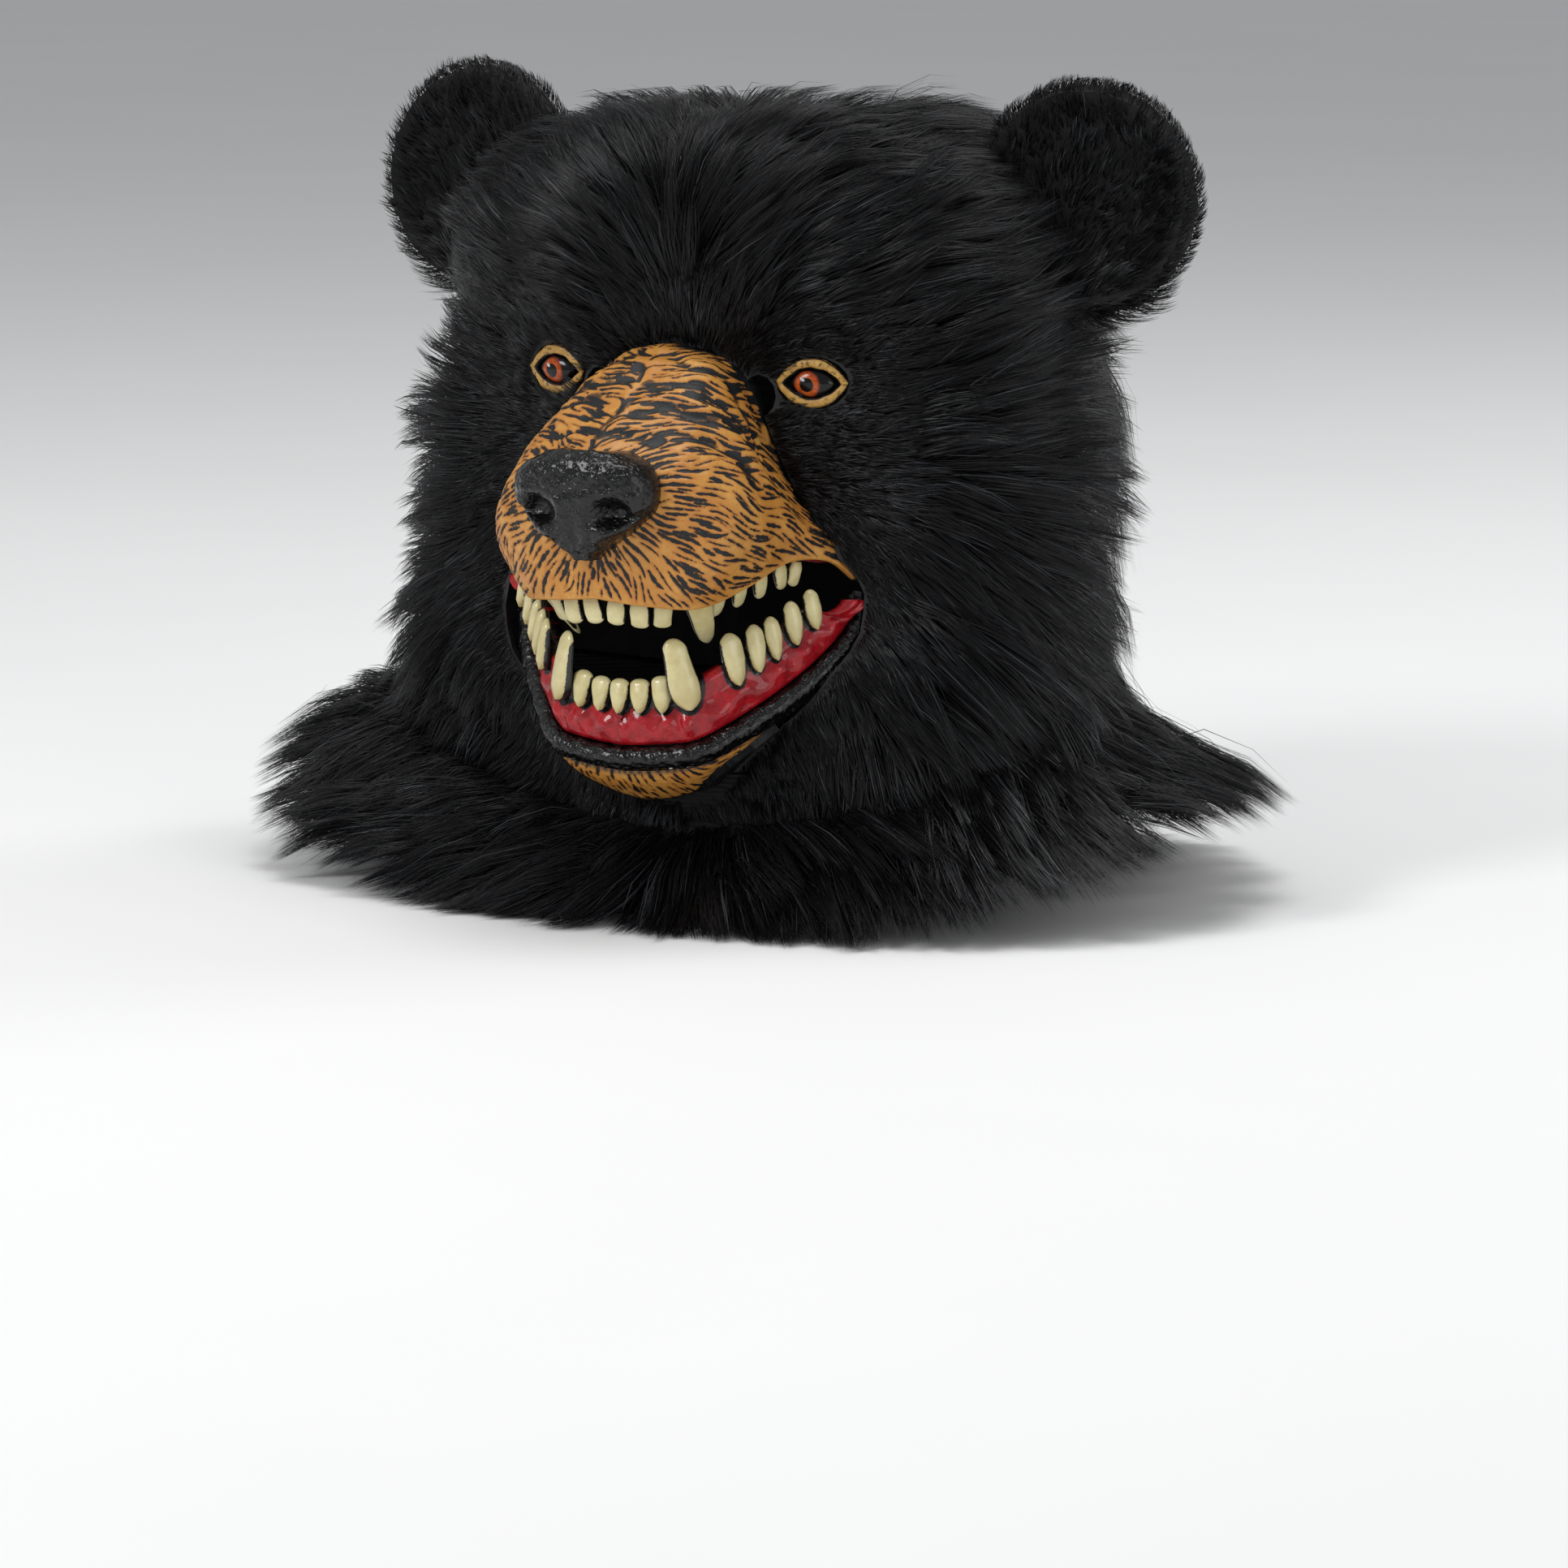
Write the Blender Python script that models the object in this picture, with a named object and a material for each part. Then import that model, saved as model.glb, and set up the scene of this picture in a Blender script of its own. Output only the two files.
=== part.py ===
"""A bear mask that covers the whole head: a latex hood with a long snout, painted eyes, open jaws full
of teeth, round ears, and a cover of black plush that runs down into a ruff over the shoulders.

The origin is the seat, inside the crown, where the wearer's head carries the mask. The face looks
along -Y, +X is the mask's own left, and +Z is up. Forms are worked out in face coordinates, which are
(across, ahead, up) from the point midway between the eyes, and placed() turns them into world ones.
"""

import math

import bmesh
import bpy
import numpy as np
from mathutils import Vector

# Walls and clearances, in metres
GAP = 0.0003
SEAT_GAP = 0.0008
FACE_CLEARANCE = 0.0005
LATEX = 0.0025
CLOTH = 0.0015

# The hood, without its fur
HEAD_WIDTH = 0.244
HEAD_FRONT = 0.076
HEAD_BACK = 0.131
HEAD_HEIGHT = 0.204
FACE_SQUARENESS = 2.3
NAPE_SQUARENESS = 2.0
CROWN_SHARE = 0.4314
CROWN_ABOVE_EYES = HEAD_HEIGHT * CROWN_SHARE
WIDEST_BEHIND_EYES = 0.060

# The ruff, without its fur
SKIRT_WIDTH = 0.344
SKIRT_FRONT = 0.106
SKIRT_BACK = 0.146
SKIRT_DROP_FRONT = 0.030
SKIRT_DROP_SIDE = 0.034
SKIRT_DROP_BACK = 0.050

# The fur
PILE_LONG = 0.024
PILE_CROWN = 0.016
PILE_FACE = 0.004
SHORT_FUR_RING = 0.045
LOCK_LEAN = 1.3
LOCK_ROOT = 0.6
SEAM_PILE = 0.5
HOOD_SEAM_LEAN = 0.15
SKIRT_SEAM_LEAN = 0.5

# The snout, from the upper lip to the bridge. Its height is a share of the hood's.
MUZZLE_WIDTH = 0.143
MUZZLE_REACH = 0.072
MUZZLE_SHARE = 0.4314
MUZZLE_HEIGHT = HEAD_HEIGHT * MUZZLE_SHARE
BRIDGE_ABOVE_EYES = 0.012
COLLAR = 0.006
SNOUT_MIDDLE = 0.6

# The nose
NOSE_WIDTH = 0.057
NOSE_HEIGHT = 0.0415
NOSE_AHEAD = 0.0745
NOSE_BULGE = 0.014
NOSE_TOP_SHARE = 0.2386
NOSE_TOP_BELOW_EYES = MUZZLE_HEIGHT * NOSE_TOP_SHARE
NOSE_ROUNDING = 0.77
NOSTRIL = 0.0052
NOSTRIL_SPACING = 0.030
NOSTRIL_BELOW_TOP = 0.5
NOSTRIL_RADII = (1.2, 1.3, 0.8)

# The open jaw, whose opening and chin are shares of the hood's height
JAW_SHARE = 0.2941
JAW_OPEN = HEAD_HEIGHT * JAW_SHARE
LIP_RADIUS = 0.0043
CHIN_SHARE = 0.0686
CHIN_DROP = HEAD_HEIGHT * CHIN_SHARE
CHIN_SET_BACK = 0.019
GUM_THICKNESS = 0.0070
LOWER_GUM_HEIGHT = 0.0205
TOOTH_THICKNESS = 0.0046

# The eyes and the gaps that the wearer sees through
EYE_SPACING = 0.108
EYE_WIDTH = 0.026
EYE_HEIGHT = 0.019
EYELID_RADIUS = 0.0019
EYE_BULGE = 0.0036
SIGHT_SPACING = 0.0675
SIGHT_BELOW_EYES = 0.0055
SIGHT_WIDTH = 0.0125
SIGHT_HEIGHT = 0.0150

# The ears
EAR_RADIUS = 0.0435
EAR_THICKNESS = 0.015
EAR_CUP = 0.009
EAR_SPACING = 0.260
EAR_BEHIND_EYES = 0.0735
EAR_HEIGHT_SHARE = 0.3186
EAR_ABOVE_EYES = HEAD_HEIGHT * EAR_HEIGHT_SHARE
EAR_FACING = (0.12, 0.99, 0.06)

# How finely the forms are cut, and where on the ruff its first ring lies, just clear of the hood
AROUND = 36
SKIRT_BANDS = 3
SKIRT_START = 0.03
EDGE_SAMPLES = 400
EYE_SIDES = 16
EYELID_SIDES = 6
SIGHT_SIDES = 12
EAR_SIDES = 18
NOSE_SIDES = 14
TOOTH_SIDES = 6

# The fur's lie. It runs away from a place inside the snout, given as shares of MUZZLE_REACH and
# MUZZLE_HEIGHT, and turns downhill behind the ears and on the neck. Its depth changes over these shares
# of the crown's height, and near the seam over this many rings.
FLOW_AHEAD = 0.6
FLOW_BELOW = 0.3
NAPE_FROM = 0.6
NECK_FROM = 0.45
NECK_OVER = 0.3
NECK_DOWNHILL = 0.8
CROWN_FROM = 0.3
CROWN_OVER = 0.5
EYE_CLEAR = 0.6
FACE_DEPTH = 0.5
SEAM_RINGS = 2.2
SEAM_SHARE = 0.6

# The hood's rings, from the crown down to the neck seam. Half widths are shares of half the head's
# width. Front, back and the widest line are shares of HEAD_FRONT, HEAD_BACK and HEAD_FRONT, all
# measured from WIDEST_BEHIND_EYES. Drops are shares of HEAD_HEIGHT.
HALF, FRONT, BACK, WIDEST, DROP_FRONT, DROP_SIDE, DROP_BACK = range(7)
HEAD_RINGS = (
    (0.000, -0.330, 0.190, -0.330, 0.000, 0.000, 0.000),
    (0.430, 0.290, 0.550, -0.330, 0.007, 0.004, 0.015),
    (0.660, 0.684, 0.763, -0.240, 0.059, 0.034, 0.078),
    (0.800, 0.842, 0.870, -0.105, 0.160, 0.127, 0.186),
    (0.870, 0.908, 0.924, 0.000, 0.290, 0.265, 0.314),
    (0.910, 0.895, 0.947, 0.060, 0.425, 0.405, 0.441),
    (0.945, 0.895, 0.962, 0.120, 0.555, 0.535, 0.565),
    (0.975, 0.895, 0.947, 0.170, 0.690, 0.660, 0.690),
    (0.990, 0.880, 0.916, 0.190, 0.825, 0.780, 0.810),
    (1.000, 0.980, 0.885, 0.190, 0.970, 0.875, 0.915),
    (1.025, 0.970, 0.855, 0.150, 1.110, 0.945, 1.015),
    (1.070, 0.910, 0.850, 0.100, 1.245, 1.000, 1.115),
)
SEAM_RING = len(HEAD_RINGS) - 1

# How the forms round off, as powers: the neck's dip from its sides to its front, and the ruff's flare
# and fall from the seam to the hem
DIP_ROUNDING = 1.5
SKIRT_FLARE = 1.15
SKIRT_FALL = 0.90

# Swellings of the hood's face: across and below the eyes and spread as shares of half the head's
# width, and height as a share of the head's front. They fade out towards the temples.
FACE_SWELLINGS = (
    (0.38, -0.20, 0.16, 0.045),
    (0.42, 0.00, 0.11, -0.030),
    (0.74, 0.48, 0.24, 0.045),
    (0.53, 0.92, 0.20, 0.090),
)
FACE_EDGE = 0.5

# The upper lip's edge, from the middle back to the mouth's corner: shares of half MUZZLE_WIDTH,
# MUZZLE_REACH and MUZZLE_HEIGHT, the last measured down from the bridge.
ACROSS, AHEAD, DOWN = range(3)
LIP_EDGE = (
    (0.00, 0.972, 1.000),
    (0.28, 0.937, 1.023),
    (0.51, 0.780, 1.036),
    (0.65, 0.528, 0.966),
    (0.77, 0.292, 0.875),
    (0.89, 0.080, 0.880),
    (0.98, -0.030, 0.960),
)

# The ridge of the bridge, from the nose back to the brow, in the same shares.
BRIDGE_RIDGE = (
    (0.0, 1.09, 0.470),
    (0.0, 1.04, 0.390),
    (0.0, 0.91, 0.320),
    (0.0, 0.66, 0.190),
    (0.0, 0.45, 0.060),
    (0.0, 0.27, 0.000),
    (0.0, 0.11, 0.000),
)

# How the snout's side goes from the lip's edge up to the ridge, at its front and at its base.
# BASE_FROM and BASE_OVER are where along the lip the base's form starts, and over how much it comes in.
FRONT_ACROSS, FRONT_UP, BASE_ACROSS, BASE_UP = range(4)
ARCH = (
    (1.00, 0.000, 1.00, 0.00),
    (1.18, 0.140, 0.93, 0.14),
    (1.30, 0.330, 0.78, 0.27),
    (1.27, 0.530, 0.64, 0.44),
    (1.07, 0.720, 0.53, 0.66),
    (0.74, 0.870, 0.42, 0.86),
    (0.36, 0.960, 0.25, 0.97),
    (0.00, 1.000, 0.00, 1.00),
)
BASE_FROM = 0.25
BASE_OVER = 0.70

# The lower lip's line, from the middle back to the corner: shares of half MUZZLE_WIDTH, MUZZLE_REACH
# and JAW_OPEN, the last measured down from the corner.
JAW_LINE = (
    (0.000, 0.694, 1.000),
    (0.253, 0.660, 0.976),
    (0.450, 0.583, 0.920),
    (0.707, 0.310, 0.681),
    (0.880, 0.115, 0.458),
    (0.985, -0.030, 0.234),
    (0.985, -0.080, 0.000),
)

# The chin, from under the lip down: how far along the lip it runs to each side, how far down each of
# its rows lies, and how its fall shrinks towards its ends
CHIN_END = 0.48
CHIN_STEPS = 13
CHIN_ROWS = (0.0, 0.35, 0.7, 1.0)
CHIN_TAPER = 0.88
CHIN_ROUNDING = 1.8

# The teeth: place across as a share of half MUZZLE_WIDTH, then length and width in metres.
UPPER_TEETH = (
    (0.073, 0.0104, 0.0080),
    (0.228, 0.0104, 0.0080),
    (0.362, 0.0106, 0.0076),
    (0.528, 0.0262, 0.0108),
    (0.607, 0.0150, 0.0070),
    (0.665, 0.0140, 0.0066),
    (0.717, 0.0125, 0.0062),
    (0.767, 0.0110, 0.0060),
    (0.818, 0.0095, 0.0056),
)
LOWER_TEETH = (
    (0.000, 0.0128, 0.0081),
    (0.131, 0.0128, 0.0084),
    (0.263, 0.0138, 0.0088),
    (0.440, 0.0275, 0.0130),
    (0.632, 0.0200, 0.0094),
    (0.710, 0.0180, 0.0078),
    (0.782, 0.0165, 0.0070),
    (0.856, 0.0165, 0.0074),
    (0.925, 0.0150, 0.0070),
)

# The lower teeth stand between square to the gum, at 1, and upright, at 0. Their roots start at this
# share of the gum's height. The gum gets lower by its taper towards the mouth's corners, and past its
# end place it runs out to the end share.
TOOTH_LEAN = 0.25
ROOT_SHARE = 0.60
GUM_TAPER = 0.25
GUM_END = 0.70
GUM_END_SHARE = 0.15

# The upper gum's rows, as shares of the snout grid's first row, and how far in the upper teeth stand, as
# a share of the gum's thickness
UPPER_GUM_ROWS = (0.0, 0.4, 0.8)
UPPER_GUM_LIFTS = (-LATEX - SEAT_GAP, -LATEX - GAP - GUM_THICKNESS)
UPPER_TOOTH_INSET = 0.55

# An ear's rings from its cupped front round its rim to its back: shares of its radius, of half its
# thickness and of its cup. Its hollow and its back bulge by these shares of the cup.
EAR_RINGS = (
    (0.45, 1.0, 1.00),
    (0.80, 1.0, 0.35),
    (0.94, 1.0, 0.00),
    (1.00, 0.0, 0.00),
    (0.90, -1.0, 0.00),
    (0.50, -1.0, 0.50),
)
EAR_HOLLOW = 1.1
EAR_BACK_BULGE = 0.7

# An eyeball's rings from its front to its back: shares of its width and of its bulge
EYEBALL_RINGS = (
    (0.35, 0.94),
    (0.70, 0.71),
    (0.93, 0.37),
    (1.00, 0.00),
    (0.93, -0.37),
    (0.70, -0.71),
)

# A tooth's outline from root to tip: shares of its length, width and thickness.
TOOTH_RINGS = (
    (0.00, 0.66, 0.66),
    (0.30, 1.00, 1.00),
    (0.62, 0.88, 0.84),
    (0.90, 0.54, 0.55),
)
TOOTH_TIP_AHEAD = 0.15

# The nose pad from its top down: shares of NOSE_HEIGHT, half NOSE_WIDTH and NOSE_BULGE.
NOSE_RINGS = (
    (0.00, 0.66, 0.52),
    (0.08, 0.90, 0.84),
    (0.30, 1.00, 1.00),
    (0.52, 0.95, 0.98),
    (0.72, 0.66, 0.84),
    (0.90, 0.32, 0.62),
    (1.00, 0.16, 0.42),
)

# Where the snout's grid has its columns, from the middle to the corner, and its rows, from the lip up
MUZZLE_TURNS = np.array((0.0, 0.08, 0.17, 0.28, 0.40, 0.54, 0.69, 0.84, 1.0))
MUZZLE_RISES = np.linspace(0.0, 1.0, 9)

# The lower lip's rings and sides
LIP_RINGS = 23
LIP_SIDES = 8

# The locks' lengths vary by this much, in this many rows before they repeat, always the same way
LOCK_SHORTEST = 0.82
LOCK_LONGEST = 1.16
LOCK_ROWS = 7
SEED = 7

SIDES = ((-1, "right"), (1, "left"))


def placed(points):
    """World coordinates of points given as (across, ahead, up) from midway between the eyes."""
    points = np.asarray(points, float)
    seat_up = CROWN_ABOVE_EYES - LATEX
    return np.stack(
        (
            points[..., 0],
            -(points[..., 1] + WIDEST_BEHIND_EYES),
            points[..., 2] - seat_up,
        ),
        axis=-1,
    )


def smoothstep(value):
    value = np.clip(value, 0.0, 1.0)
    return value * value * (3.0 - 2.0 * value)


def between_rows(table, place):
    """The table's row at a place that may lie between two rows, on a smooth curve through them."""
    table = np.asarray(table, float)
    place = np.clip(np.asarray(place, float), 0.0, len(table) - 1.0)
    low = np.minimum(place.astype(int), len(table) - 2)
    part = (place - low)[..., None]
    before = table[np.maximum(low - 1, 0)]
    first = table[low]
    second = table[low + 1]
    after = table[np.minimum(low + 2, len(table) - 1)]
    start_slope = (second - before) / 2
    end_slope = (after - first) / 2
    cubic = 2 * first - 2 * second + start_slope + end_slope
    square = 3 * (second - first) - 2 * start_slope - end_slope
    return first + part * (start_slope + part * (square + part * cubic))


def squared_wave(value, fore):
    """A sine or cosine pulled towards a rounded square, more on the face than on the nape."""
    power = np.where(fore > 0, FACE_SQUARENESS, NAPE_SQUARENESS)
    return np.sign(value) * np.abs(value) ** (2 / power)


def head_form(angle, ring):
    """The hood's smooth outside at an angle from the front towards +X and a place among the rings."""
    row = between_rows(HEAD_RINGS, ring)
    side = np.sin(angle)
    fore = np.cos(angle)
    half = HEAD_WIDTH / 2
    across = row[..., HALF] * half * squared_wave(side, fore)
    widest = row[..., WIDEST] * HEAD_FRONT
    to_front = row[..., FRONT] * HEAD_FRONT - widest
    to_back = row[..., BACK] * HEAD_BACK + widest
    reach = np.where(fore > 0, to_front, to_back)
    ahead = widest + reach * squared_wave(fore, fore) - WIDEST_BEHIND_EYES
    end_drop = np.where(fore > 0, row[..., DROP_FRONT], row[..., DROP_BACK])
    drop = row[..., DROP_SIDE] + (end_drop - row[..., DROP_SIDE]) * np.abs(fore) ** DIP_ROUNDING
    up = CROWN_ABOVE_EYES - drop * HEAD_HEIGHT
    swelling = np.zeros_like(across)
    for place, below, spread, height in FACE_SWELLINGS:
        off = ((np.abs(across) - place * half) ** 2 + (up + below * half) ** 2) / (spread * half) ** 2
        swelling = swelling + height * HEAD_FRONT * np.exp(-off)
    ahead = ahead + swelling * smoothstep(fore / FACE_EDGE)
    return np.stack((across, ahead, up), axis=-1)


def crown_pole(lift):
    """The top point of the hood, moved up by a lift."""
    return head_form(np.zeros(1), np.zeros(1))[0] + (0.0, 0.0, lift)


def skirt_form(angle, share):
    """The ruff's smooth outside from the neck seam, where share is 0, to the hem, where it is 1."""
    seam = head_form(angle, np.full_like(angle, SEAM_RING))
    side = np.sin(angle)
    fore = np.cos(angle)
    across = SKIRT_WIDTH / 2 * squared_wave(side, fore)
    reach = np.where(fore > 0, SKIRT_FRONT, SKIRT_BACK)
    ahead = reach * squared_wave(fore, fore) - WIDEST_BEHIND_EYES
    end_drop = np.where(fore > 0, SKIRT_DROP_FRONT, SKIRT_DROP_BACK)
    fall = SKIRT_DROP_SIDE + (end_drop - SKIRT_DROP_SIDE) * np.abs(fore) ** DIP_ROUNDING
    hem = np.stack((across, ahead, seam[..., 2] - fall), axis=-1)
    outward = np.asarray(share, float) ** SKIRT_FLARE
    downward = np.asarray(share, float) ** SKIRT_FALL
    blend = np.stack((outward, outward, downward), axis=-1)
    return seam + (hem - seam) * blend


def surface_normal(form, angle, place, low, high):
    """The unit outward normal of a form, from nearby points."""
    step = 1e-3
    upper = form(angle, np.maximum(place - step, low))
    lower = form(angle, np.minimum(place + step, high))
    round_left = form(angle - step, place)
    round_right = form(angle + step, place)
    normal = np.cross(upper - lower, round_right - round_left)
    return normal / np.maximum(np.linalg.norm(normal, axis=-1, keepdims=True), 1e-12)


def head_front_at(across, up):
    """How far ahead the hood's outside lies at a place on its face, and the normal there."""
    across = np.atleast_1d(np.asarray(across, float))
    up = np.atleast_1d(np.asarray(up, float))
    angles, rings = np.meshgrid(
        np.linspace(0.0, math.pi / 2, 91), np.linspace(0.3, SEAM_RING, 160), indexing="ij"
    )
    samples = head_form(angles, rings)
    angle = np.empty(len(across))
    ring = np.empty(len(across))
    for index, (x, z) in enumerate(zip(np.abs(across), up)):
        off = (samples[..., 0] - x) ** 2 + (samples[..., 2] - z) ** 2
        nearest = np.unravel_index(np.argmin(off), off.shape)
        angle[index] = angles[nearest]
        ring[index] = rings[nearest]
    step = 1e-4
    for _ in range(4):
        here = head_form(angle, ring)
        by_angle = (head_form(angle + step, ring) - here) / step
        by_ring = (head_form(angle, ring + step) - here) / step
        miss_across = np.abs(across) - here[:, 0]
        miss_up = up - here[:, 2]
        size = by_angle[:, 0] * by_ring[:, 2] - by_ring[:, 0] * by_angle[:, 2]
        angle = angle + (miss_across * by_ring[:, 2] - by_ring[:, 0] * miss_up) / size
        ring = ring + (by_angle[:, 0] * miss_up - miss_across * by_angle[:, 2]) / size
    found = head_form(angle, ring)
    normal = surface_normal(head_form, angle, ring, 0.0, SEAM_RING)
    normal[:, 0] *= np.where(across < 0, -1, 1)
    return found[:, 1], normal


def material(name, colour, roughness, coat=0.0):
    made = bpy.data.materials.new(name)
    made.use_nodes = True
    shader = made.node_tree.nodes["Principled BSDF"]
    shader.inputs["Base Color"].default_value = (*colour, 1.0)
    shader.inputs["Roughness"].default_value = roughness
    shader.inputs["Metallic"].default_value = 0.0
    shader.inputs["Coat Weight"].default_value = coat
    made.diffuse_color = (*colour, 1.0)
    return made


def add_mesh(name, points, faces, finish, smooth=True):
    """An object of the given points, in face coordinates, and faces."""
    mesh = bpy.data.meshes.new(name)
    mesh.from_pydata(placed(points).tolist(), [], [tuple(int(i) for i in face) for face in faces])
    shape = bmesh.new()
    shape.from_mesh(mesh)
    face_outwards(shape)
    shape.to_mesh(mesh)
    shape.free()
    if smooth:
        mesh.shade_smooth()
        mesh.set_sharp_from_angle(angle=math.radians(50))
    if finish:
        mesh.materials.append(finish)
    made = bpy.data.objects.new(name, mesh)
    bpy.context.scene.collection.objects.link(made)
    return made


def face_outwards(shape):
    """Turns all faces the same way round, away from the middle of the mesh."""
    bmesh.ops.recalc_face_normals(shape, faces=shape.faces)
    middle = sum((vert.co for vert in shape.verts), Vector()) / len(shape.verts)
    outward = sum(
        face.normal.dot(face.calc_center_median() - middle) * face.calc_area() for face in shape.faces
    )
    if outward < 0:
        bmesh.ops.reverse_faces(shape, faces=shape.faces)


def as_cutter(cutter):
    cutter.hide_render = True
    cutter.display_type = "WIRE"
    return cutter


def cut(target, cutter):
    step = target.modifiers.new("cut by " + cutter.name, "BOOLEAN")
    step.operation = "DIFFERENCE"
    step.object = cutter


def thicken(target, wall):
    """Gives a surface a wall that grows inwards."""
    step = target.modifiers.new("wall", "SOLIDIFY")
    step.thickness = wall
    step.offset = -1.0
    step.use_even_offset = True


def grid_faces(rows, columns, closed, start=0):
    """Triangles of a grid of points, stored row after row. Closed joins the last column to the first."""
    faces = []
    for row in range(rows - 1):
        for column in range(columns if closed else columns - 1):
            beside = (column + 1) % columns
            a = start + row * columns + column
            b = start + row * columns + beside
            c = start + (row + 1) * columns + beside
            d = start + (row + 1) * columns + column
            faces.append((a, b, c))
            faces.append((a, c, d))
    return faces


def shell_sheet(points, closed):
    """The points and triangles of one open sheet, from a grid of shape (rows, columns, 3)."""
    rows, columns = points.shape[:2]
    return points.reshape(-1, 3), grid_faces(rows, columns, closed)


def prism(name, outline, near, far):
    """A cutter: an outline in (across, up), run from near to far along the ahead direction."""
    outline = np.asarray(outline, float)
    count = len(outline)
    back = np.column_stack((outline[:, 0], np.full(count, near), outline[:, 1]))
    front = np.column_stack((outline[:, 0], np.full(count, far), outline[:, 1]))
    faces = [tuple(range(count)), tuple(range(2 * count - 1, count - 1, -1))]
    for index in range(count):
        beside = (index + 1) % count
        faces.append((index, beside, count + beside, count + index))
    return as_cutter(add_mesh(name, np.vstack((back, front)), faces, None, smooth=False))


def outset(outline, distance):
    """An outline that goes clockwise seen from the front, moved outwards by a distance."""
    outline = np.asarray(outline, float)
    along = np.roll(outline, -1, axis=0) - np.roll(outline, 1, axis=0)
    along = along / np.linalg.norm(along, axis=1, keepdims=True)
    outward = np.column_stack((-along[:, 1], along[:, 0]))
    return outline + outward * distance


def mirrored(half):
    """A whole clockwise outline from its +X half, which goes from the middle's top to its bottom."""
    half = np.asarray(half, float)
    other = half[::-1][1:-1] * np.array((-1.0, 1.0))
    return np.vstack((half, other))


def head_angles():
    return np.arange(AROUND) * 2 * math.pi / AROUND


def head_grid(lift):
    """The hood's points, moved out by a lift: the crown's pole, then a row for each ring."""
    angle, ring = np.meshgrid(head_angles(), np.arange(1, SEAM_RING + 1, dtype=float))
    points = head_form(angle, ring) + lift * surface_normal(head_form, angle, ring, 0.0, SEAM_RING)
    return crown_pole(lift), points


def crowned_sheet(lift):
    """The hood's sheet with its crown closed, open at the neck seam."""
    pole, points = head_grid(lift)
    rows, columns = points.shape[:2]
    flat = np.vstack((pole, points.reshape(-1, 3)))
    faces = [(0, 1 + (column + 1) % columns, 1 + column) for column in range(columns)]
    faces += grid_faces(rows, columns, True, start=1)
    return flat, faces


def fur_flow(points, normals, downhill):
    """The way the hair lies: away from the snout, and downhill behind the ears and at the neck."""
    snout = np.array((0.0, MUZZLE_REACH * FLOW_AHEAD, -MUZZLE_HEIGHT * FLOW_BELOW))
    away = points - snout
    away = away / np.linalg.norm(away, axis=-1, keepdims=True)
    flow = away * (1 - downhill[..., None]) + np.array((0.0, 0.0, -1.0)) * downhill[..., None]
    flow = flow - normals * np.sum(flow * normals, axis=-1, keepdims=True)
    return flow / np.maximum(np.linalg.norm(flow, axis=-1, keepdims=True), 1e-6)


def hood_pile(points):
    """The fur's depth on the hood: a velvet round the snout and eyes, deep on the sides and neck."""
    across = np.abs(points[..., 0])
    up = points[..., 2]
    jaw_low = corner_up() - JAW_OPEN - CHIN_DROP
    snout_middle = (BRIDGE_ABOVE_EYES + jaw_low) / 2
    snout_half = (BRIDGE_ABOVE_EYES - jaw_low) / 2
    snout = np.hypot(across / (MUZZLE_WIDTH / 2), (up - snout_middle) / snout_half) - 1
    eye = np.hypot(across - EYE_SPACING / 2, up) - EYE_WIDTH * EYE_CLEAR
    distance = np.minimum(snout * MUZZLE_WIDTH / 2, eye)
    distance = distance + np.maximum(-points[..., 1] - FACE_DEPTH * HEAD_FRONT, 0.0)
    crown = smoothstep((up / CROWN_ABOVE_EYES - CROWN_FROM) / CROWN_OVER)
    long = PILE_LONG + (PILE_CROWN - PILE_LONG) * crown
    return PILE_FACE + (long - PILE_FACE) * smoothstep(distance / SHORT_FUR_RING)


def locks(inner, normals, flow, depth, lean):
    """Fur on a grid: each cell of the outer side is drawn out into a lock that leans along the flow.

    It gives the points and triangles of the outer side, then those of the inner side.
    """
    rows, columns = inner.shape[:2]
    skew = normals + flow * lean[..., None]
    outer = inner + skew * (depth * LOCK_ROOT)[..., None]
    points = [outer.reshape(-1, 3)]
    faces = []
    tips = []
    count = rows * columns
    for row in range(rows - 1):
        for column in range(columns):
            beside = (column + 1) % columns
            cell = ((row, column), (row, beside), (row + 1, beside), (row + 1, column))
            middle = np.mean([inner[place] for place in cell], axis=0)
            out = np.mean([skew[place] for place in cell], axis=0)
            deep = np.mean([depth[place] for place in cell])
            tips.append(middle + out * deep * LOCK_VARIATION[row % LOCK_ROWS, column])
            corners = [place[0] * columns + place[1] for place in cell]
            tip = count + len(tips) - 1
            for start, end in zip(corners, corners[1:] + corners[:1]):
                faces.append((start, end, tip))
    points.append(np.array(tips))
    inside = count + len(tips)
    points.append(inner.reshape(-1, 3))
    for a, b, c in grid_faces(rows, columns, True, start=inside):
        faces.append((a, c, b))
    return np.vstack(points), faces, inside


def rim_faces(outer_start, inner_start, columns, flip):
    """Joins a ring of the outer side to the same ring of the inner side."""
    faces = []
    for column in range(columns):
        beside = (column + 1) % columns
        ring = (outer_start + column, outer_start + beside, inner_start + beside, inner_start + column)
        first = (ring[0], ring[1], ring[2])
        second = (ring[0], ring[2], ring[3])
        faces.append(first[::-1] if flip else first)
        faces.append(second[::-1] if flip else second)
    return faces


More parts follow.
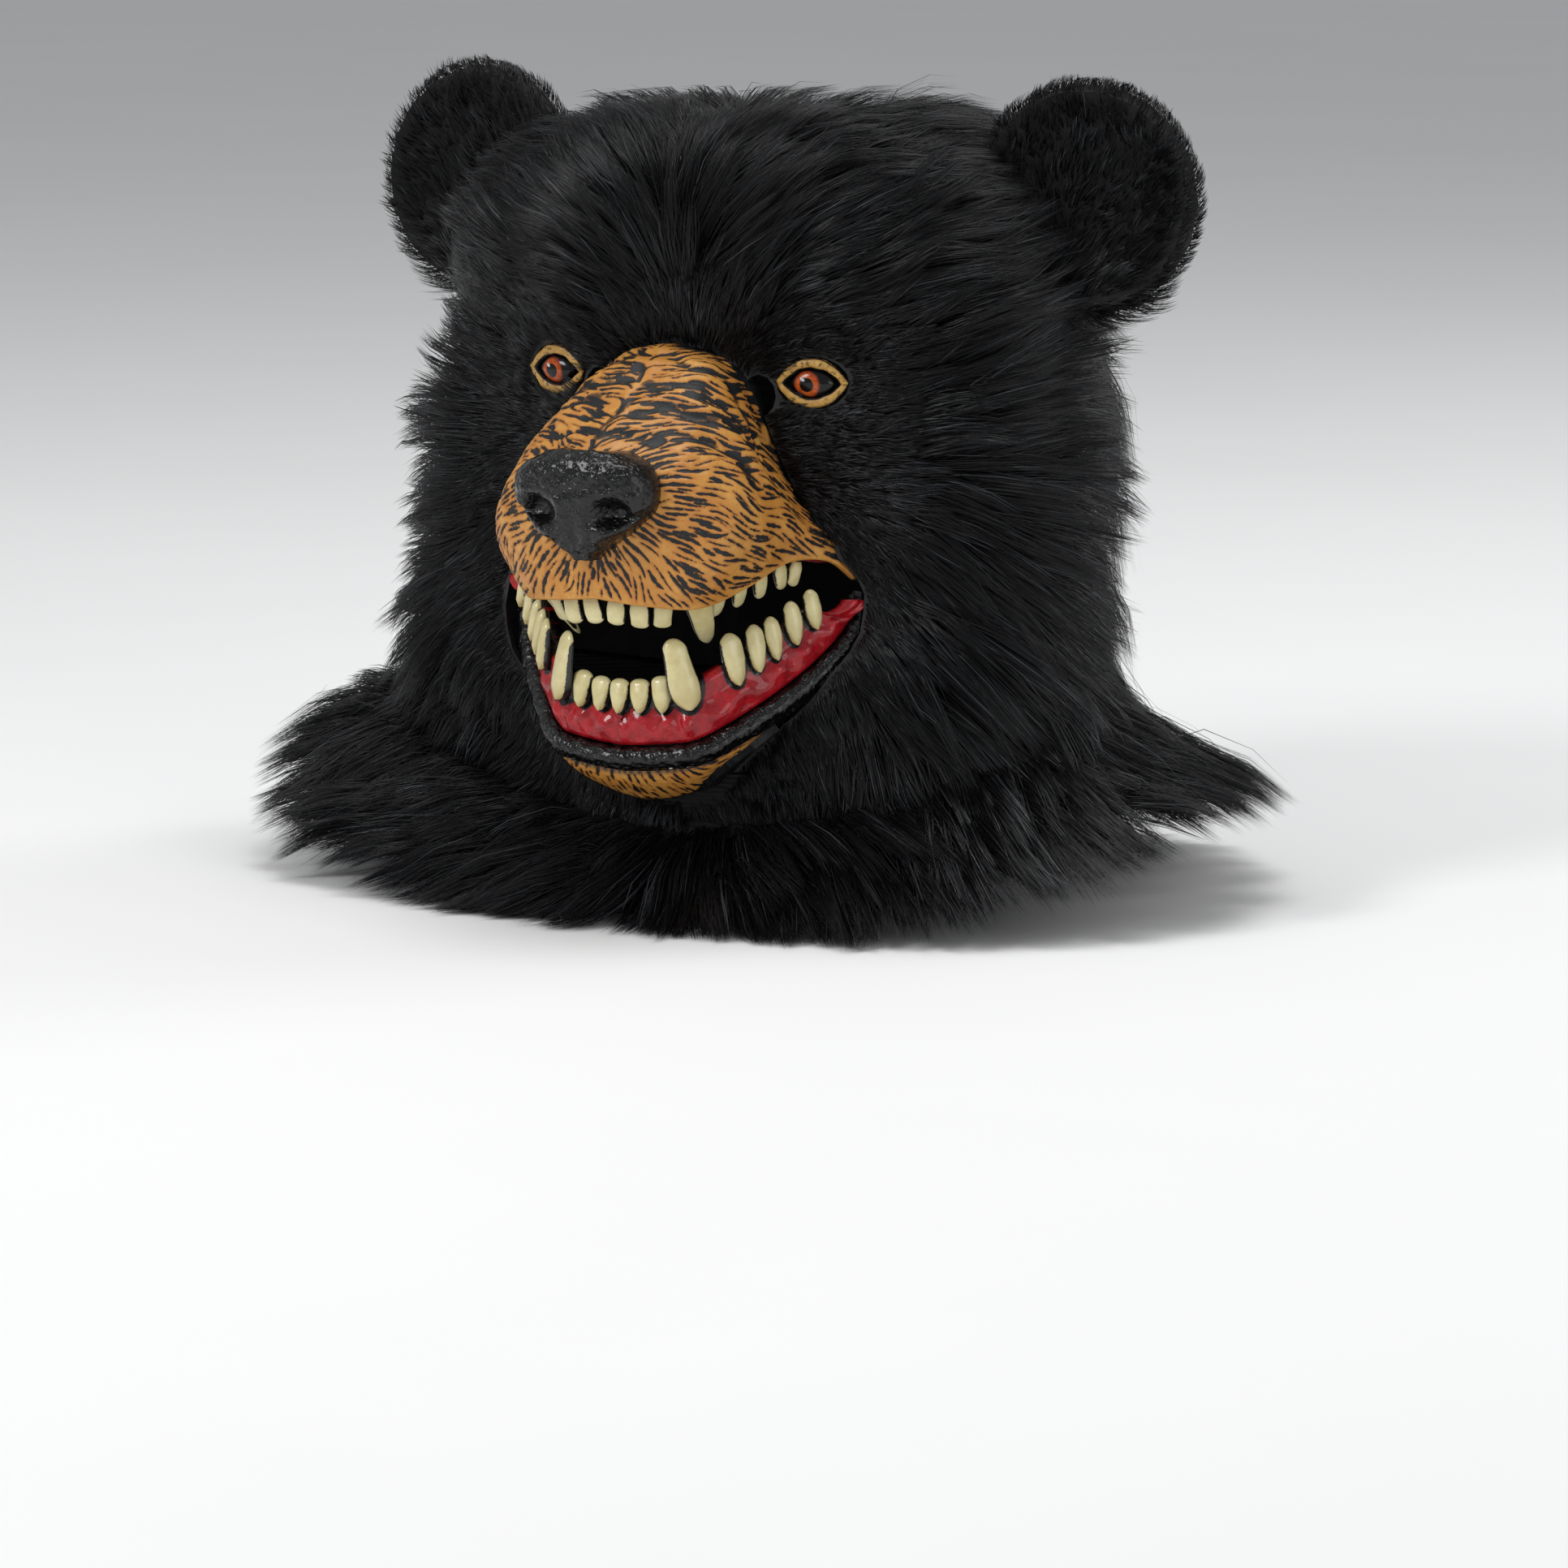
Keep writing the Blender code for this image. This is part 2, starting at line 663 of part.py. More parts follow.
def make_hood_fur(finish):
    pole, inner = head_grid(GAP)
    rows, columns = inner.shape[:2]
    angle, ring = np.meshgrid(head_angles(), np.arange(1, SEAM_RING + 1, dtype=float))
    normals = surface_normal(head_form, angle, ring, 0.0, SEAM_RING)
    behind = smoothstep((-inner[..., 1] - WIDEST_BEHIND_EYES * NAPE_FROM) / HEAD_BACK)
    low = smoothstep((-inner[..., 2] / HEAD_HEIGHT - NECK_FROM) / NECK_OVER)
    flow = fur_flow(inner, normals, np.maximum(behind, low * NECK_DOWNHILL))
    at_seam = smoothstep((ring - (SEAM_RING - SEAM_RINGS)) / SEAM_RINGS)
    depth = hood_pile(inner) * (1 - (1 - SEAM_PILE) * at_seam)
    lean = LOCK_LEAN * (1 - (1 - HOOD_SEAM_LEAN) * at_seam)
    points, faces, inside = locks(inner, normals, flow, depth, lean)
    outer_pole = len(points)
    inner_pole = outer_pole + 1
    points = np.vstack((points, pole + (0.0, 0.0, PILE_CROWN), pole))
    for column in range(columns):
        beside = (column + 1) % columns
        faces.append((outer_pole, beside, column))
        faces.append((inner_pole, inside + column, inside + beside))
    last = (rows - 1) * columns
    faces += rim_faces(last, inside + last, columns, False)
    return add_mesh("hood_fur", points, faces, finish)


def skirt_grid(lift):
    shares = np.linspace(SKIRT_START, 1.0, SKIRT_BANDS + 1)
    angle, share = np.meshgrid(head_angles(), shares)
    normals = surface_normal(skirt_form, angle, share, 0.0, 1.0)
    return skirt_form(angle, share) + lift * normals, normals, share


def make_skirt_fur(finish):
    inner, normals, share = skirt_grid(GAP)
    rows, columns = inner.shape[:2]
    down = skirt_down(share)
    at_seam = 1 - smoothstep(share / SEAM_SHARE)
    angle = np.broadcast_to(head_angles(), share.shape)
    ring = np.full_like(share, SEAM_RING)
    hood_normals = surface_normal(head_form, angle, ring, 0.0, SEAM_RING)
    normals = normals + (hood_normals - normals) * at_seam[..., None]
    depth = PILE_LONG * (1 - (1 - SEAM_PILE) * at_seam)
    lean = LOCK_LEAN * (1 - (1 - SKIRT_SEAM_LEAN) * at_seam)
    points, faces, inside = locks(inner, normals, down, depth, lean)
    last = (rows - 1) * columns
    faces += rim_faces(last, inside + last, columns, False)
    faces += rim_faces(0, inside, columns, True)
    return add_mesh("skirt_fur", points, faces, finish)


def skirt_down(share):
    """Unit steps down the ruff, at the grid's points."""
    angle = np.broadcast_to(head_angles(), share.shape)
    step = 0.02
    low = np.minimum(share, 1.0 - step)
    run = skirt_form(angle, low + step) - skirt_form(angle, low)
    return run / np.linalg.norm(run, axis=-1, keepdims=True)


def corner_up():
    """The height at which the lower lip's roll starts, just under the upper lip's corner."""
    return BRIDGE_ABOVE_EYES - LIP_EDGE[-1][DOWN] * MUZZLE_HEIGHT - LIP_RADIUS - 2 * FACE_CLEARANCE


def muzzle_line(table, place):
    row = between_rows(table, place * (len(table) - 1))
    across = row[..., ACROSS] * MUZZLE_WIDTH / 2
    ahead = row[..., AHEAD] * MUZZLE_REACH
    up = BRIDGE_ABOVE_EYES - row[..., DOWN] * MUZZLE_HEIGHT
    return np.stack((across, ahead, up), axis=-1)


def muzzle_form(turn, rise):
    """The snout's outside. Turn goes from -1 at one mouth corner round to 1 at the other, and rise
    goes from 0 at the lip's edge to 1 on the ridge of the bridge."""
    place = np.abs(turn)
    lip = muzzle_line(LIP_EDGE, place)
    ridge = muzzle_line(BRIDGE_RIDGE, place)
    arch = between_rows(ARCH, rise * (len(ARCH) - 1))
    base = smoothstep((place - BASE_FROM) / BASE_OVER)
    out = arch[..., FRONT_ACROSS] + (arch[..., BASE_ACROSS] - arch[..., FRONT_ACROSS]) * base
    climb = arch[..., FRONT_UP] + (arch[..., BASE_UP] - arch[..., FRONT_UP]) * base
    across = lip[..., 0] * out * np.sign(turn)
    ahead = lip[..., 1] + (ridge[..., 1] - lip[..., 1]) * climb
    up = lip[..., 2] + (ridge[..., 2] - lip[..., 2]) * climb
    return np.stack((across, ahead, up), axis=-1)


def snout_middle():
    """A place inside the snout, from which its whole wall can be seen."""
    return np.array((0.0, 0.0, BRIDGE_ABOVE_EYES - MUZZLE_HEIGHT * SNOUT_MIDDLE))


def muzzle_normal(turn, rise):
    """The unit outward normal. In the middle, where the two halves meet, it has no sideways part."""
    step = 2e-3
    turn = np.where(np.abs(turn) < step, step * 2, turn)
    high = np.minimum(rise + step, 1.0)
    low = np.maximum(rise - step, 0.0)
    climb = muzzle_form(turn, high) - muzzle_form(turn, low)
    run = muzzle_form(np.minimum(turn + step, 1.0), rise) - muzzle_form(np.maximum(turn - step, -1.0), rise)
    normal = np.cross(run, climb)
    normal = normal / np.maximum(np.linalg.norm(normal, axis=-1, keepdims=True), 1e-12)
    centre = snout_middle()
    outward = np.sum(normal * (muzzle_form(turn, rise) - centre), axis=-1, keepdims=True) > 0
    return np.where(outward, normal, -normal)


def muzzle_grid(lift):
    """Columns from one mouth corner round the front to the other, rows from the lip to the ridge."""
    turns = np.concatenate((-MUZZLE_TURNS[:0:-1], MUZZLE_TURNS))
    turn, rise = np.meshgrid(turns, MUZZLE_RISES, indexing="ij")
    points = muzzle_form(turn, rise)
    normal = muzzle_normal(turn, rise)
    middle = np.abs(points[..., 0]) < 1e-6
    normal[..., 0] = np.where(middle, 0.0, normal[..., 0])
    normal = normal / np.maximum(np.linalg.norm(normal, axis=-1, keepdims=True), 1e-12)
    return points + lift * normal


def muzzle_sheet(lift, collar):
    """The snout's sheet. Both halves share the ridge and a collar runs back into the face opening."""
    grid = muzzle_grid(lift)
    if collar:
        base = grid[-1]
        back = base.copy()
        back[:, 1] = head_front_at(base[:, 0], base[:, 2])[0] - COLLAR
        start = back * np.array((-1.0, 1.0, 1.0))
        grid = np.concatenate((start[None], grid, back[None]))
    columns, rows = grid.shape[:2]
    faces = []
    for column in range(columns - 1):
        for row in range(rows - 1):
            a = column * rows + row
            b = a + rows
            faces.append((a, b, b + 1))
            faces.append((a, b + 1, a + 1))
    return grid.reshape(-1, 3), faces


def muzzle_body(name, lift, collar):
    """A cutter: the snout's outside with its open underside and back filled in."""
    sheet, faces = muzzle_sheet(lift, collar)
    body = add_mesh(name, sheet, faces, None, smooth=False)
    weld(body)
    close_to_point(body, placed(snout_middle()))
    return as_cutter(body)


def make_muzzle(finish):
    points, faces = muzzle_sheet(0.0, True)
    made = add_mesh("muzzle", points, faces, finish)
    weld(made)
    thicken(made, LATEX)
    return made


def weld(target):
    """Joins points that lie in one place and drops the faces that close up."""
    shape = bmesh.new()
    shape.from_mesh(target.data)
    bmesh.ops.remove_doubles(shape, verts=shape.verts, dist=1e-5)
    bmesh.ops.dissolve_degenerate(shape, edges=shape.edges, dist=1e-6)
    face_outwards(shape)
    shape.to_mesh(target.data)
    shape.free()


def jaw_line(place):
    """The middle of the lower lip's roll, from 0 in the middle to 1 at the corner."""
    row = between_rows(JAW_LINE, np.abs(place) * (len(JAW_LINE) - 1))
    across = row[..., ACROSS] * MUZZLE_WIDTH / 2 * np.sign(place)
    ahead = row[..., AHEAD] * MUZZLE_REACH
    up = corner_up() - row[..., DOWN] * JAW_OPEN
    return np.stack((across, ahead, up), axis=-1)


def jaw_frame(place):
    """The lip line's point and its own directions: along it, outwards and up across it."""
    step = 1e-3
    place = np.clip(place, -1.0 + step, 1.0 - step)
    along = jaw_line(place + step) - jaw_line(place - step)
    return frame_of(jaw_line(place), along)


def frame_of(point, along):
    along = along / np.linalg.norm(along, axis=-1, keepdims=True)
    outward = np.stack((-along[..., 1], along[..., 0], np.zeros_like(along[..., 0])), axis=-1)
    outward = outward / np.linalg.norm(outward, axis=-1, keepdims=True)
    across = np.cross(along, outward)
    return point, along, outward, across


def swept(name, places, frame, section, finish):
    """A bar along a line: section(place) gives (out, rise) points of its outline at each place."""
    rings = []
    for place in places:
        point, _, outward, rise = frame(np.array(place))
        rings.append([point + outward * out + rise * high for out, high in section(place)])
    rings = np.array(rings)
    rows, columns = rings.shape[:2]
    faces = grid_faces(rows, columns, True)
    faces.append(tuple(range(columns)))
    faces.append(tuple(range((rows - 1) * columns, rows * columns)))
    return add_mesh(name, rings.reshape(-1, 3), faces, finish)


def lip_places():
    """The lower lip's rings, closer together towards the mouth's corners."""
    even = np.linspace(-1.0, 1.0, LIP_RINGS)
    return even * (1.25 - 0.25 * even**2)


def make_lower_lip(finish):
    turns = [2 * math.pi * (side + 0.5) / LIP_SIDES for side in range(LIP_SIDES)]

    def section(place):
        return [(LIP_RADIUS * math.cos(turn), LIP_RADIUS * math.sin(turn)) for turn in turns]

    return swept("lower_lip", lip_places(), jaw_frame, section, finish)


def gum_height(place):
    run_out = smoothstep((np.abs(place) - GUM_END) / (1 - GUM_END))
    return LOWER_GUM_HEIGHT * (1 - GUM_TAPER * np.abs(place)) * (1 - (1 - GUM_END_SHARE) * run_out)


def make_lower_gum(finish):
    foot = LIP_RADIUS + SEAT_GAP

    def section(place):
        high = foot + gum_height(place)
        crest = high + GUM_THICKNESS * 0.25
        return (
            (0.0, foot),
            (0.0, high),
            (-GUM_THICKNESS * 0.3, crest),
            (-GUM_THICKNESS * 0.7, crest),
            (-GUM_THICKNESS, high),
            (-GUM_THICKNESS, foot),
        )

    return swept("lower_gum", lip_places()[1:-1], jaw_frame, section, finish)


def between_stations(stations, edges):
    """Many points on edges that run straight from station to station, as a solid has them."""
    places = np.linspace(stations[0], stations[-1], EDGE_SAMPLES)
    found = [np.column_stack([np.interp(places, stations, edge[:, axis]) for axis in range(3)]) for edge in edges]
    return np.vstack(found)


def proud_by(points, root, along, out, reach):
    """How far the points within reach of a root stand out beyond it in one direction."""
    off = points - root
    beside = (np.abs(off @ along) < reach) & (np.linalg.norm(off, axis=1) < MUZZLE_WIDTH / 5)
    return np.max((off @ out)[beside])


def lower_gum_front():
    stations = lip_places()[1:-1]
    point, _, _, rise = jaw_frame(stations)
    foot = LIP_RADIUS + SEAT_GAP
    low = point + rise * foot
    high = low + rise * gum_height(stations)[:, None]
    return between_stations(stations, (low, high))


def upper_gum_turns():
    return np.concatenate((-MUZZLE_TURNS[-2:0:-1], MUZZLE_TURNS[:-1]))


def make_upper_gum(finish):
    """A band against the inside of the upper lip, whose faces follow the snout's own."""
    rings = []
    for turn in upper_gum_turns():
        ring = []
        for lift in UPPER_GUM_LIFTS:
            low = lifted_muzzle(turn, MUZZLE_RISES[0], lift)
            high = lifted_muzzle(turn, MUZZLE_RISES[1], lift)
            ring.append([low + (high - low) * share for share in UPPER_GUM_ROWS])
        rings.append(ring[0] + ring[1][::-1])
    rings = np.array(rings)
    rows, columns = rings.shape[:2]
    faces = grid_faces(rows, columns, True)
    faces.append(tuple(range(columns)))
    faces.append(tuple(range((rows - 1) * columns, rows * columns)))
    return add_mesh("upper_gum", rings.reshape(-1, 3), faces, finish)


def upper_gum_foot():
    turns = upper_gum_turns()
    edges = [np.array([lifted_muzzle(turn, MUZZLE_RISES[0], lift) for turn in turns]) for lift in UPPER_GUM_LIFTS]
    return between_stations(turns, edges)


def lifted_muzzle(turn, rise, lift):
    turn = np.array([turn])
    rise = np.array([rise])
    normal = muzzle_normal(turn, rise)
    if abs(turn[0]) < 1e-6:
        normal[:, 0] = 0.0
    normal = normal / np.linalg.norm(normal, axis=-1, keepdims=True)
    return (muzzle_form(turn, rise) + lift * normal)[0]


def place_of(line, across):
    """Where on a line, from 0 to 1, it lies a given way across."""
    places = np.linspace(0.0, 1.0, 401)
    points = line(places)
    return float(places[np.argmin(np.abs(points[..., 0] - across))])


def make_tooth(name, root, outward, along, tipward, length, width, flat_back, finish):
    """A tooth whose rings go from its root to its tip. Flat_back keeps it in front of the gum."""
    count = TOOTH_SIDES
    if flat_back:
        turns = [math.pi * step / (count - 1) for step in range(count)]
        deepest = TOOTH_THICKNESS
        tip_ahead = TOOTH_THICKNESS * TOOTH_TIP_AHEAD
    else:
        turns = [2 * math.pi * (step + 0.5) / count for step in range(count)]
        deepest = TOOTH_THICKNESS / 2
        tip_ahead = 0.0
    points = []
    for share, wide, thick in TOOTH_RINGS:
        centre = root + tipward * length * share
        for turn in turns:
            side = along * width / 2 * wide * math.cos(turn)
            points.append(centre + side + outward * deepest * thick * math.sin(turn))
    rows = len(TOOTH_RINGS)
    faces = grid_faces(rows, count, True)
    tip = len(points)
    points.append(root + tipward * length + outward * tip_ahead)
    last = (rows - 1) * count
    for step in range(count):
        faces.append((last + step, last + (step + 1) % count, tip))
    faces.append(tuple(range(count)))
    return add_mesh(name, np.array(points), faces, finish)


def both_sides(rows):
    """The teeth from one side round to the other, each with its side."""
    right = [(-1, *row) for row in reversed(rows) if row[0] > 0]
    left = [(1, *row) for row in rows]
    return right + left


def upper_lip_line(place):
    return muzzle_line(LIP_EDGE, place)


def make_upper_teeth(finish):
    gum = upper_gum_foot()
    for number, (side, across, length, width) in enumerate(both_sides(UPPER_TEETH), start=1):
        place = place_of(upper_lip_line, across * MUZZLE_WIDTH / 2)
        inset = -LATEX - GAP - GUM_THICKNESS * UPPER_TOOTH_INSET
        high = int(np.searchsorted(MUZZLE_TURNS, place))
        low_turn, high_turn = MUZZLE_TURNS[high - 1], MUZZLE_TURNS[high]
        start = lifted_muzzle(low_turn, 0.0, inset)
        ahead = lifted_muzzle(high_turn, 0.0, inset) - start
        root = start + ahead * (place - low_turn) / (high_turn - low_turn)
        along = ahead / np.linalg.norm(ahead)
        outward = muzzle_normal(np.array([place]), np.array([0.0]))[0]
        rise = np.cross(along, outward)
        root_half = width / 2 * TOOTH_RINGS[0][1]
        root = root - rise * (proud_by(gum, root, along, -rise, root_half) + FACE_CLEARANCE)
        flip = np.array((side, 1.0, 1.0))
        make_tooth(
            f"upper_tooth_{number:02d}",
            root * flip,
            outward * flip,
            along * flip,
            -rise * flip,
            length,
            width,
            False,
            finish,
        )


def make_lower_teeth(finish):
    gum = lower_gum_front()
    for number, (side, across, length, width) in enumerate(both_sides(LOWER_TEETH), start=1):
        place = place_of(jaw_line_half, across * MUZZLE_WIDTH / 2)
        point, _, outward, rise = jaw_frame(np.array(place))
        upright = np.array((0.0, 0.0, 1.0))
        tipward = rise * TOOTH_LEAN + upright * (1 - TOOTH_LEAN)
        tipward = tipward / np.linalg.norm(tipward)
        along = np.cross(outward, tipward)
        root = point + rise * (LIP_RADIUS + SEAT_GAP + gum_height(place) * ROOT_SHARE)
        root = root + outward * (proud_by(gum, root, along, outward, width / 2) + FACE_CLEARANCE)
        flip = np.array((side, 1.0, 1.0))
        make_tooth(
            f"lower_tooth_{number:02d}",
            root * flip,
            outward * flip,
            along * flip,
            tipward * flip,
            length,
            width,
            True,
            finish,
        )


def jaw_line_half(place):
    return jaw_line(np.maximum(place, 1e-9))


def chin_grid():
    """The chin from under the lip's roll, row after row, to its lower edge."""
    places = np.linspace(-CHIN_END, CHIN_END, CHIN_STEPS)
    point, _, outward, rise = jaw_frame(places)
    top = point - rise * (LIP_RADIUS + FACE_CLEARANCE) - outward * LIP_RADIUS * 0.2
    fall = 1 - CHIN_TAPER * np.abs(places / CHIN_END) ** 2
    rows = []
    for share in CHIN_ROWS:
        down = CHIN_DROP * fall * share
        back = CHIN_SET_BACK * fall * share**CHIN_ROUNDING
        rows.append(top + np.stack((-outward[:, 0] * back, -back, -down), axis=-1))
    return np.array(rows)


def make_chin(finish):
    grid = chin_grid()
    edge = grid[-1].copy()
    edge[:, 1] = head_front_at(edge[:, 0], edge[:, 2])[0] - COLLAR
    grid = np.concatenate((grid, edge[None]))
    points, faces = shell_sheet(grid, False)
    made = add_mesh("chin", points, faces, finish)
    thicken(made, LATEX)
    return made


def mouth_outline():
    """The mouth's part of the face opening: from inside the snout's base round the lower lip's outer
    side and along the chin's edge."""
    start = np.array((0.0, snout_middle()[2]))
    inside = muzzle_form(np.array(1.0), np.array(0.25))[[0, 2]] - (LATEX * 1.5, LATEX)
    corner = muzzle_form(np.array(1.0), np.array(0.0))[[0, 2]] + (LATEX * 0.5, LATEX)
    places = np.linspace(1.0, CHIN_END, 8)
    lip = jaw_line(places)[:, (0, 2)]
    run = np.gradient(lip, axis=0)
    run = run / np.linalg.norm(run, axis=1, keepdims=True)
    lip = lip + np.column_stack((-run[:, 1], run[:, 0])) * LIP_RADIUS
    chin = chin_grid()[-1][: CHIN_STEPS // 2 : -1][:, (0, 2)]
    middle = chin_grid()[-1][CHIN_STEPS // 2][None, (0, 2)]
    half = np.vstack((start, inside, corner, lip, chin, middle))
    return mirrored(half)


def ellipse(across, up, width, height, sides):
    turns = -np.arange(sides) * 2 * math.pi / sides
    return np.column_stack((across + width / 2 * np.cos(turns), up + height / 2 * np.sin(turns)))


def eye_outline(side, extra):
    return ellipse(side * EYE_SPACING / 2, 0.0, EYE_WIDTH + 2 * extra, EYE_HEIGHT + 2 * extra, EYE_SIDES)


def sight_outline(side, extra):
    width = SIGHT_WIDTH + 2 * extra
    height = SIGHT_HEIGHT + 2 * extra
    return ellipse(side * SIGHT_SPACING / 2, -SIGHT_BELOW_EYES, width, height, SIGHT_SIDES)


def cut_face(target, name, extra):
    """Cuts the face opening, the sight gaps and the eye holes, each larger by the extra width."""
    reach = MUZZLE_REACH * 2
    cut(target, prism(name + "_mouth_cutter", outset(mouth_outline(), extra), -HEAD_FRONT, reach))
    cut(target, muzzle_body(name + "_snout_cutter", extra, True))
    for side, word in SIDES:
        cut(target, prism(f"{name}_eye_cutter_{word}", eye_outline(side, extra), -HEAD_FRONT, reach))
        cut(target, prism(f"{name}_sight_cutter_{word}", sight_outline(side, extra), -HEAD_FRONT, reach))


def make_latex_head(finish):
    points, faces = crowned_sheet(0.0)
    made = add_mesh("latex_head", points, faces, finish)
    thicken(made, LATEX)
    cut_face(made, "head", FACE_CLEARANCE)
    return made


def make_skirt_backing(finish):
    points, faces = shell_sheet(skirt_grid(0.0)[0], True)
    made = add_mesh("skirt_backing", points, faces, finish)
    thicken(made, CLOTH)
    return made


def make_eye(side, word, lid_finish, eye_finish):
    steps = EYE_SIDES
    sides = EYELID_SIDES
    turns = np.arange(steps) * 2 * math.pi / steps
    half_width = EYE_WIDTH / 2 - EYELID_RADIUS
    half_height = EYE_HEIGHT / 2 - EYELID_RADIUS
    across = EYE_SPACING / 2 + half_width * np.cos(turns)
    up = half_height * np.sin(turns)
    ahead, normal = head_front_at(across, up)
    centre_ahead, centre_normal = head_front_at(EYE_SPACING / 2, 0.0)
    centre = np.array((EYE_SPACING / 2, centre_ahead[0], 0.0))
    path = np.column_stack((across, ahead, up))
    outward = path - centre
    outward = outward - normal * np.sum(outward * normal, axis=1, keepdims=True)
    outward = outward / np.linalg.norm(outward, axis=1, keepdims=True)
    rings = []
    for step in range(steps):
        for corner in range(sides):
            turn = 2 * math.pi * corner / sides
            offset = outward[step] * math.cos(turn) + normal[step] * math.sin(turn)
            rings.append(path[step] + EYELID_RADIUS * offset)
    faces = []
    for step in range(steps):
        for corner in range(sides):
            a = step * sides + corner
            b = step * sides + (corner + 1) % sides
            c = (step + 1) % steps * sides + (corner + 1) % sides
            d = (step + 1) % steps * sides + corner
            faces.append((a, b, c))
            faces.append((a, c, d))
    flip = np.array((side, 1.0, 1.0))
    add_mesh("eyelid_" + word, np.array(rings) * flip, faces, lid_finish)

    outer = centre_normal[0]
    sideways = np.cross(outer, (0.0, 0.0, 1.0))
    sideways = sideways / np.linalg.norm(sideways)
    upright = np.cross(sideways, outer)
    points = [centre + outer * EYE_BULGE]
    ball_width = half_width - EYELID_RADIUS - GAP
    ball_height = half_height - EYELID_RADIUS - GAP
    for level, depth in EYEBALL_RINGS:
        for turn in turns:
            wide = sideways * ball_width * level * math.cos(turn)
            high = upright * ball_height * level * math.sin(turn)
            points.append(centre + outer * EYE_BULGE * depth + wide + high)
    faces = grid_faces(len(EYEBALL_RINGS), steps, True, start=1)
    faces += [(0, 1 + step, 1 + (step + 1) % steps) for step in range(steps)]
    last = 1 + (len(EYEBALL_RINGS) - 1) * steps
    faces.append(tuple(range(last, last + steps)))
    add_mesh("eyeball_" + word, np.array(points) * flip, faces, eye_finish)


def ear_points(extra):
    """The left ear's whole plate, before its foot is fitted to the head."""
    steps = EAR_SIDES
    facing = np.array(EAR_FACING)
    facing = facing / np.linalg.norm(facing)
    sideways = np.cross(facing, (0.0, 0.0, 1.0))
    sideways = sideways / np.linalg.norm(sideways)
    upright = np.cross(sideways, facing)
    centre = np.array((EAR_SPACING / 2, -EAR_BEHIND_EYES, EAR_ABOVE_EYES))
    radius = EAR_RADIUS + extra
    half = EAR_THICKNESS / 2 + extra
    points = [centre + facing * (half - EAR_CUP * EAR_HOLLOW)]
    for share, thick, cup in EAR_RINGS:
        depth = half * thick - EAR_CUP * cup
        for step in range(steps):
            turn = 2 * math.pi * step / steps
            spoke = sideways * math.cos(turn) + upright * math.sin(turn)
            points.append(centre + spoke * radius * share + facing * depth)
    points.append(centre - facing * (half + EAR_CUP * EAR_BACK_BULGE))
    faces = [(0, 1 + step, 1 + (step + 1) % steps) for step in range(steps)]
    faces += grid_faces(len(EAR_RINGS), steps, True, start=1)
    last = 1 + (len(EAR_RINGS) - 1) * steps
    end = len(points) - 1
    faces += [(end, last + (step + 1) % steps, last + step) for step in range(steps)]
    return np.array(points), faces


def make_ears(finish, fur):
    points, faces = crowned_sheet(GAP)
    count = len(points)
    points = np.vstack((points, crown_pole(-HEAD_HEIGHT)))
    first = count - AROUND
    faces = faces + [(first + c, first + (c + 1) % AROUND, count) for c in range(AROUND)]
    head_cutter = as_cutter(add_mesh("ear_foot_cutter", points, faces, None, smooth=False))
    for side, word in SIDES:
        flip = np.array((side, 1.0, 1.0))
        plate, plate_faces = ear_points(0.0)
        ear = add_mesh("ear_" + word, plate * flip, plate_faces, finish)
        cut(ear, head_cutter)
        plate, plate_faces = ear_points(GAP * 2)
        cutter = add_mesh(f"ear_{word}_cutter", plate * flip, plate_faces, None, smooth=False)
        cut(fur, as_cutter(cutter))


def rounded(value):
    """A sine or cosine for the nose pad's rounded-off square."""
    return math.copysign(abs(value) ** NOSE_ROUNDING, value)


def make_nose(finish):
    """The nose pad: stacked rings whose back is fitted to the snout's front."""
    steps = NOSE_SIDES
    points = []
    for fall, wide, bulge in NOSE_RINGS:
        up = -NOSE_TOP_BELOW_EYES - fall * NOSE_HEIGHT
        for step in range(steps):
            turn = 2 * math.pi * step / steps
            across = NOSE_WIDTH / 2 * wide * rounded(math.sin(turn))
            fore = rounded(math.cos(turn))
            reach = NOSE_BULGE * bulge if fore > 0 else NOSE_BULGE
            points.append((across, NOSE_AHEAD + reach * fore, up))
    faces = grid_faces(len(NOSE_RINGS), steps, True)
    faces.append(tuple(range(steps)))
    last = (len(NOSE_RINGS) - 1) * steps
    faces.append(tuple(range(last, last + steps)))
    made = add_mesh("nose_pad", np.array(points), faces, finish)

    cut(made, muzzle_body("nose_seat_cutter", GAP, False))
    up = -NOSE_TOP_BELOW_EYES - NOSE_HEIGHT * NOSTRIL_BELOW_TOP
    radii = np.array(NOSTRIL_RADII) * NOSTRIL
    for side, word in SIDES:
        centre = (side * NOSTRIL_SPACING / 2, NOSE_AHEAD + NOSE_BULGE, up)
        hollow = add_ball(f"nostril_cutter_{word}", centre, radii)
        cut(made, as_cutter(hollow))


def close_to_point(target, point):
    """Closes an open sheet by joining its whole edge to one point inside."""
    shape = bmesh.new()
    shape.from_mesh(target.data)
    tip = shape.verts.new(point)
    for edge in [edge for edge in shape.edges if len(edge.link_faces) == 1]:
        shape.faces.new((edge.verts[0], edge.verts[1], tip))
    face_outwards(shape)
    shape.to_mesh(target.data)
    shape.free()


def add_ball(name, centre, radii):
    shape = bmesh.new()
    bmesh.ops.create_uvsphere(shape, u_segments=10, v_segments=6, radius=1.0)
    points = np.array([tuple(vert.co) for vert in shape.verts]) * np.array(radii)
    faces = [[vert.index for vert in face.verts] for face in shape.faces]
    shape.free()
    return add_mesh(name, points + np.array(centre), faces, None, smooth=False)


def clear_scene():
    for old in list(bpy.data.objects):
        bpy.data.objects.remove(old, do_unlink=True)


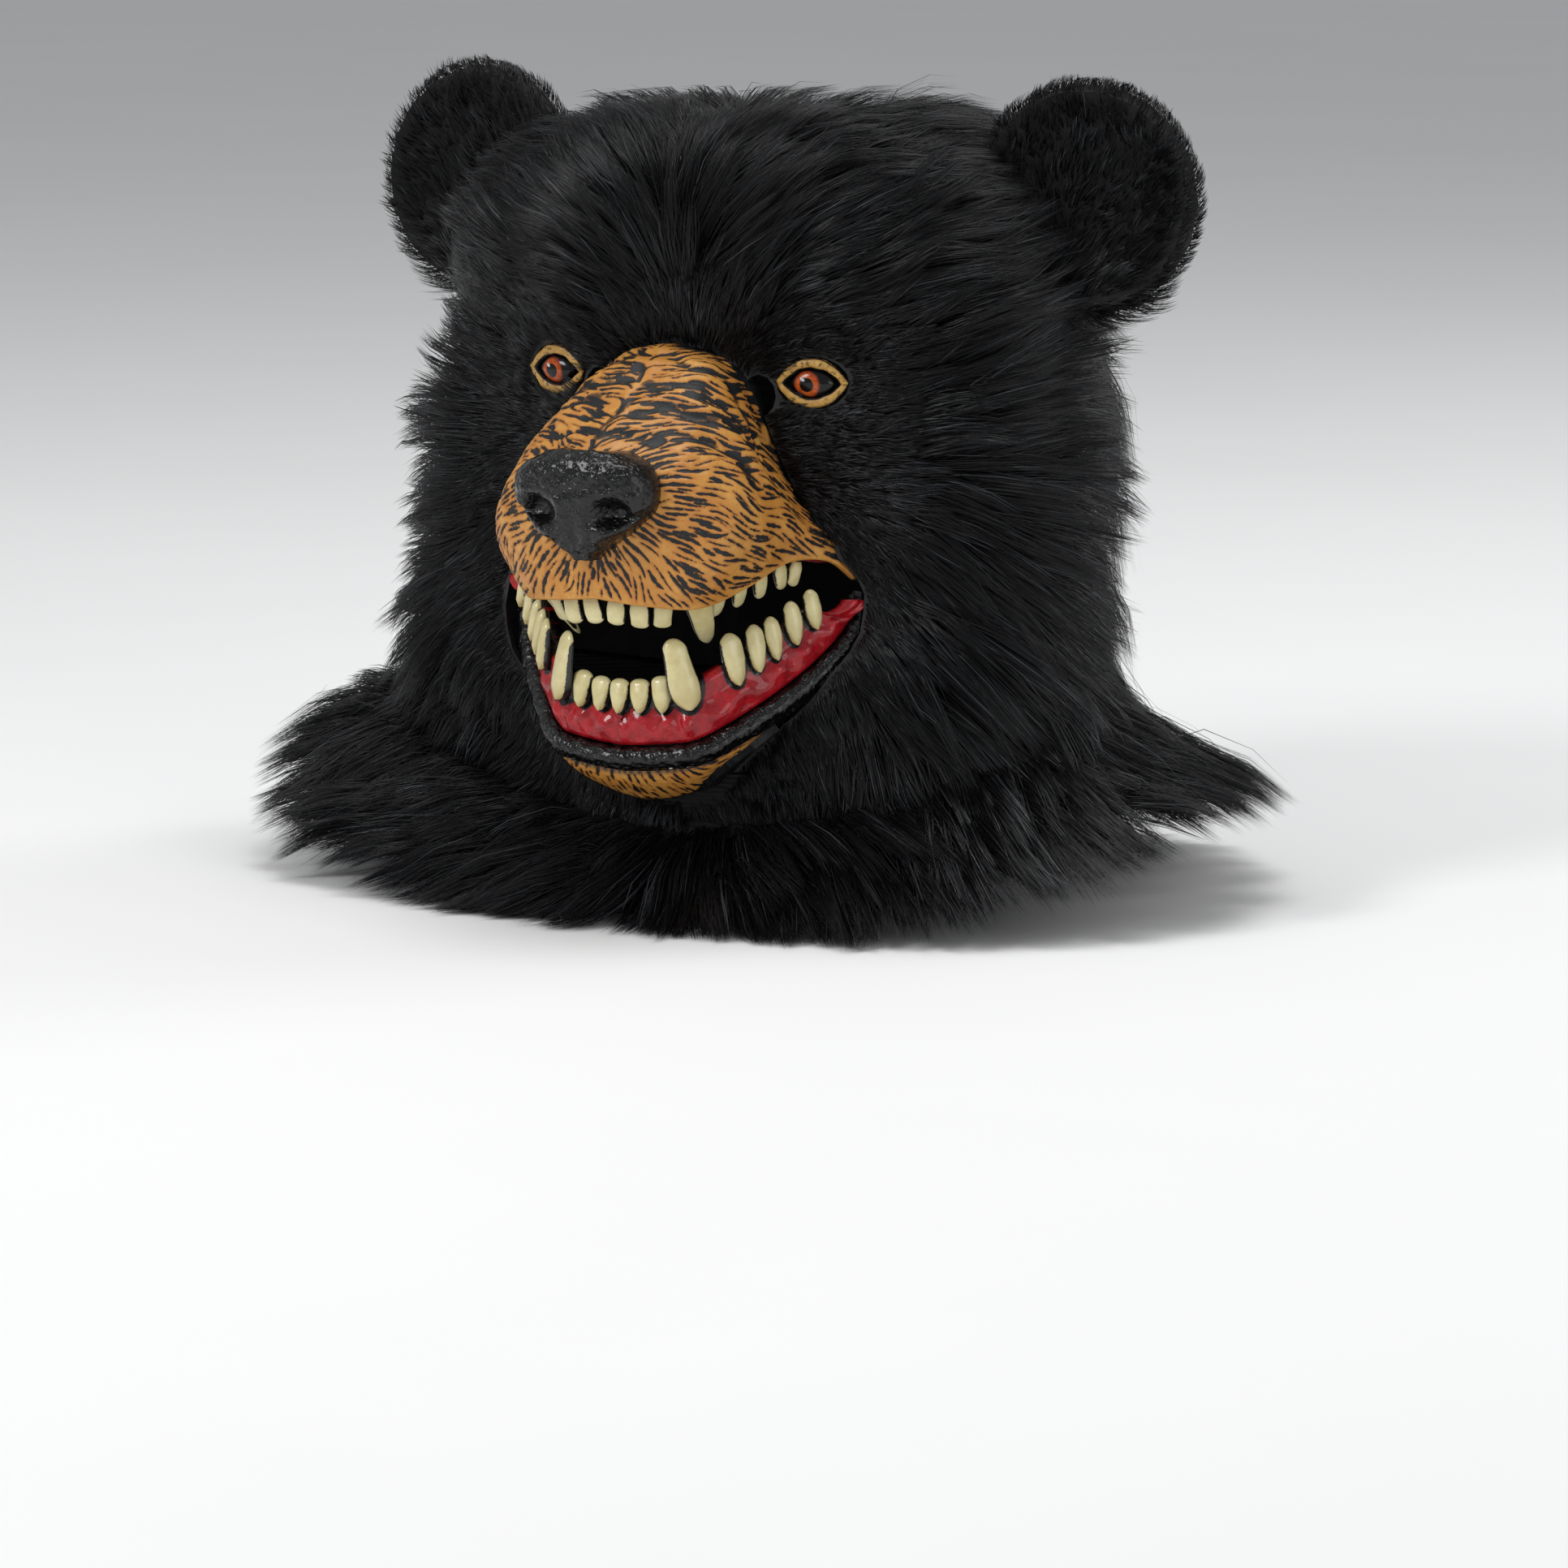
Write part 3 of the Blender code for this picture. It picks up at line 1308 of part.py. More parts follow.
clear_scene()
LOCK_VARIATION = np.random.default_rng(SEED).uniform(LOCK_SHORTEST, LOCK_LONGEST, (LOCK_ROWS, AROUND))

black_latex = material("black latex", (0.012, 0.012, 0.013), 0.6)
black_cloth = material("black knit backing", (0.010, 0.010, 0.011), 0.9)
black_fur = material("black plush pile", (0.008, 0.009, 0.010), 0.55)
tan_latex = material("tan painted latex", (0.58, 0.26, 0.06), 0.45)
nose_black = material("glossy black latex", (0.010, 0.010, 0.011), 0.30, 0.4)
gum_red = material("glossy red latex", (0.42, 0.02, 0.03), 0.25, 0.5)
tooth_cream = material("cream tooth resin", (0.68, 0.58, 0.32), 0.35, 0.2)
lid_ochre = material("ochre painted latex", (0.48, 0.27, 0.07), 0.50)
eye_paint = material("glossy painted eye", (0.50, 0.13, 0.02), 0.10, 0.8)

make_latex_head(black_latex)
hood_fur = make_hood_fur(black_fur)
cut_face(hood_fur, "fur", FACE_CLEARANCE * 2)
make_skirt_backing(black_cloth)
make_skirt_fur(black_fur)
make_ears(black_fur, hood_fur)
make_muzzle(tan_latex)
make_nose(nose_black)
make_chin(tan_latex)
make_lower_lip(nose_black)
make_upper_gum(gum_red)
make_lower_gum(gum_red)
make_upper_teeth(tooth_cream)
make_lower_teeth(tooth_cream)
for eye_side, eye_word in SIDES:
    make_eye(eye_side, eye_word, lid_ochre, eye_paint)
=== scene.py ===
"""A black bear mask, dressed for its photograph: painted latex snout, teeth, eyes and combed plush.

It repeats the forms of the mask's own solids, in metres. They are worked out in face coordinates, which
are (across, ahead, up) from the point midway between the eyes, and placed() turns them into world ones.
"""

import math

import bmesh
import bpy
import numpy as np
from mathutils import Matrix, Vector
from mathutils.kdtree import KDTree


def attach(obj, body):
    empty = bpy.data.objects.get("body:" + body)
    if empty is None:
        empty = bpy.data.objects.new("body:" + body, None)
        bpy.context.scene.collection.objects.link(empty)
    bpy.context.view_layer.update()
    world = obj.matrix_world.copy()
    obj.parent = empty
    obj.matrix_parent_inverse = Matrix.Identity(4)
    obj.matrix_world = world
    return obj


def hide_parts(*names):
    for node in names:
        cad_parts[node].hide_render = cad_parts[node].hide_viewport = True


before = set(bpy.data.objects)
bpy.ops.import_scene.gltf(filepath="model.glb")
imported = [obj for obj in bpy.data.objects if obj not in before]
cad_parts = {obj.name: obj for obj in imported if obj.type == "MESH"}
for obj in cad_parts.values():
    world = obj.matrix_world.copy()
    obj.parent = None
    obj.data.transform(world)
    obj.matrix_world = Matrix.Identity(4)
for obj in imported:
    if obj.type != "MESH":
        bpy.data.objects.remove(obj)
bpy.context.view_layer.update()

# Walls and clearances, in metres
GAP = 0.0003
SEAT_GAP = 0.0008
FACE_CLEARANCE = 0.0005
LATEX = 0.0025
CLOTH = 0.0015

# The hood, without its fur
HEAD_WIDTH = 0.244
HEAD_FRONT = 0.076
HEAD_BACK = 0.131
HEAD_HEIGHT = 0.204
FACE_SQUARENESS = 2.3
NAPE_SQUARENESS = 2.0
CROWN_SHARE = 0.4314
CROWN_ABOVE_EYES = HEAD_HEIGHT * CROWN_SHARE
WIDEST_BEHIND_EYES = 0.060

# The ruff, without its fur
SKIRT_WIDTH = 0.344
SKIRT_FRONT = 0.106
SKIRT_BACK = 0.146
SKIRT_DROP_FRONT = 0.030
SKIRT_DROP_SIDE = 0.034
SKIRT_DROP_BACK = 0.050

# The fur
PILE_LONG = 0.024
PILE_CROWN = 0.016
PILE_FACE = 0.004
SHORT_FUR_RING = 0.045
LOCK_LEAN = 1.3
LOCK_ROOT = 0.6
SEAM_PILE = 0.5
HOOD_SEAM_LEAN = 0.15
SKIRT_SEAM_LEAN = 0.5

# The snout, from the upper lip to the bridge. Its height is a share of the hood's.
MUZZLE_WIDTH = 0.143
MUZZLE_REACH = 0.072
MUZZLE_SHARE = 0.4314
MUZZLE_HEIGHT = HEAD_HEIGHT * MUZZLE_SHARE
BRIDGE_ABOVE_EYES = 0.012
COLLAR = 0.006
SNOUT_MIDDLE = 0.6

# The nose
NOSE_WIDTH = 0.057
NOSE_HEIGHT = 0.0415
NOSE_AHEAD = 0.0745
NOSE_BULGE = 0.014
NOSE_TOP_SHARE = 0.2386
NOSE_TOP_BELOW_EYES = MUZZLE_HEIGHT * NOSE_TOP_SHARE
NOSE_ROUNDING = 0.77
NOSTRIL = 0.0052
NOSTRIL_SPACING = 0.030
NOSTRIL_BELOW_TOP = 0.5
NOSTRIL_RADII = (1.2, 1.3, 0.8)

# The open jaw, whose opening and chin are shares of the hood's height
JAW_SHARE = 0.2941
JAW_OPEN = HEAD_HEIGHT * JAW_SHARE
LIP_RADIUS = 0.0043
CHIN_SHARE = 0.0686
CHIN_DROP = HEAD_HEIGHT * CHIN_SHARE
CHIN_SET_BACK = 0.019
GUM_THICKNESS = 0.0070
LOWER_GUM_HEIGHT = 0.0205
TOOTH_THICKNESS = 0.0046

# The eyes and the gaps that the wearer sees through
EYE_SPACING = 0.108
EYE_WIDTH = 0.026
EYE_HEIGHT = 0.019
EYELID_RADIUS = 0.0019
EYE_BULGE = 0.0036
SIGHT_SPACING = 0.0675
SIGHT_BELOW_EYES = 0.0055
SIGHT_WIDTH = 0.0125
SIGHT_HEIGHT = 0.0150

# The ears
EAR_RADIUS = 0.0435
EAR_THICKNESS = 0.015
EAR_CUP = 0.009
EAR_SPACING = 0.260
EAR_BEHIND_EYES = 0.0735
EAR_HEIGHT_SHARE = 0.3186
EAR_ABOVE_EYES = HEAD_HEIGHT * EAR_HEIGHT_SHARE
EAR_FACING = (0.12, 0.99, 0.06)

# How finely the forms are cut, and where on the ruff its first ring lies, just clear of the hood
AROUND = 36
SKIRT_BANDS = 3
SKIRT_START = 0.03
EDGE_SAMPLES = 400
EYE_SIDES = 16
EYELID_SIDES = 6
SIGHT_SIDES = 12
EAR_SIDES = 18
NOSE_SIDES = 14
TOOTH_SIDES = 6

# The fur's lie. It runs away from a place inside the snout, given as shares of MUZZLE_REACH and
# MUZZLE_HEIGHT, and turns downhill behind the ears and on the neck. Its depth changes over these shares
# of the crown's height, and near the seam over this many rings.
FLOW_AHEAD = 0.6
FLOW_BELOW = 0.3
NAPE_FROM = 0.6
NECK_FROM = 0.45
NECK_OVER = 0.3
NECK_DOWNHILL = 0.8
CROWN_FROM = 0.3
CROWN_OVER = 0.5
EYE_CLEAR = 0.6
FACE_DEPTH = 0.5
SEAM_RINGS = 2.2
SEAM_SHARE = 0.6

# The hood's rings, from the crown down to the neck seam. Half widths are shares of half the head's
# width. Front, back and the widest line are shares of HEAD_FRONT, HEAD_BACK and HEAD_FRONT, all
# measured from WIDEST_BEHIND_EYES. Drops are shares of HEAD_HEIGHT.
HALF, FRONT, BACK, WIDEST, DROP_FRONT, DROP_SIDE, DROP_BACK = range(7)
HEAD_RINGS = (
    (0.000, -0.330, 0.190, -0.330, 0.000, 0.000, 0.000),
    (0.430, 0.290, 0.550, -0.330, 0.007, 0.004, 0.015),
    (0.660, 0.684, 0.763, -0.240, 0.059, 0.034, 0.078),
    (0.800, 0.842, 0.870, -0.105, 0.160, 0.127, 0.186),
    (0.870, 0.908, 0.924, 0.000, 0.290, 0.265, 0.314),
    (0.910, 0.895, 0.947, 0.060, 0.425, 0.405, 0.441),
    (0.945, 0.895, 0.962, 0.120, 0.555, 0.535, 0.565),
    (0.975, 0.895, 0.947, 0.170, 0.690, 0.660, 0.690),
    (0.990, 0.880, 0.916, 0.190, 0.825, 0.780, 0.810),
    (1.000, 0.980, 0.885, 0.190, 0.970, 0.875, 0.915),
    (1.025, 0.970, 0.855, 0.150, 1.110, 0.945, 1.015),
    (1.070, 0.910, 0.850, 0.100, 1.245, 1.000, 1.115),
)
SEAM_RING = len(HEAD_RINGS) - 1

# How the forms round off, as powers: the neck's dip from its sides to its front, and the ruff's flare
# and fall from the seam to the hem
DIP_ROUNDING = 1.5
SKIRT_FLARE = 1.15
SKIRT_FALL = 0.90

# Swellings of the hood's face: across and below the eyes and spread as shares of half the head's
# width, and height as a share of the head's front. They fade out towards the temples.
FACE_SWELLINGS = (
    (0.38, -0.20, 0.16, 0.045),
    (0.42, 0.00, 0.11, -0.030),
    (0.74, 0.48, 0.24, 0.045),
    (0.53, 0.92, 0.20, 0.090),
)
FACE_EDGE = 0.5

# The upper lip's edge, from the middle back to the mouth's corner: shares of half MUZZLE_WIDTH,
# MUZZLE_REACH and MUZZLE_HEIGHT, the last measured down from the bridge.
ACROSS, AHEAD, DOWN = range(3)
LIP_EDGE = (
    (0.00, 0.972, 1.000),
    (0.28, 0.937, 1.023),
    (0.51, 0.780, 1.036),
    (0.65, 0.528, 0.966),
    (0.77, 0.292, 0.875),
    (0.89, 0.080, 0.880),
    (0.98, -0.030, 0.960),
)

# The ridge of the bridge, from the nose back to the brow, in the same shares.
BRIDGE_RIDGE = (
    (0.0, 1.09, 0.470),
    (0.0, 1.04, 0.390),
    (0.0, 0.91, 0.320),
    (0.0, 0.66, 0.190),
    (0.0, 0.45, 0.060),
    (0.0, 0.27, 0.000),
    (0.0, 0.11, 0.000),
)

# How the snout's side goes from the lip's edge up to the ridge, at its front and at its base.
# BASE_FROM and BASE_OVER are where along the lip the base's form starts, and over how much it comes in.
FRONT_ACROSS, FRONT_UP, BASE_ACROSS, BASE_UP = range(4)
ARCH = (
    (1.00, 0.000, 1.00, 0.00),
    (1.18, 0.140, 0.93, 0.14),
    (1.30, 0.330, 0.78, 0.27),
    (1.27, 0.530, 0.64, 0.44),
    (1.07, 0.720, 0.53, 0.66),
    (0.74, 0.870, 0.42, 0.86),
    (0.36, 0.960, 0.25, 0.97),
    (0.00, 1.000, 0.00, 1.00),
)
BASE_FROM = 0.25
BASE_OVER = 0.70

# The lower lip's line, from the middle back to the corner: shares of half MUZZLE_WIDTH, MUZZLE_REACH
# and JAW_OPEN, the last measured down from the corner.
JAW_LINE = (
    (0.000, 0.694, 1.000),
    (0.253, 0.660, 0.976),
    (0.450, 0.583, 0.920),
    (0.707, 0.310, 0.681),
    (0.880, 0.115, 0.458),
    (0.985, -0.030, 0.234),
    (0.985, -0.080, 0.000),
)

# The chin, from under the lip down: how far along the lip it runs to each side, how far down each of
# its rows lies, and how its fall shrinks towards its ends
CHIN_END = 0.48
CHIN_STEPS = 13
CHIN_ROWS = (0.0, 0.35, 0.7, 1.0)
CHIN_TAPER = 0.88
CHIN_ROUNDING = 1.8

# The teeth: place across as a share of half MUZZLE_WIDTH, then length and width in metres.
UPPER_TEETH = (
    (0.073, 0.0104, 0.0080),
    (0.228, 0.0104, 0.0080),
    (0.362, 0.0106, 0.0076),
    (0.528, 0.0262, 0.0108),
    (0.607, 0.0150, 0.0070),
    (0.665, 0.0140, 0.0066),
    (0.717, 0.0125, 0.0062),
    (0.767, 0.0110, 0.0060),
    (0.818, 0.0095, 0.0056),
)
LOWER_TEETH = (
    (0.000, 0.0128, 0.0081),
    (0.131, 0.0128, 0.0084),
    (0.263, 0.0138, 0.0088),
    (0.440, 0.0275, 0.0130),
    (0.632, 0.0200, 0.0094),
    (0.710, 0.0180, 0.0078),
    (0.782, 0.0165, 0.0070),
    (0.856, 0.0165, 0.0074),
    (0.925, 0.0150, 0.0070),
)

# The lower teeth stand between square to the gum, at 1, and upright, at 0. Their roots start at this
# share of the gum's height. The gum gets lower by its taper towards the mouth's corners, and past its
# end place it runs out to the end share.
TOOTH_LEAN = 0.25
ROOT_SHARE = 0.60
GUM_TAPER = 0.25
GUM_END = 0.70
GUM_END_SHARE = 0.15

# The upper gum's rows, as shares of the snout grid's first row, and how far in the upper teeth stand, as
# a share of the gum's thickness
UPPER_GUM_ROWS = (0.0, 0.4, 0.8)
UPPER_GUM_LIFTS = (-LATEX - SEAT_GAP, -LATEX - GAP - GUM_THICKNESS)
UPPER_TOOTH_INSET = 0.55

# An ear's rings from its cupped front round its rim to its back: shares of its radius, of half its
# thickness and of its cup. Its hollow and its back bulge by these shares of the cup.
EAR_RINGS = (
    (0.45, 1.0, 1.00),
    (0.80, 1.0, 0.35),
    (0.94, 1.0, 0.00),
    (1.00, 0.0, 0.00),
    (0.90, -1.0, 0.00),
    (0.50, -1.0, 0.50),
)
EAR_HOLLOW = 1.1
EAR_BACK_BULGE = 0.7

# An eyeball's rings from its front to its back: shares of its width and of its bulge
EYEBALL_RINGS = (
    (0.35, 0.94),
    (0.70, 0.71),
    (0.93, 0.37),
    (1.00, 0.00),
    (0.93, -0.37),
    (0.70, -0.71),
)

# A tooth's outline from root to tip: shares of its length, width and thickness.
TOOTH_RINGS = (
    (0.00, 0.66, 0.66),
    (0.30, 1.00, 1.00),
    (0.62, 0.88, 0.84),
    (0.90, 0.54, 0.55),
)
TOOTH_TIP_AHEAD = 0.15

# The nose pad from its top down: shares of NOSE_HEIGHT, half NOSE_WIDTH and NOSE_BULGE.
NOSE_RINGS = (
    (0.00, 0.66, 0.52),
    (0.08, 0.90, 0.84),
    (0.30, 1.00, 1.00),
    (0.52, 0.95, 0.98),
    (0.72, 0.66, 0.84),
    (0.90, 0.32, 0.62),
    (1.00, 0.16, 0.42),
)

# Where the snout's grid has its columns, from the middle to the corner, and its rows, from the lip up
MUZZLE_TURNS = np.array((0.0, 0.08, 0.17, 0.28, 0.40, 0.54, 0.69, 0.84, 1.0))
MUZZLE_RISES = np.linspace(0.0, 1.0, 9)

# The lower lip's rings and sides
LIP_RINGS = 23
LIP_SIDES = 8

# The locks' lengths vary by this much, in this many rows before they repeat, always the same way
LOCK_SHORTEST = 0.82
LOCK_LONGEST = 1.16
LOCK_ROWS = 7
SEED = 7

SIDES = ((-1, "right"), (1, "left"))

# The floor just under the ruff's hem
FLOOR_UP = -0.2840

# The snout's mesh, and its creases: ahead, slope, bend and reach as shares of its own sizes, and width
SNOUT_COLUMNS = 180
SNOUT_ROWS = 140
SNOUT_FOLDS = (
    (0.36, -0.10, 0.60, 0.55, 0.0030),
    (0.54, -0.06, 0.70, 0.75, 0.0028),
    (0.70, 0.05, 0.75, 0.80, 0.0032),
    (0.90, 0.15, 0.70, 0.75, 0.0026),
)

# The teeth's outlines from root to tip: shares of the length and of the width
INCISOR_BELOW = ((0.0, 0.34), (0.2, 0.66), (0.45, 0.92), (0.75, 1.04), (1.0, 0.92))
CHEEK_BELOW = ((0.0, 0.40), (0.2, 0.78), (0.5, 1.04), (0.8, 0.94), (1.0, 0.60))
CANINE_BELOW = ((0.0, 0.50), (0.14, 0.88), (0.36, 1.04), (0.7, 0.84), (1.0, 0.62))
INCISOR_ABOVE = ((0.0, 0.88), (0.3, 1.0), (0.7, 0.98), (1.0, 0.86))
CHEEK_ABOVE = ((0.0, 0.80), (0.3, 1.0), (0.7, 0.92), (1.0, 0.66))
CANINE_ABOVE = ((0.0, 1.0), (0.3, 0.98), (0.6, 0.86), (0.85, 0.58), (1.0, 0.36))
CANINE_LEANS = {"lower": 0.14, "upper": -0.16}
TOOTH_FILL = 0.95
ALMOND = 1.45
IRIS_ASIDE = {"left": -1.6, "right": -1.0}

# The studio's lamps: name, place, size across in metres, and power in watts
STUDIO_LIGHTS = (
    ("key softbox", (-1.0, -2.0, 1.4), 0.9, 28.0),
    ("fill softbox", (2.3, -1.2, 0.5), 1.4, 10.0),
    ("top softbox", (0.1, 0.1, 1.9), 1.2, 20.0),
    ("rim softbox", (1.4, 1.8, 0.9), 1.1, 14.0),
)


def placed(points):
    """World coordinates of points given as (across, ahead, up) from midway between the eyes."""
    points = np.asarray(points, float)
    seat_up = CROWN_ABOVE_EYES - LATEX
    return np.stack(
        (
            points[..., 0],
            -(points[..., 1] + WIDEST_BEHIND_EYES),
            points[..., 2] - seat_up,
        ),
        axis=-1,
    )


def smoothstep(value):
    value = np.clip(value, 0.0, 1.0)
    return value * value * (3.0 - 2.0 * value)


def between_rows(table, place):
    """The table's row at a place that may lie between two rows, on a smooth curve through them."""
    table = np.asarray(table, float)
    place = np.clip(np.asarray(place, float), 0.0, len(table) - 1.0)
    low = np.minimum(place.astype(int), len(table) - 2)
    part = (place - low)[..., None]
    before = table[np.maximum(low - 1, 0)]
    first = table[low]
    second = table[low + 1]
    after = table[np.minimum(low + 2, len(table) - 1)]
    start_slope = (second - before) / 2
    end_slope = (after - first) / 2
    cubic = 2 * first - 2 * second + start_slope + end_slope
    square = 3 * (second - first) - 2 * start_slope - end_slope
    return first + part * (start_slope + part * (square + part * cubic))


def squared_wave(value, fore):
    """A sine or cosine pulled towards a rounded square, more on the face than on the nape."""
    power = np.where(fore > 0, FACE_SQUARENESS, NAPE_SQUARENESS)
    return np.sign(value) * np.abs(value) ** (2 / power)


def head_form(angle, ring):
    """The hood's smooth outside at an angle from the front towards +X and a place among the rings."""
    row = between_rows(HEAD_RINGS, ring)
    side = np.sin(angle)
    fore = np.cos(angle)
    half = HEAD_WIDTH / 2
    across = row[..., HALF] * half * squared_wave(side, fore)
    widest = row[..., WIDEST] * HEAD_FRONT
    to_front = row[..., FRONT] * HEAD_FRONT - widest
    to_back = row[..., BACK] * HEAD_BACK + widest
    reach = np.where(fore > 0, to_front, to_back)
    ahead = widest + reach * squared_wave(fore, fore) - WIDEST_BEHIND_EYES
    end_drop = np.where(fore > 0, row[..., DROP_FRONT], row[..., DROP_BACK])
    drop = row[..., DROP_SIDE] + (end_drop - row[..., DROP_SIDE]) * np.abs(fore) ** DIP_ROUNDING
    up = CROWN_ABOVE_EYES - drop * HEAD_HEIGHT
    swelling = np.zeros_like(across)
    for place, below, spread, height in FACE_SWELLINGS:
        off = ((np.abs(across) - place * half) ** 2 + (up + below * half) ** 2) / (spread * half) ** 2
        swelling = swelling + height * HEAD_FRONT * np.exp(-off)
    ahead = ahead + swelling * smoothstep(fore / FACE_EDGE)
    return np.stack((across, ahead, up), axis=-1)


def skirt_form(angle, share):
    """The ruff's smooth outside from the neck seam, where share is 0, to the hem, where it is 1."""
    seam = head_form(angle, np.full_like(angle, SEAM_RING))
    side = np.sin(angle)
    fore = np.cos(angle)
    across = SKIRT_WIDTH / 2 * squared_wave(side, fore)
    reach = np.where(fore > 0, SKIRT_FRONT, SKIRT_BACK)
    ahead = reach * squared_wave(fore, fore) - WIDEST_BEHIND_EYES
    end_drop = np.where(fore > 0, SKIRT_DROP_FRONT, SKIRT_DROP_BACK)
    fall = SKIRT_DROP_SIDE + (end_drop - SKIRT_DROP_SIDE) * np.abs(fore) ** DIP_ROUNDING
    hem = np.stack((across, ahead, seam[..., 2] - fall), axis=-1)
    outward = np.asarray(share, float) ** SKIRT_FLARE
    downward = np.asarray(share, float) ** SKIRT_FALL
    blend = np.stack((outward, outward, downward), axis=-1)
    return seam + (hem - seam) * blend


def surface_normal(form, angle, place, low, high):
    """The unit outward normal of a form, from nearby points."""
    step = 1e-3
    upper = form(angle, np.maximum(place - step, low))
    lower = form(angle, np.minimum(place + step, high))
    round_left = form(angle - step, place)
    round_right = form(angle + step, place)
    normal = np.cross(upper - lower, round_right - round_left)
    return normal / np.maximum(np.linalg.norm(normal, axis=-1, keepdims=True), 1e-12)


def head_front_at(across, up):
    """How far ahead the hood's outside lies at a place on its face, and the normal there."""
    across = np.atleast_1d(np.asarray(across, float))
    up = np.atleast_1d(np.asarray(up, float))
    angles, rings = np.meshgrid(
        np.linspace(0.0, math.pi / 2, 91), np.linspace(0.3, SEAM_RING, 160), indexing="ij"
    )
    samples = head_form(angles, rings)
    angle = np.empty(len(across))
    ring = np.empty(len(across))
    for index, (x, z) in enumerate(zip(np.abs(across), up)):
        off = (samples[..., 0] - x) ** 2 + (samples[..., 2] - z) ** 2
        nearest = np.unravel_index(np.argmin(off), off.shape)
        angle[index] = angles[nearest]
        ring[index] = rings[nearest]
    step = 1e-4
    for _ in range(4):
        here = head_form(angle, ring)
        by_angle = (head_form(angle + step, ring) - here) / step
        by_ring = (head_form(angle, ring + step) - here) / step
        miss_across = np.abs(across) - here[:, 0]
        miss_up = up - here[:, 2]
        size = by_angle[:, 0] * by_ring[:, 2] - by_ring[:, 0] * by_angle[:, 2]
        angle = angle + (miss_across * by_ring[:, 2] - by_ring[:, 0] * miss_up) / size
        ring = ring + (by_angle[:, 0] * miss_up - miss_across * by_angle[:, 2]) / size
    found = head_form(angle, ring)
    normal = surface_normal(head_form, angle, ring, 0.0, SEAM_RING)
    normal[:, 0] *= np.where(across < 0, -1, 1)
    return found[:, 1], normal


def outset(outline, distance):
    """An outline that goes clockwise seen from the front, moved outwards by a distance."""
    outline = np.asarray(outline, float)
    along = np.roll(outline, -1, axis=0) - np.roll(outline, 1, axis=0)
    along = along / np.linalg.norm(along, axis=1, keepdims=True)
    outward = np.column_stack((-along[:, 1], along[:, 0]))
    return outline + outward * distance


def mirrored(half):
    """A whole clockwise outline from its +X half, which goes from the middle's top to its bottom."""
    half = np.asarray(half, float)
    other = half[::-1][1:-1] * np.array((-1.0, 1.0))
    return np.vstack((half, other))


def hood_pile(points):
    """The fur's depth on the hood: a velvet round the snout and eyes, deep on the sides and neck."""
    across = np.abs(points[..., 0])
    up = points[..., 2]
    jaw_low = corner_up() - JAW_OPEN - CHIN_DROP
    snout_middle = (BRIDGE_ABOVE_EYES + jaw_low) / 2
    snout_half = (BRIDGE_ABOVE_EYES - jaw_low) / 2
    snout = np.hypot(across / (MUZZLE_WIDTH / 2), (up - snout_middle) / snout_half) - 1
    eye = np.hypot(across - EYE_SPACING / 2, up) - EYE_WIDTH * EYE_CLEAR
    distance = np.minimum(snout * MUZZLE_WIDTH / 2, eye)
    distance = distance + np.maximum(-points[..., 1] - FACE_DEPTH * HEAD_FRONT, 0.0)
    crown = smoothstep((up / CROWN_ABOVE_EYES - CROWN_FROM) / CROWN_OVER)
    long = PILE_LONG + (PILE_CROWN - PILE_LONG) * crown
    return PILE_FACE + (long - PILE_FACE) * smoothstep(distance / SHORT_FUR_RING)


def corner_up():
    """The height at which the lower lip's roll starts, just under the upper lip's corner."""
    return BRIDGE_ABOVE_EYES - LIP_EDGE[-1][DOWN] * MUZZLE_HEIGHT - LIP_RADIUS - 2 * FACE_CLEARANCE


def muzzle_line(table, place):
    row = between_rows(table, place * (len(table) - 1))
    across = row[..., ACROSS] * MUZZLE_WIDTH / 2
    ahead = row[..., AHEAD] * MUZZLE_REACH
    up = BRIDGE_ABOVE_EYES - row[..., DOWN] * MUZZLE_HEIGHT
    return np.stack((across, ahead, up), axis=-1)


def muzzle_form(turn, rise):
    """The snout's outside. Turn goes from -1 at one mouth corner round to 1 at the other, and rise
    goes from 0 at the lip's edge to 1 on the ridge of the bridge."""
    place = np.abs(turn)
    lip = muzzle_line(LIP_EDGE, place)
    ridge = muzzle_line(BRIDGE_RIDGE, place)
    arch = between_rows(ARCH, rise * (len(ARCH) - 1))
    base = smoothstep((place - BASE_FROM) / BASE_OVER)
    out = arch[..., FRONT_ACROSS] + (arch[..., BASE_ACROSS] - arch[..., FRONT_ACROSS]) * base
    climb = arch[..., FRONT_UP] + (arch[..., BASE_UP] - arch[..., FRONT_UP]) * base
    across = lip[..., 0] * out * np.sign(turn)
    ahead = lip[..., 1] + (ridge[..., 1] - lip[..., 1]) * climb
    up = lip[..., 2] + (ridge[..., 2] - lip[..., 2]) * climb
    return np.stack((across, ahead, up), axis=-1)


def snout_middle():
    """A place inside the snout, from which its whole wall can be seen."""
    return np.array((0.0, 0.0, BRIDGE_ABOVE_EYES - MUZZLE_HEIGHT * SNOUT_MIDDLE))


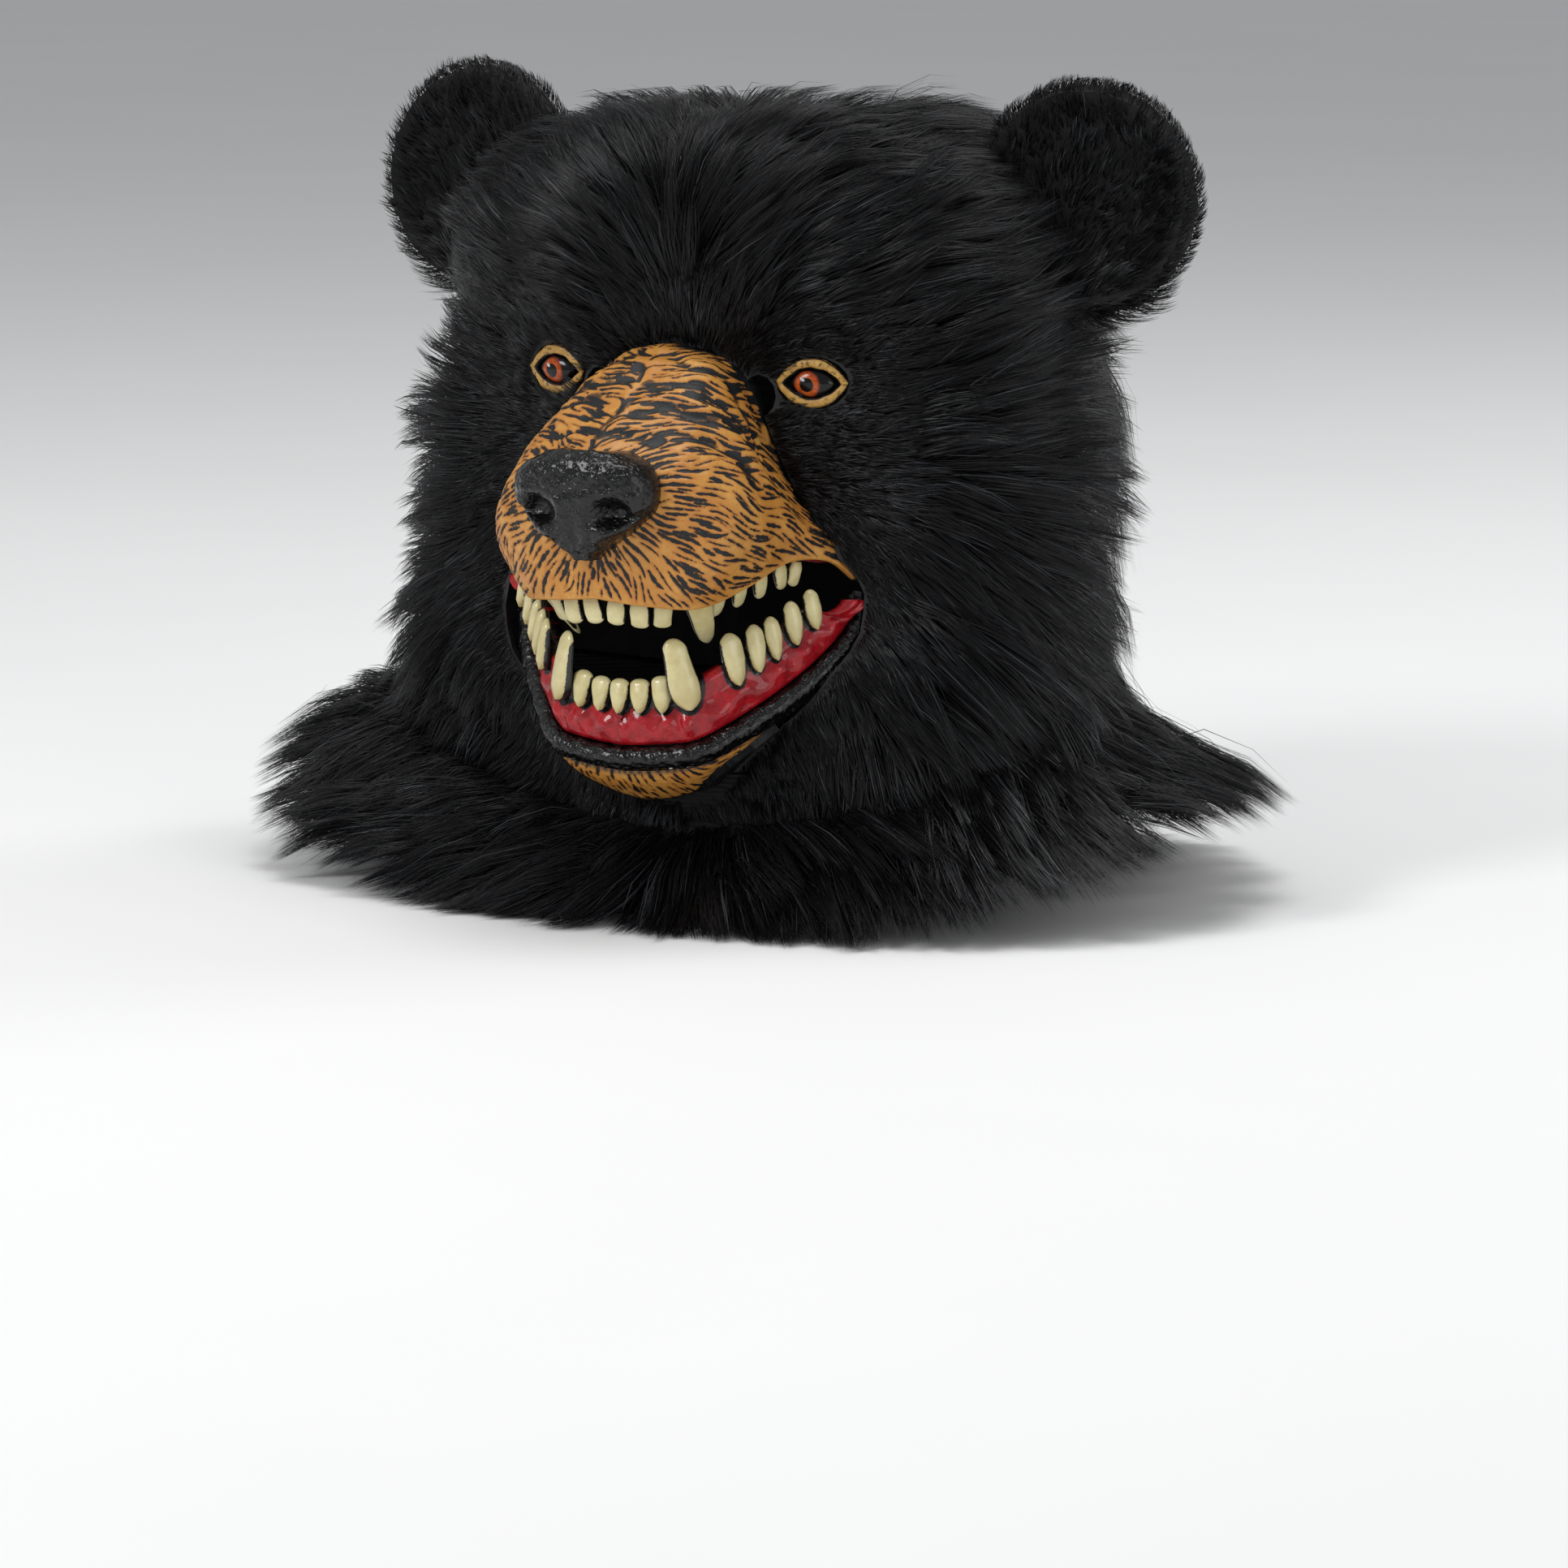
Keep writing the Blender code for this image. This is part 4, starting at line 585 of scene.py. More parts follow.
def muzzle_normal(turn, rise):
    """The unit outward normal. In the middle, where the two halves meet, it has no sideways part."""
    step = 2e-3
    turn = np.where(np.abs(turn) < step, step * 2, turn)
    high = np.minimum(rise + step, 1.0)
    low = np.maximum(rise - step, 0.0)
    climb = muzzle_form(turn, high) - muzzle_form(turn, low)
    run = muzzle_form(np.minimum(turn + step, 1.0), rise) - muzzle_form(np.maximum(turn - step, -1.0), rise)
    normal = np.cross(run, climb)
    normal = normal / np.maximum(np.linalg.norm(normal, axis=-1, keepdims=True), 1e-12)
    centre = snout_middle()
    outward = np.sum(normal * (muzzle_form(turn, rise) - centre), axis=-1, keepdims=True) > 0
    return np.where(outward, normal, -normal)


def jaw_line(place):
    """The middle of the lower lip's roll, from 0 in the middle to 1 at the corner."""
    row = between_rows(JAW_LINE, np.abs(place) * (len(JAW_LINE) - 1))
    across = row[..., ACROSS] * MUZZLE_WIDTH / 2 * np.sign(place)
    ahead = row[..., AHEAD] * MUZZLE_REACH
    up = corner_up() - row[..., DOWN] * JAW_OPEN
    return np.stack((across, ahead, up), axis=-1)


def jaw_frame(place):
    """The lip line's point and its own directions: along it, outwards and up across it."""
    step = 1e-3
    place = np.clip(place, -1.0 + step, 1.0 - step)
    along = jaw_line(place + step) - jaw_line(place - step)
    return frame_of(jaw_line(place), along)


def frame_of(point, along):
    along = along / np.linalg.norm(along, axis=-1, keepdims=True)
    outward = np.stack((-along[..., 1], along[..., 0], np.zeros_like(along[..., 0])), axis=-1)
    outward = outward / np.linalg.norm(outward, axis=-1, keepdims=True)
    across = np.cross(along, outward)
    return point, along, outward, across


def lip_places():
    """The lower lip's rings, closer together towards the mouth's corners."""
    even = np.linspace(-1.0, 1.0, LIP_RINGS)
    return even * (1.25 - 0.25 * even**2)


def gum_height(place):
    run_out = smoothstep((np.abs(place) - GUM_END) / (1 - GUM_END))
    return LOWER_GUM_HEIGHT * (1 - GUM_TAPER * np.abs(place)) * (1 - (1 - GUM_END_SHARE) * run_out)


def between_stations(stations, edges):
    """Many points on edges that run straight from station to station, as a solid has them."""
    places = np.linspace(stations[0], stations[-1], EDGE_SAMPLES)
    found = [np.column_stack([np.interp(places, stations, edge[:, axis]) for axis in range(3)]) for edge in edges]
    return np.vstack(found)


def proud_by(points, root, along, out, reach):
    """How far the points within reach of a root stand out beyond it in one direction."""
    off = points - root
    beside = (np.abs(off @ along) < reach) & (np.linalg.norm(off, axis=1) < MUZZLE_WIDTH / 5)
    return np.max((off @ out)[beside])


def lower_gum_front():
    stations = lip_places()[1:-1]
    point, _, _, rise = jaw_frame(stations)
    foot = LIP_RADIUS + SEAT_GAP
    low = point + rise * foot
    high = low + rise * gum_height(stations)[:, None]
    return between_stations(stations, (low, high))


def upper_gum_turns():
    return np.concatenate((-MUZZLE_TURNS[-2:0:-1], MUZZLE_TURNS[:-1]))


def upper_gum_foot():
    turns = upper_gum_turns()
    edges = [np.array([lifted_muzzle(turn, MUZZLE_RISES[0], lift) for turn in turns]) for lift in UPPER_GUM_LIFTS]
    return between_stations(turns, edges)


def lifted_muzzle(turn, rise, lift):
    turn = np.array([turn])
    rise = np.array([rise])
    normal = muzzle_normal(turn, rise)
    if abs(turn[0]) < 1e-6:
        normal[:, 0] = 0.0
    normal = normal / np.linalg.norm(normal, axis=-1, keepdims=True)
    return (muzzle_form(turn, rise) + lift * normal)[0]


def place_of(line, across):
    """Where on a line, from 0 to 1, it lies a given way across."""
    places = np.linspace(0.0, 1.0, 401)
    points = line(places)
    return float(places[np.argmin(np.abs(points[..., 0] - across))])


def both_sides(rows):
    """The teeth from one side round to the other, each with its side."""
    right = [(-1, *row) for row in reversed(rows) if row[0] > 0]
    left = [(1, *row) for row in rows]
    return right + left


def upper_lip_line(place):
    return muzzle_line(LIP_EDGE, place)


def jaw_line_half(place):
    return jaw_line(np.maximum(place, 1e-9))


def chin_grid():
    """The chin from under the lip's roll, row after row, to its lower edge."""
    places = np.linspace(-CHIN_END, CHIN_END, CHIN_STEPS)
    point, _, outward, rise = jaw_frame(places)
    top = point - rise * (LIP_RADIUS + FACE_CLEARANCE) - outward * LIP_RADIUS * 0.2
    fall = 1 - CHIN_TAPER * np.abs(places / CHIN_END) ** 2
    rows = []
    for share in CHIN_ROWS:
        down = CHIN_DROP * fall * share
        back = CHIN_SET_BACK * fall * share**CHIN_ROUNDING
        rows.append(top + np.stack((-outward[:, 0] * back, -back, -down), axis=-1))
    return np.array(rows)


def mouth_outline():
    """The mouth's part of the face opening: from inside the snout's base round the lower lip's outer
    side and along the chin's edge."""
    start = np.array((0.0, snout_middle()[2]))
    inside = muzzle_form(np.array(1.0), np.array(0.25))[[0, 2]] - (LATEX * 1.5, LATEX)
    corner = muzzle_form(np.array(1.0), np.array(0.0))[[0, 2]] + (LATEX * 0.5, LATEX)
    places = np.linspace(1.0, CHIN_END, 8)
    lip = jaw_line(places)[:, (0, 2)]
    run = np.gradient(lip, axis=0)
    run = run / np.linalg.norm(run, axis=1, keepdims=True)
    lip = lip + np.column_stack((-run[:, 1], run[:, 0])) * LIP_RADIUS
    chin = chin_grid()[-1][: CHIN_STEPS // 2 : -1][:, (0, 2)]
    middle = chin_grid()[-1][CHIN_STEPS // 2][None, (0, 2)]
    half = np.vstack((start, inside, corner, lip, chin, middle))
    return mirrored(half)


def ellipse(across, up, width, height, sides):
    turns = -np.arange(sides) * 2 * math.pi / sides
    return np.column_stack((across + width / 2 * np.cos(turns), up + height / 2 * np.sin(turns)))


def eye_outline(side, extra):
    return ellipse(side * EYE_SPACING / 2, 0.0, EYE_WIDTH + 2 * extra, EYE_HEIGHT + 2 * extra, EYE_SIDES)


def sight_outline(side, extra):
    width = SIGHT_WIDTH + 2 * extra
    height = SIGHT_HEIGHT + 2 * extra
    return ellipse(side * SIGHT_SPACING / 2, -SIGHT_BELOW_EYES, width, height, SIGHT_SIDES)


# The camera that took the photograph: how far it stands round towards +X and up, how far off, and how
# wide its frame is at the aim. The aim lies this far right of and below the point between the eyes.
CAMERA_ROUND = math.radians(28.0)
CAMERA_UP = math.radians(9.5)
CAMERA_DISTANCE = 2.5
FRAME_WIDTH = 0.5855
AIM_RIGHT = 0.0365
AIM_BELOW = 0.1526
SENSOR = 36.0

# Strands of the plush: how many are in each piece, how wide one is, and how they gather into locks
HOOD_PIECES = 3
HOOD_STRANDS = 30000
SKIRT_STRANDS = 30000
EAR_STRANDS = 7000
STRAND_WIDTH = 0.00046
STRAND_SHARES = np.array((0.0, 0.35, 0.70, 1.0))
STRAND_TAPER = (1.0, 0.92, 0.62)


def mirrored_vectors(vectors):
    """World directions of directions given in face coordinates."""
    return np.asarray(vectors, float) * np.array((1.0, -1.0, 1.0))


def unit(vectors):
    return vectors / np.maximum(np.linalg.norm(vectors, axis=-1, keepdims=True), 1e-9)


def ripple(points, seed, size):
    """A smooth wavy field between about -1 and 1, whose waves are about the given size across."""
    chance = np.random.default_rng(seed)
    total = np.zeros(points.shape[:-1])
    for _ in range(5):
        way = unit(chance.normal(size=3))
        total = total + np.sin(points @ way * 2 * math.pi / (size * chance.uniform(0.7, 1.5)) + chance.uniform(0, 6.3))
    return total / 2.6


def new_object(name, points, faces, finish, smooth=True):
    """A piece made of the given world points and faces, which all have the same number of corners."""
    mesh = bpy.data.meshes.new(name)
    faces = np.asarray(faces, np.int32)
    mesh.vertices.add(len(points))
    mesh.vertices.foreach_set("co", np.asarray(points, np.float32).ravel())
    mesh.loops.add(faces.size)
    mesh.loops.foreach_set("vertex_index", faces.ravel())
    mesh.polygons.add(len(faces))
    mesh.polygons.foreach_set("loop_start", np.arange(0, faces.size, faces.shape[1], dtype=np.int32))
    mesh.update(calc_edges=True)
    mesh.validate()
    if smooth:
        mesh.shade_smooth()
    mesh.materials.append(finish)
    made = bpy.data.objects.new(name, mesh)
    bpy.context.scene.collection.objects.link(made)
    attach(made, "root")
    return made


def paint(made, name, values):
    """Stores one number or vector a point on a piece, for its material to read."""
    values = np.asarray(values, np.float32)
    kind = "FLOAT" if values.ndim == 1 else "FLOAT_VECTOR"
    layer = made.data.attributes.new(name, kind, "POINT")
    layer.data.foreach_set("value" if values.ndim == 1 else "vector", values.ravel())


def quads(rows, columns, closed):
    """Four-cornered faces of a grid of points stored row after row."""
    across = columns if closed else columns - 1
    row, column = np.meshgrid(np.arange(rows - 1), np.arange(across), indexing="ij")
    beside = (column + 1) % columns
    corners = (row * columns + column, row * columns + beside, (row + 1) * columns + beside)
    return np.stack((*corners, (row + 1) * columns + column), axis=-1).reshape(-1, 4)


def weld_and_turn(made, distance=2e-5):
    """Joins points that lie in one place and turns all the faces outwards."""
    shape = bmesh.new()
    shape.from_mesh(made.data)
    bmesh.ops.remove_doubles(shape, verts=shape.verts, dist=distance)
    bmesh.ops.recalc_face_normals(shape, faces=shape.faces)
    middle = sum((vert.co for vert in shape.verts), Vector()) / len(shape.verts)
    outward = sum(face.normal.dot(face.calc_center_median() - middle) * face.calc_area() for face in shape.faces)
    if outward < 0:
        bmesh.ops.reverse_faces(shape, faces=shape.faces)
    shape.to_mesh(made.data)
    shape.free()
    made.data.shade_smooth()


def inside_outline(across, up, outline):
    """Which of the places (across, up) lie inside an outline."""
    inside = np.zeros(across.shape, bool)
    for (x0, z0), (x1, z1) in zip(outline, np.roll(outline, -1, axis=0)):
        if z0 == z1:
            continue
        crosses = (z0 > up) != (z1 > up)
        inside ^= crosses & (across < (x1 - x0) * (up - z0) / (z1 - z0) + x0)
    return inside


def spread(form, low, high, count, density, chance):
    """Places (angle, place) on a form, spread by area and by a density."""
    angles = np.linspace(-math.pi, math.pi, 361)
    places = np.linspace(low, high, 241)
    angle, place = np.meshgrid(angles, places, indexing="ij")
    points = form(angle, place)
    side = points[1:, :-1] - points[:-1, :-1]
    down = points[:-1, 1:] - points[:-1, :-1]
    area = np.linalg.norm(np.cross(side, down), axis=-1)
    weight = area * density(points[:-1, :-1])
    weight = weight.ravel() / weight.sum()
    cells = chance.choice(weight.size, size=count, p=weight)
    row, column = np.unravel_index(cells, area.shape)
    step_angle = angles[1] - angles[0]
    step_place = places[1] - places[0]
    found_angle = angles[row] + step_angle * chance.random(count)
    found_place = places[column] + step_place * chance.random(count)
    return found_angle, np.clip(found_place, low, high)


def face_gaps(across, up, clear):
    """Where the plush has an opening: the snout with the mouth, the eyes and the see-through gaps."""
    rises = np.linspace(0.0, 1.0, 24)
    base = muzzle_form(np.ones_like(rises), rises)[:, (0, 2)]
    top = muzzle_form(np.array(1.0), np.array(1.0))[[0, 2]]
    snout = np.vstack((base, top + (0.0, clear)))
    snout = np.vstack((snout, (snout * (-1.0, 1.0))[::-1]))
    hidden = inside_outline(across, up, snout)
    hidden |= inside_outline(across, up, outset(mouth_outline(), clear))
    for side, _ in SIDES:
        hidden |= inside_outline(across, up, eye_outline(side, clear))
        hidden |= inside_outline(across, up, sight_outline(side, clear))
    return hidden


def leaders(roots, chance, spacing):
    """For each strand, the nearest of a few strands that lead the locks."""
    chosen = chance.choice(len(roots), size=max(len(roots) // spacing, 8), replace=False)
    tree = KDTree(len(chosen))
    for place, leader in enumerate(chosen):
        tree.insert(roots[leader], place)
    tree.balance()
    return chosen[np.array([tree.find(root)[1] for root in roots])]


def gather(curves, leader, pull):
    """Draws the strands' tips towards the strand that leads their lock."""
    strength = pull[:, None] * STRAND_SHARES[None, :] ** 1.4
    return curves + (curves[leader] - curves) * strength[..., None]


def ribbons(name, curves, facing, widths, tone, finish):
    """A piece of flat strands, each of three lengths that narrow to a tip. Its sides are shaded as if
    it were round."""
    count = len(curves)
    tangents = unit(np.gradient(curves, axis=1))
    facing = facing[:, None, :]
    side = unit(np.cross(tangents, facing))
    front = unit(np.cross(side, tangents))
    half = widths[:, None, None] / 2 * np.array(STRAND_TAPER)[None, :, None]
    left = curves[:, :3] - side[:, :3] * half
    right = curves[:, :3] + side[:, :3] * half
    points = np.empty((count, 7, 3))
    points[:, 0:6:2] = left
    points[:, 1:6:2] = right
    points[:, 6] = curves[:, 3]
    normals = np.empty((count, 7, 3))
    normals[:, 0:6:2] = unit(front[:, :3] - side[:, :3] * 0.9)
    normals[:, 1:6:2] = unit(front[:, :3] + side[:, :3] * 0.9)
    normals[:, 6] = front[:, 3]
    pattern = np.array(((0, 1, 3), (0, 3, 2), (2, 3, 5), (2, 5, 4), (4, 5, 6)))
    faces = (np.arange(count)[:, None, None] * 7 + pattern[None]).reshape(-1, 3)
    made = new_object(name, points.reshape(-1, 3), faces, finish)
    made.data.normals_split_custom_set_from_vertices(normals.reshape(-1, 3).astype(np.float32))
    shares = np.array((0.0, 0.0, 0.35, 0.35, 0.7, 0.7, 1.0))
    paint(made, "tone", np.repeat(tone, 7))
    paint(made, "share", np.tile(shares, count))
    return made


def linear(code):
    """The linear colour of an sRGB hex code."""
    parts = [int(code[place : place + 2], 16) / 255 for place in (1, 3, 5)]
    return (*[part / 12.92 if part <= 0.04045 else ((part + 0.055) / 1.055) ** 2.4 for part in parts], 1.0)


def add_node(tree, kind, inputs=None, **settings):
    """A shader node with its settings. Each input takes a value or the output of another node."""
    made = tree.nodes.new(kind)
    for key, value in settings.items():
        setattr(made, key, value)
    for key, value in (inputs or {}).items():
        if isinstance(value, bpy.types.NodeSocket):
            tree.links.new(value, made.inputs[key])
        else:
            made.inputs[key].default_value = value
    return made


def new_material(name, **values):
    """A material with one Principled shader, whose sockets take the given values."""
    made = bpy.data.materials.new(name)
    made.use_nodes = True
    tree = made.node_tree
    shader = tree.nodes["Principled BSDF"]
    for key, value in values.items():
        shader.inputs[key.replace("_", " ")].default_value = value
    return made, tree, shader


def read_paint(tree, name):
    return add_node(tree, "ShaderNodeAttribute", attribute_name=name)


def sums(tree, operation, first, second=0.0, third=0.0, clamp=False):
    return add_node(
        tree, "ShaderNodeMath", {0: first, 1: second, 2: third}, operation=operation, use_clamp=clamp
    ).outputs[0]


def ramp(tree, value, low, high, start=0.0, end=1.0):
    """A smooth step from start to end as the value goes from low to high."""
    inputs = {"Value": value, "From Min": low, "From Max": high, "To Min": start, "To Max": end}
    return add_node(tree, "ShaderNodeMapRange", inputs, interpolation_type="SMOOTHSTEP").outputs["Result"]


def mix(tree, share, first, second):
    made = add_node(tree, "ShaderNodeMix", data_type="RGBA")
    for socket, value in zip((made.inputs[0], made.inputs[6], made.inputs[7]), (share, first, second)):
        if isinstance(value, bpy.types.NodeSocket):
            tree.links.new(value, socket)
        else:
            socket.default_value = value
    return made.outputs[2]


def mix_value(tree, share, first, second):
    made = add_node(tree, "ShaderNodeMix", {"Factor": share, "A": first, "B": second}, data_type="FLOAT")
    return made.outputs["Result"]


def noise(tree, size, detail=3.0, roughness=0.55, stretch=(1.0, 1.0, 1.0)):
    """Cloudy noise whose features are about the given size in metres, from 0 to 1."""
    where = add_node(tree, "ShaderNodeTexCoord").outputs["Object"]
    if stretch != (1.0, 1.0, 1.0):
        where = add_node(tree, "ShaderNodeVectorMath", {0: where, 1: stretch}, operation="MULTIPLY").outputs[0]
    inputs = {"Vector": where, "Scale": 1 / size, "Detail": detail, "Roughness": roughness}
    return add_node(tree, "ShaderNodeTexNoise", inputs).outputs["Fac"]


def bump(tree, height, distance, strength=1.0, below=None):
    inputs = {"Height": height, "Distance": distance, "Strength": strength}
    if below:
        inputs["Normal"] = below
    return add_node(tree, "ShaderNodeBump", inputs).outputs["Normal"]


def plush_material():
    """Black acrylic plush, drawn fibres cut and combed: near black at the root and painted lighter towards the tip
    as a painted sheen, with a few hairs painted light grey as painted glints."""
    made, tree, shader = new_material("black acrylic plush", Roughness=0.46)
    tone = read_paint(tree, "tone").outputs["Fac"]
    share = read_paint(tree, "share").outputs["Fac"]
    # Painted sheen: the colour gets lighter from the root to the tip.
    tip = ramp(tree, share, 0.0, 1.0)
    root_colour = mix(tree, tone, linear("#020202"), linear("#040405"))
    tip_sheen_colour = mix(tree, tone, linear("#030304"), linear("#101114"))
    # Painted glints: the lightest hairs are painted light grey.
    tip_sheen_colour = mix(tree, ramp(tree, tone, 0.95, 1.25), tip_sheen_colour, linear("#45484E"))
    colour = mix(tree, tip, root_colour, tip_sheen_colour)
    tree.links.new(colour, shader.inputs["Base Color"])
    rough = sums(tree, "MULTIPLY_ADD", tone, -0.12, 0.35)
    tree.links.new(rough, shader.inputs["Roughness"])
    shader.inputs["Specular IOR Level"].default_value = 0.24
    shader.inputs["Sheen Weight"].default_value = 0.02
    shader.inputs["Sheen Roughness"].default_value = 0.4
    return made


def plush_backing_material():
    """Black knitted backing under the pile: matt, with a fine felted unevenness."""
    made, tree, shader = new_material("black plush backing", Roughness=0.9)
    cloud = noise(tree, 0.004)
    tree.links.new(mix(tree, cloud, linear("#040405"), linear("#101114")), shader.inputs["Base Color"])
    tree.links.new(bump(tree, noise(tree, 0.0012), 0.0006), shader.inputs["Normal"])
    return made


def latex_inside_material():
    """Black moulding latex, slush cast: matt, with a faint flow unevenness and dust."""
    made, tree, shader = new_material("black moulded latex", Roughness=0.62)
    cloud = noise(tree, 0.02)
    tree.links.new(mix(tree, cloud, linear("#070708"), linear("#141416")), shader.inputs["Base Color"])
    tree.links.new(sums(tree, "MULTIPLY_ADD", cloud, 0.2, 0.5), shader.inputs["Roughness"])
    tree.links.new(bump(tree, noise(tree, 0.006), 0.0008), shader.inputs["Normal"])
    return made


def knit_material():
    """Black polyester knit: fine courses a millimetre apart."""
    made, tree, shader = new_material("black polyester knit", Roughness=0.85)
    where = add_node(tree, "ShaderNodeTexCoord").outputs["Object"]
    wave = add_node(
        tree, "ShaderNodeTexWave", {"Vector": where, "Scale": 160.0, "Distortion": 1.5}, bands_direction="Z"
    ).outputs["Fac"]
    tree.links.new(mix(tree, wave, linear("#060607"), linear("#131417")), shader.inputs["Base Color"])
    tree.links.new(bump(tree, wave, 0.0004), shader.inputs["Normal"])
    return made


def snout_material():
    """Tan latex, moulded with carved hair and painted by hand: an orange tan skin, mottled by the
    sponge, and black paint wiped into the carved strokes, satin all over. The tan is painted darker beside the
    strokes and near black in the creases, as painted shade."""
    made, tree, shader = new_material("tan painted latex", Roughness=0.42)
    ink = read_paint(tree, "ink").outputs["Fac"]
    shade = read_paint(tree, "shade").outputs["Fac"]
    ragged = sums(tree, "MULTIPLY_ADD", noise(tree, 0.0011, 4.0, 0.7), 0.9, -0.45)
    edge = sums(tree, "ADD", ink, ragged)
    inked = ramp(tree, edge, -0.10, 0.16)
    broad = ramp(tree, noise(tree, 0.014), 0.30, 0.70)
    fine = ramp(tree, noise(tree, 0.0022, 5.0, 0.65), 0.30, 0.75)
    tan = mix(tree, broad, linear("#BC8236"), linear("#D29F50"))
    tan = mix(tree, sums(tree, "MULTIPLY", fine, 0.65), tan, linear("#C27831"))
    # Painted shade: the tan darkens towards the carved strokes, so the ridges between them stay lighter.
    near = ramp(tree, ink, -0.9, 0.0)
    tan = mix(tree, sums(tree, "MULTIPLY", near, 0.55), tan, linear("#A9662A"))
    specks = ramp(tree, noise(tree, 0.0007, 2.0, 0.5), 0.69, 0.74)
    tan = mix(tree, sums(tree, "MULTIPLY", specks, 0.7), tan, linear("#2A1E14"))
    # The shade paint makes the skin near black: in the creases, as painted shade, and also at its edges and on hidden
    # inner faces.
    tan = mix(tree, shade, tan, linear("#121315"))
    colour = mix(tree, inked, tan, linear("#141618"))
    tree.links.new(colour, shader.inputs["Base Color"])
    tree.links.new(ramp(tree, inked, 0.0, 1.0, 0.40, 0.52), shader.inputs["Roughness"])
    skin = bump(tree, noise(tree, 0.0009, 4.0, 0.6), 0.0003, 0.6)
    carved = bump(tree, inked, 0.0004, 0.8, skin)
    tree.links.new(carved, shader.inputs["Normal"])
    shader.inputs["Specular IOR Level"].default_value = 0.42
    return made


def nose_material():
    """Black latex under brushed-on gloss: pebbled, with wet patches where the gloss pooled."""
    made, tree, shader = new_material("black gloss latex", Roughness=0.28)
    where = add_node(tree, "ShaderNodeTexCoord").outputs["Object"]
    pebble = add_node(tree, "ShaderNodeTexVoronoi", {"Vector": where, "Scale": 620.0}, feature="SMOOTH_F1")
    cloud = noise(tree, 0.006)
    tree.links.new(mix(tree, cloud, linear("#030303"), linear("#0C0D0E")), shader.inputs["Base Color"])
    wet = read_paint(tree, "wet").outputs["Fac"]
    satin = ramp(tree, noise(tree, 0.009), 0.35, 0.65, 0.18, 0.40)
    tree.links.new(mix_value(tree, wet, satin, 0.10), shader.inputs["Roughness"])
    rough = bump(tree, pebble.outputs["Distance"], 0.0009, 0.9)
    brushed = bump(tree, noise(tree, 0.0030), 0.0014, 0.7, rough)
    tree.links.new(brushed, shader.inputs["Normal"])
    shader.inputs["Specular IOR Level"].default_value = 0.30
    shader.inputs["Coat Weight"].default_value = 0.35
    shader.inputs["Coat Roughness"].default_value = 0.09
    return made


def gum_material():
    """Red enamel over lumpy latex: wet and glossy, mottled in two reds, black lines round the teeth."""
    made, tree, shader = new_material("red gloss latex", Roughness=0.38)
    cloud = noise(tree, 0.005)
    red = mix(tree, ramp(tree, cloud, 0.3, 0.7), linear("#8E0A15"), linear("#B0121E"))
    ink = read_paint(tree, "ink").outputs["Fac"]
    edge = sums(tree, "ADD", ink, sums(tree, "MULTIPLY_ADD", noise(tree, 0.0012), 0.5, -0.25))
    tree.links.new(mix(tree, ramp(tree, edge, -0.1, 0.15), red, linear("#0C0B0C")), shader.inputs["Base Color"])
    tree.links.new(bump(tree, noise(tree, 0.0045), 0.0020, 0.8), shader.inputs["Normal"])
    shader.inputs["Specular IOR Level"].default_value = 0.20
    shader.inputs["Coat Weight"].default_value = 0.60
    shader.inputs["Coat Roughness"].default_value = 0.06
    return made


def tooth_material():
    """Cream cast resin: satin, a little yellower towards the root, with black paint run in round it."""
    made, tree, shader = new_material("cream cast resin", Roughness=0.34)
    ink = read_paint(tree, "ink").outputs["Fac"]
    age = read_paint(tree, "age").outputs["Fac"]
    cloud = noise(tree, 0.006)
    cream = mix(tree, ramp(tree, cloud, 0.3, 0.7), linear("#CDBF88"), linear("#DDD29E"))
    cream = mix(tree, age, cream, linear("#BFA968"))
    edge = sums(tree, "ADD", ink, sums(tree, "MULTIPLY_ADD", noise(tree, 0.0010, 4.0), 0.6, -0.3))
    colour = mix(tree, ramp(tree, edge, -0.1, 0.15), cream, linear("#111010"))
    tree.links.new(colour, shader.inputs["Base Color"])
    tree.links.new(bump(tree, noise(tree, 0.003), 0.0005, 0.5), shader.inputs["Normal"])
    shader.inputs["Coat Weight"].default_value = 0.50
    shader.inputs["Coat Roughness"].default_value = 0.12
    return made


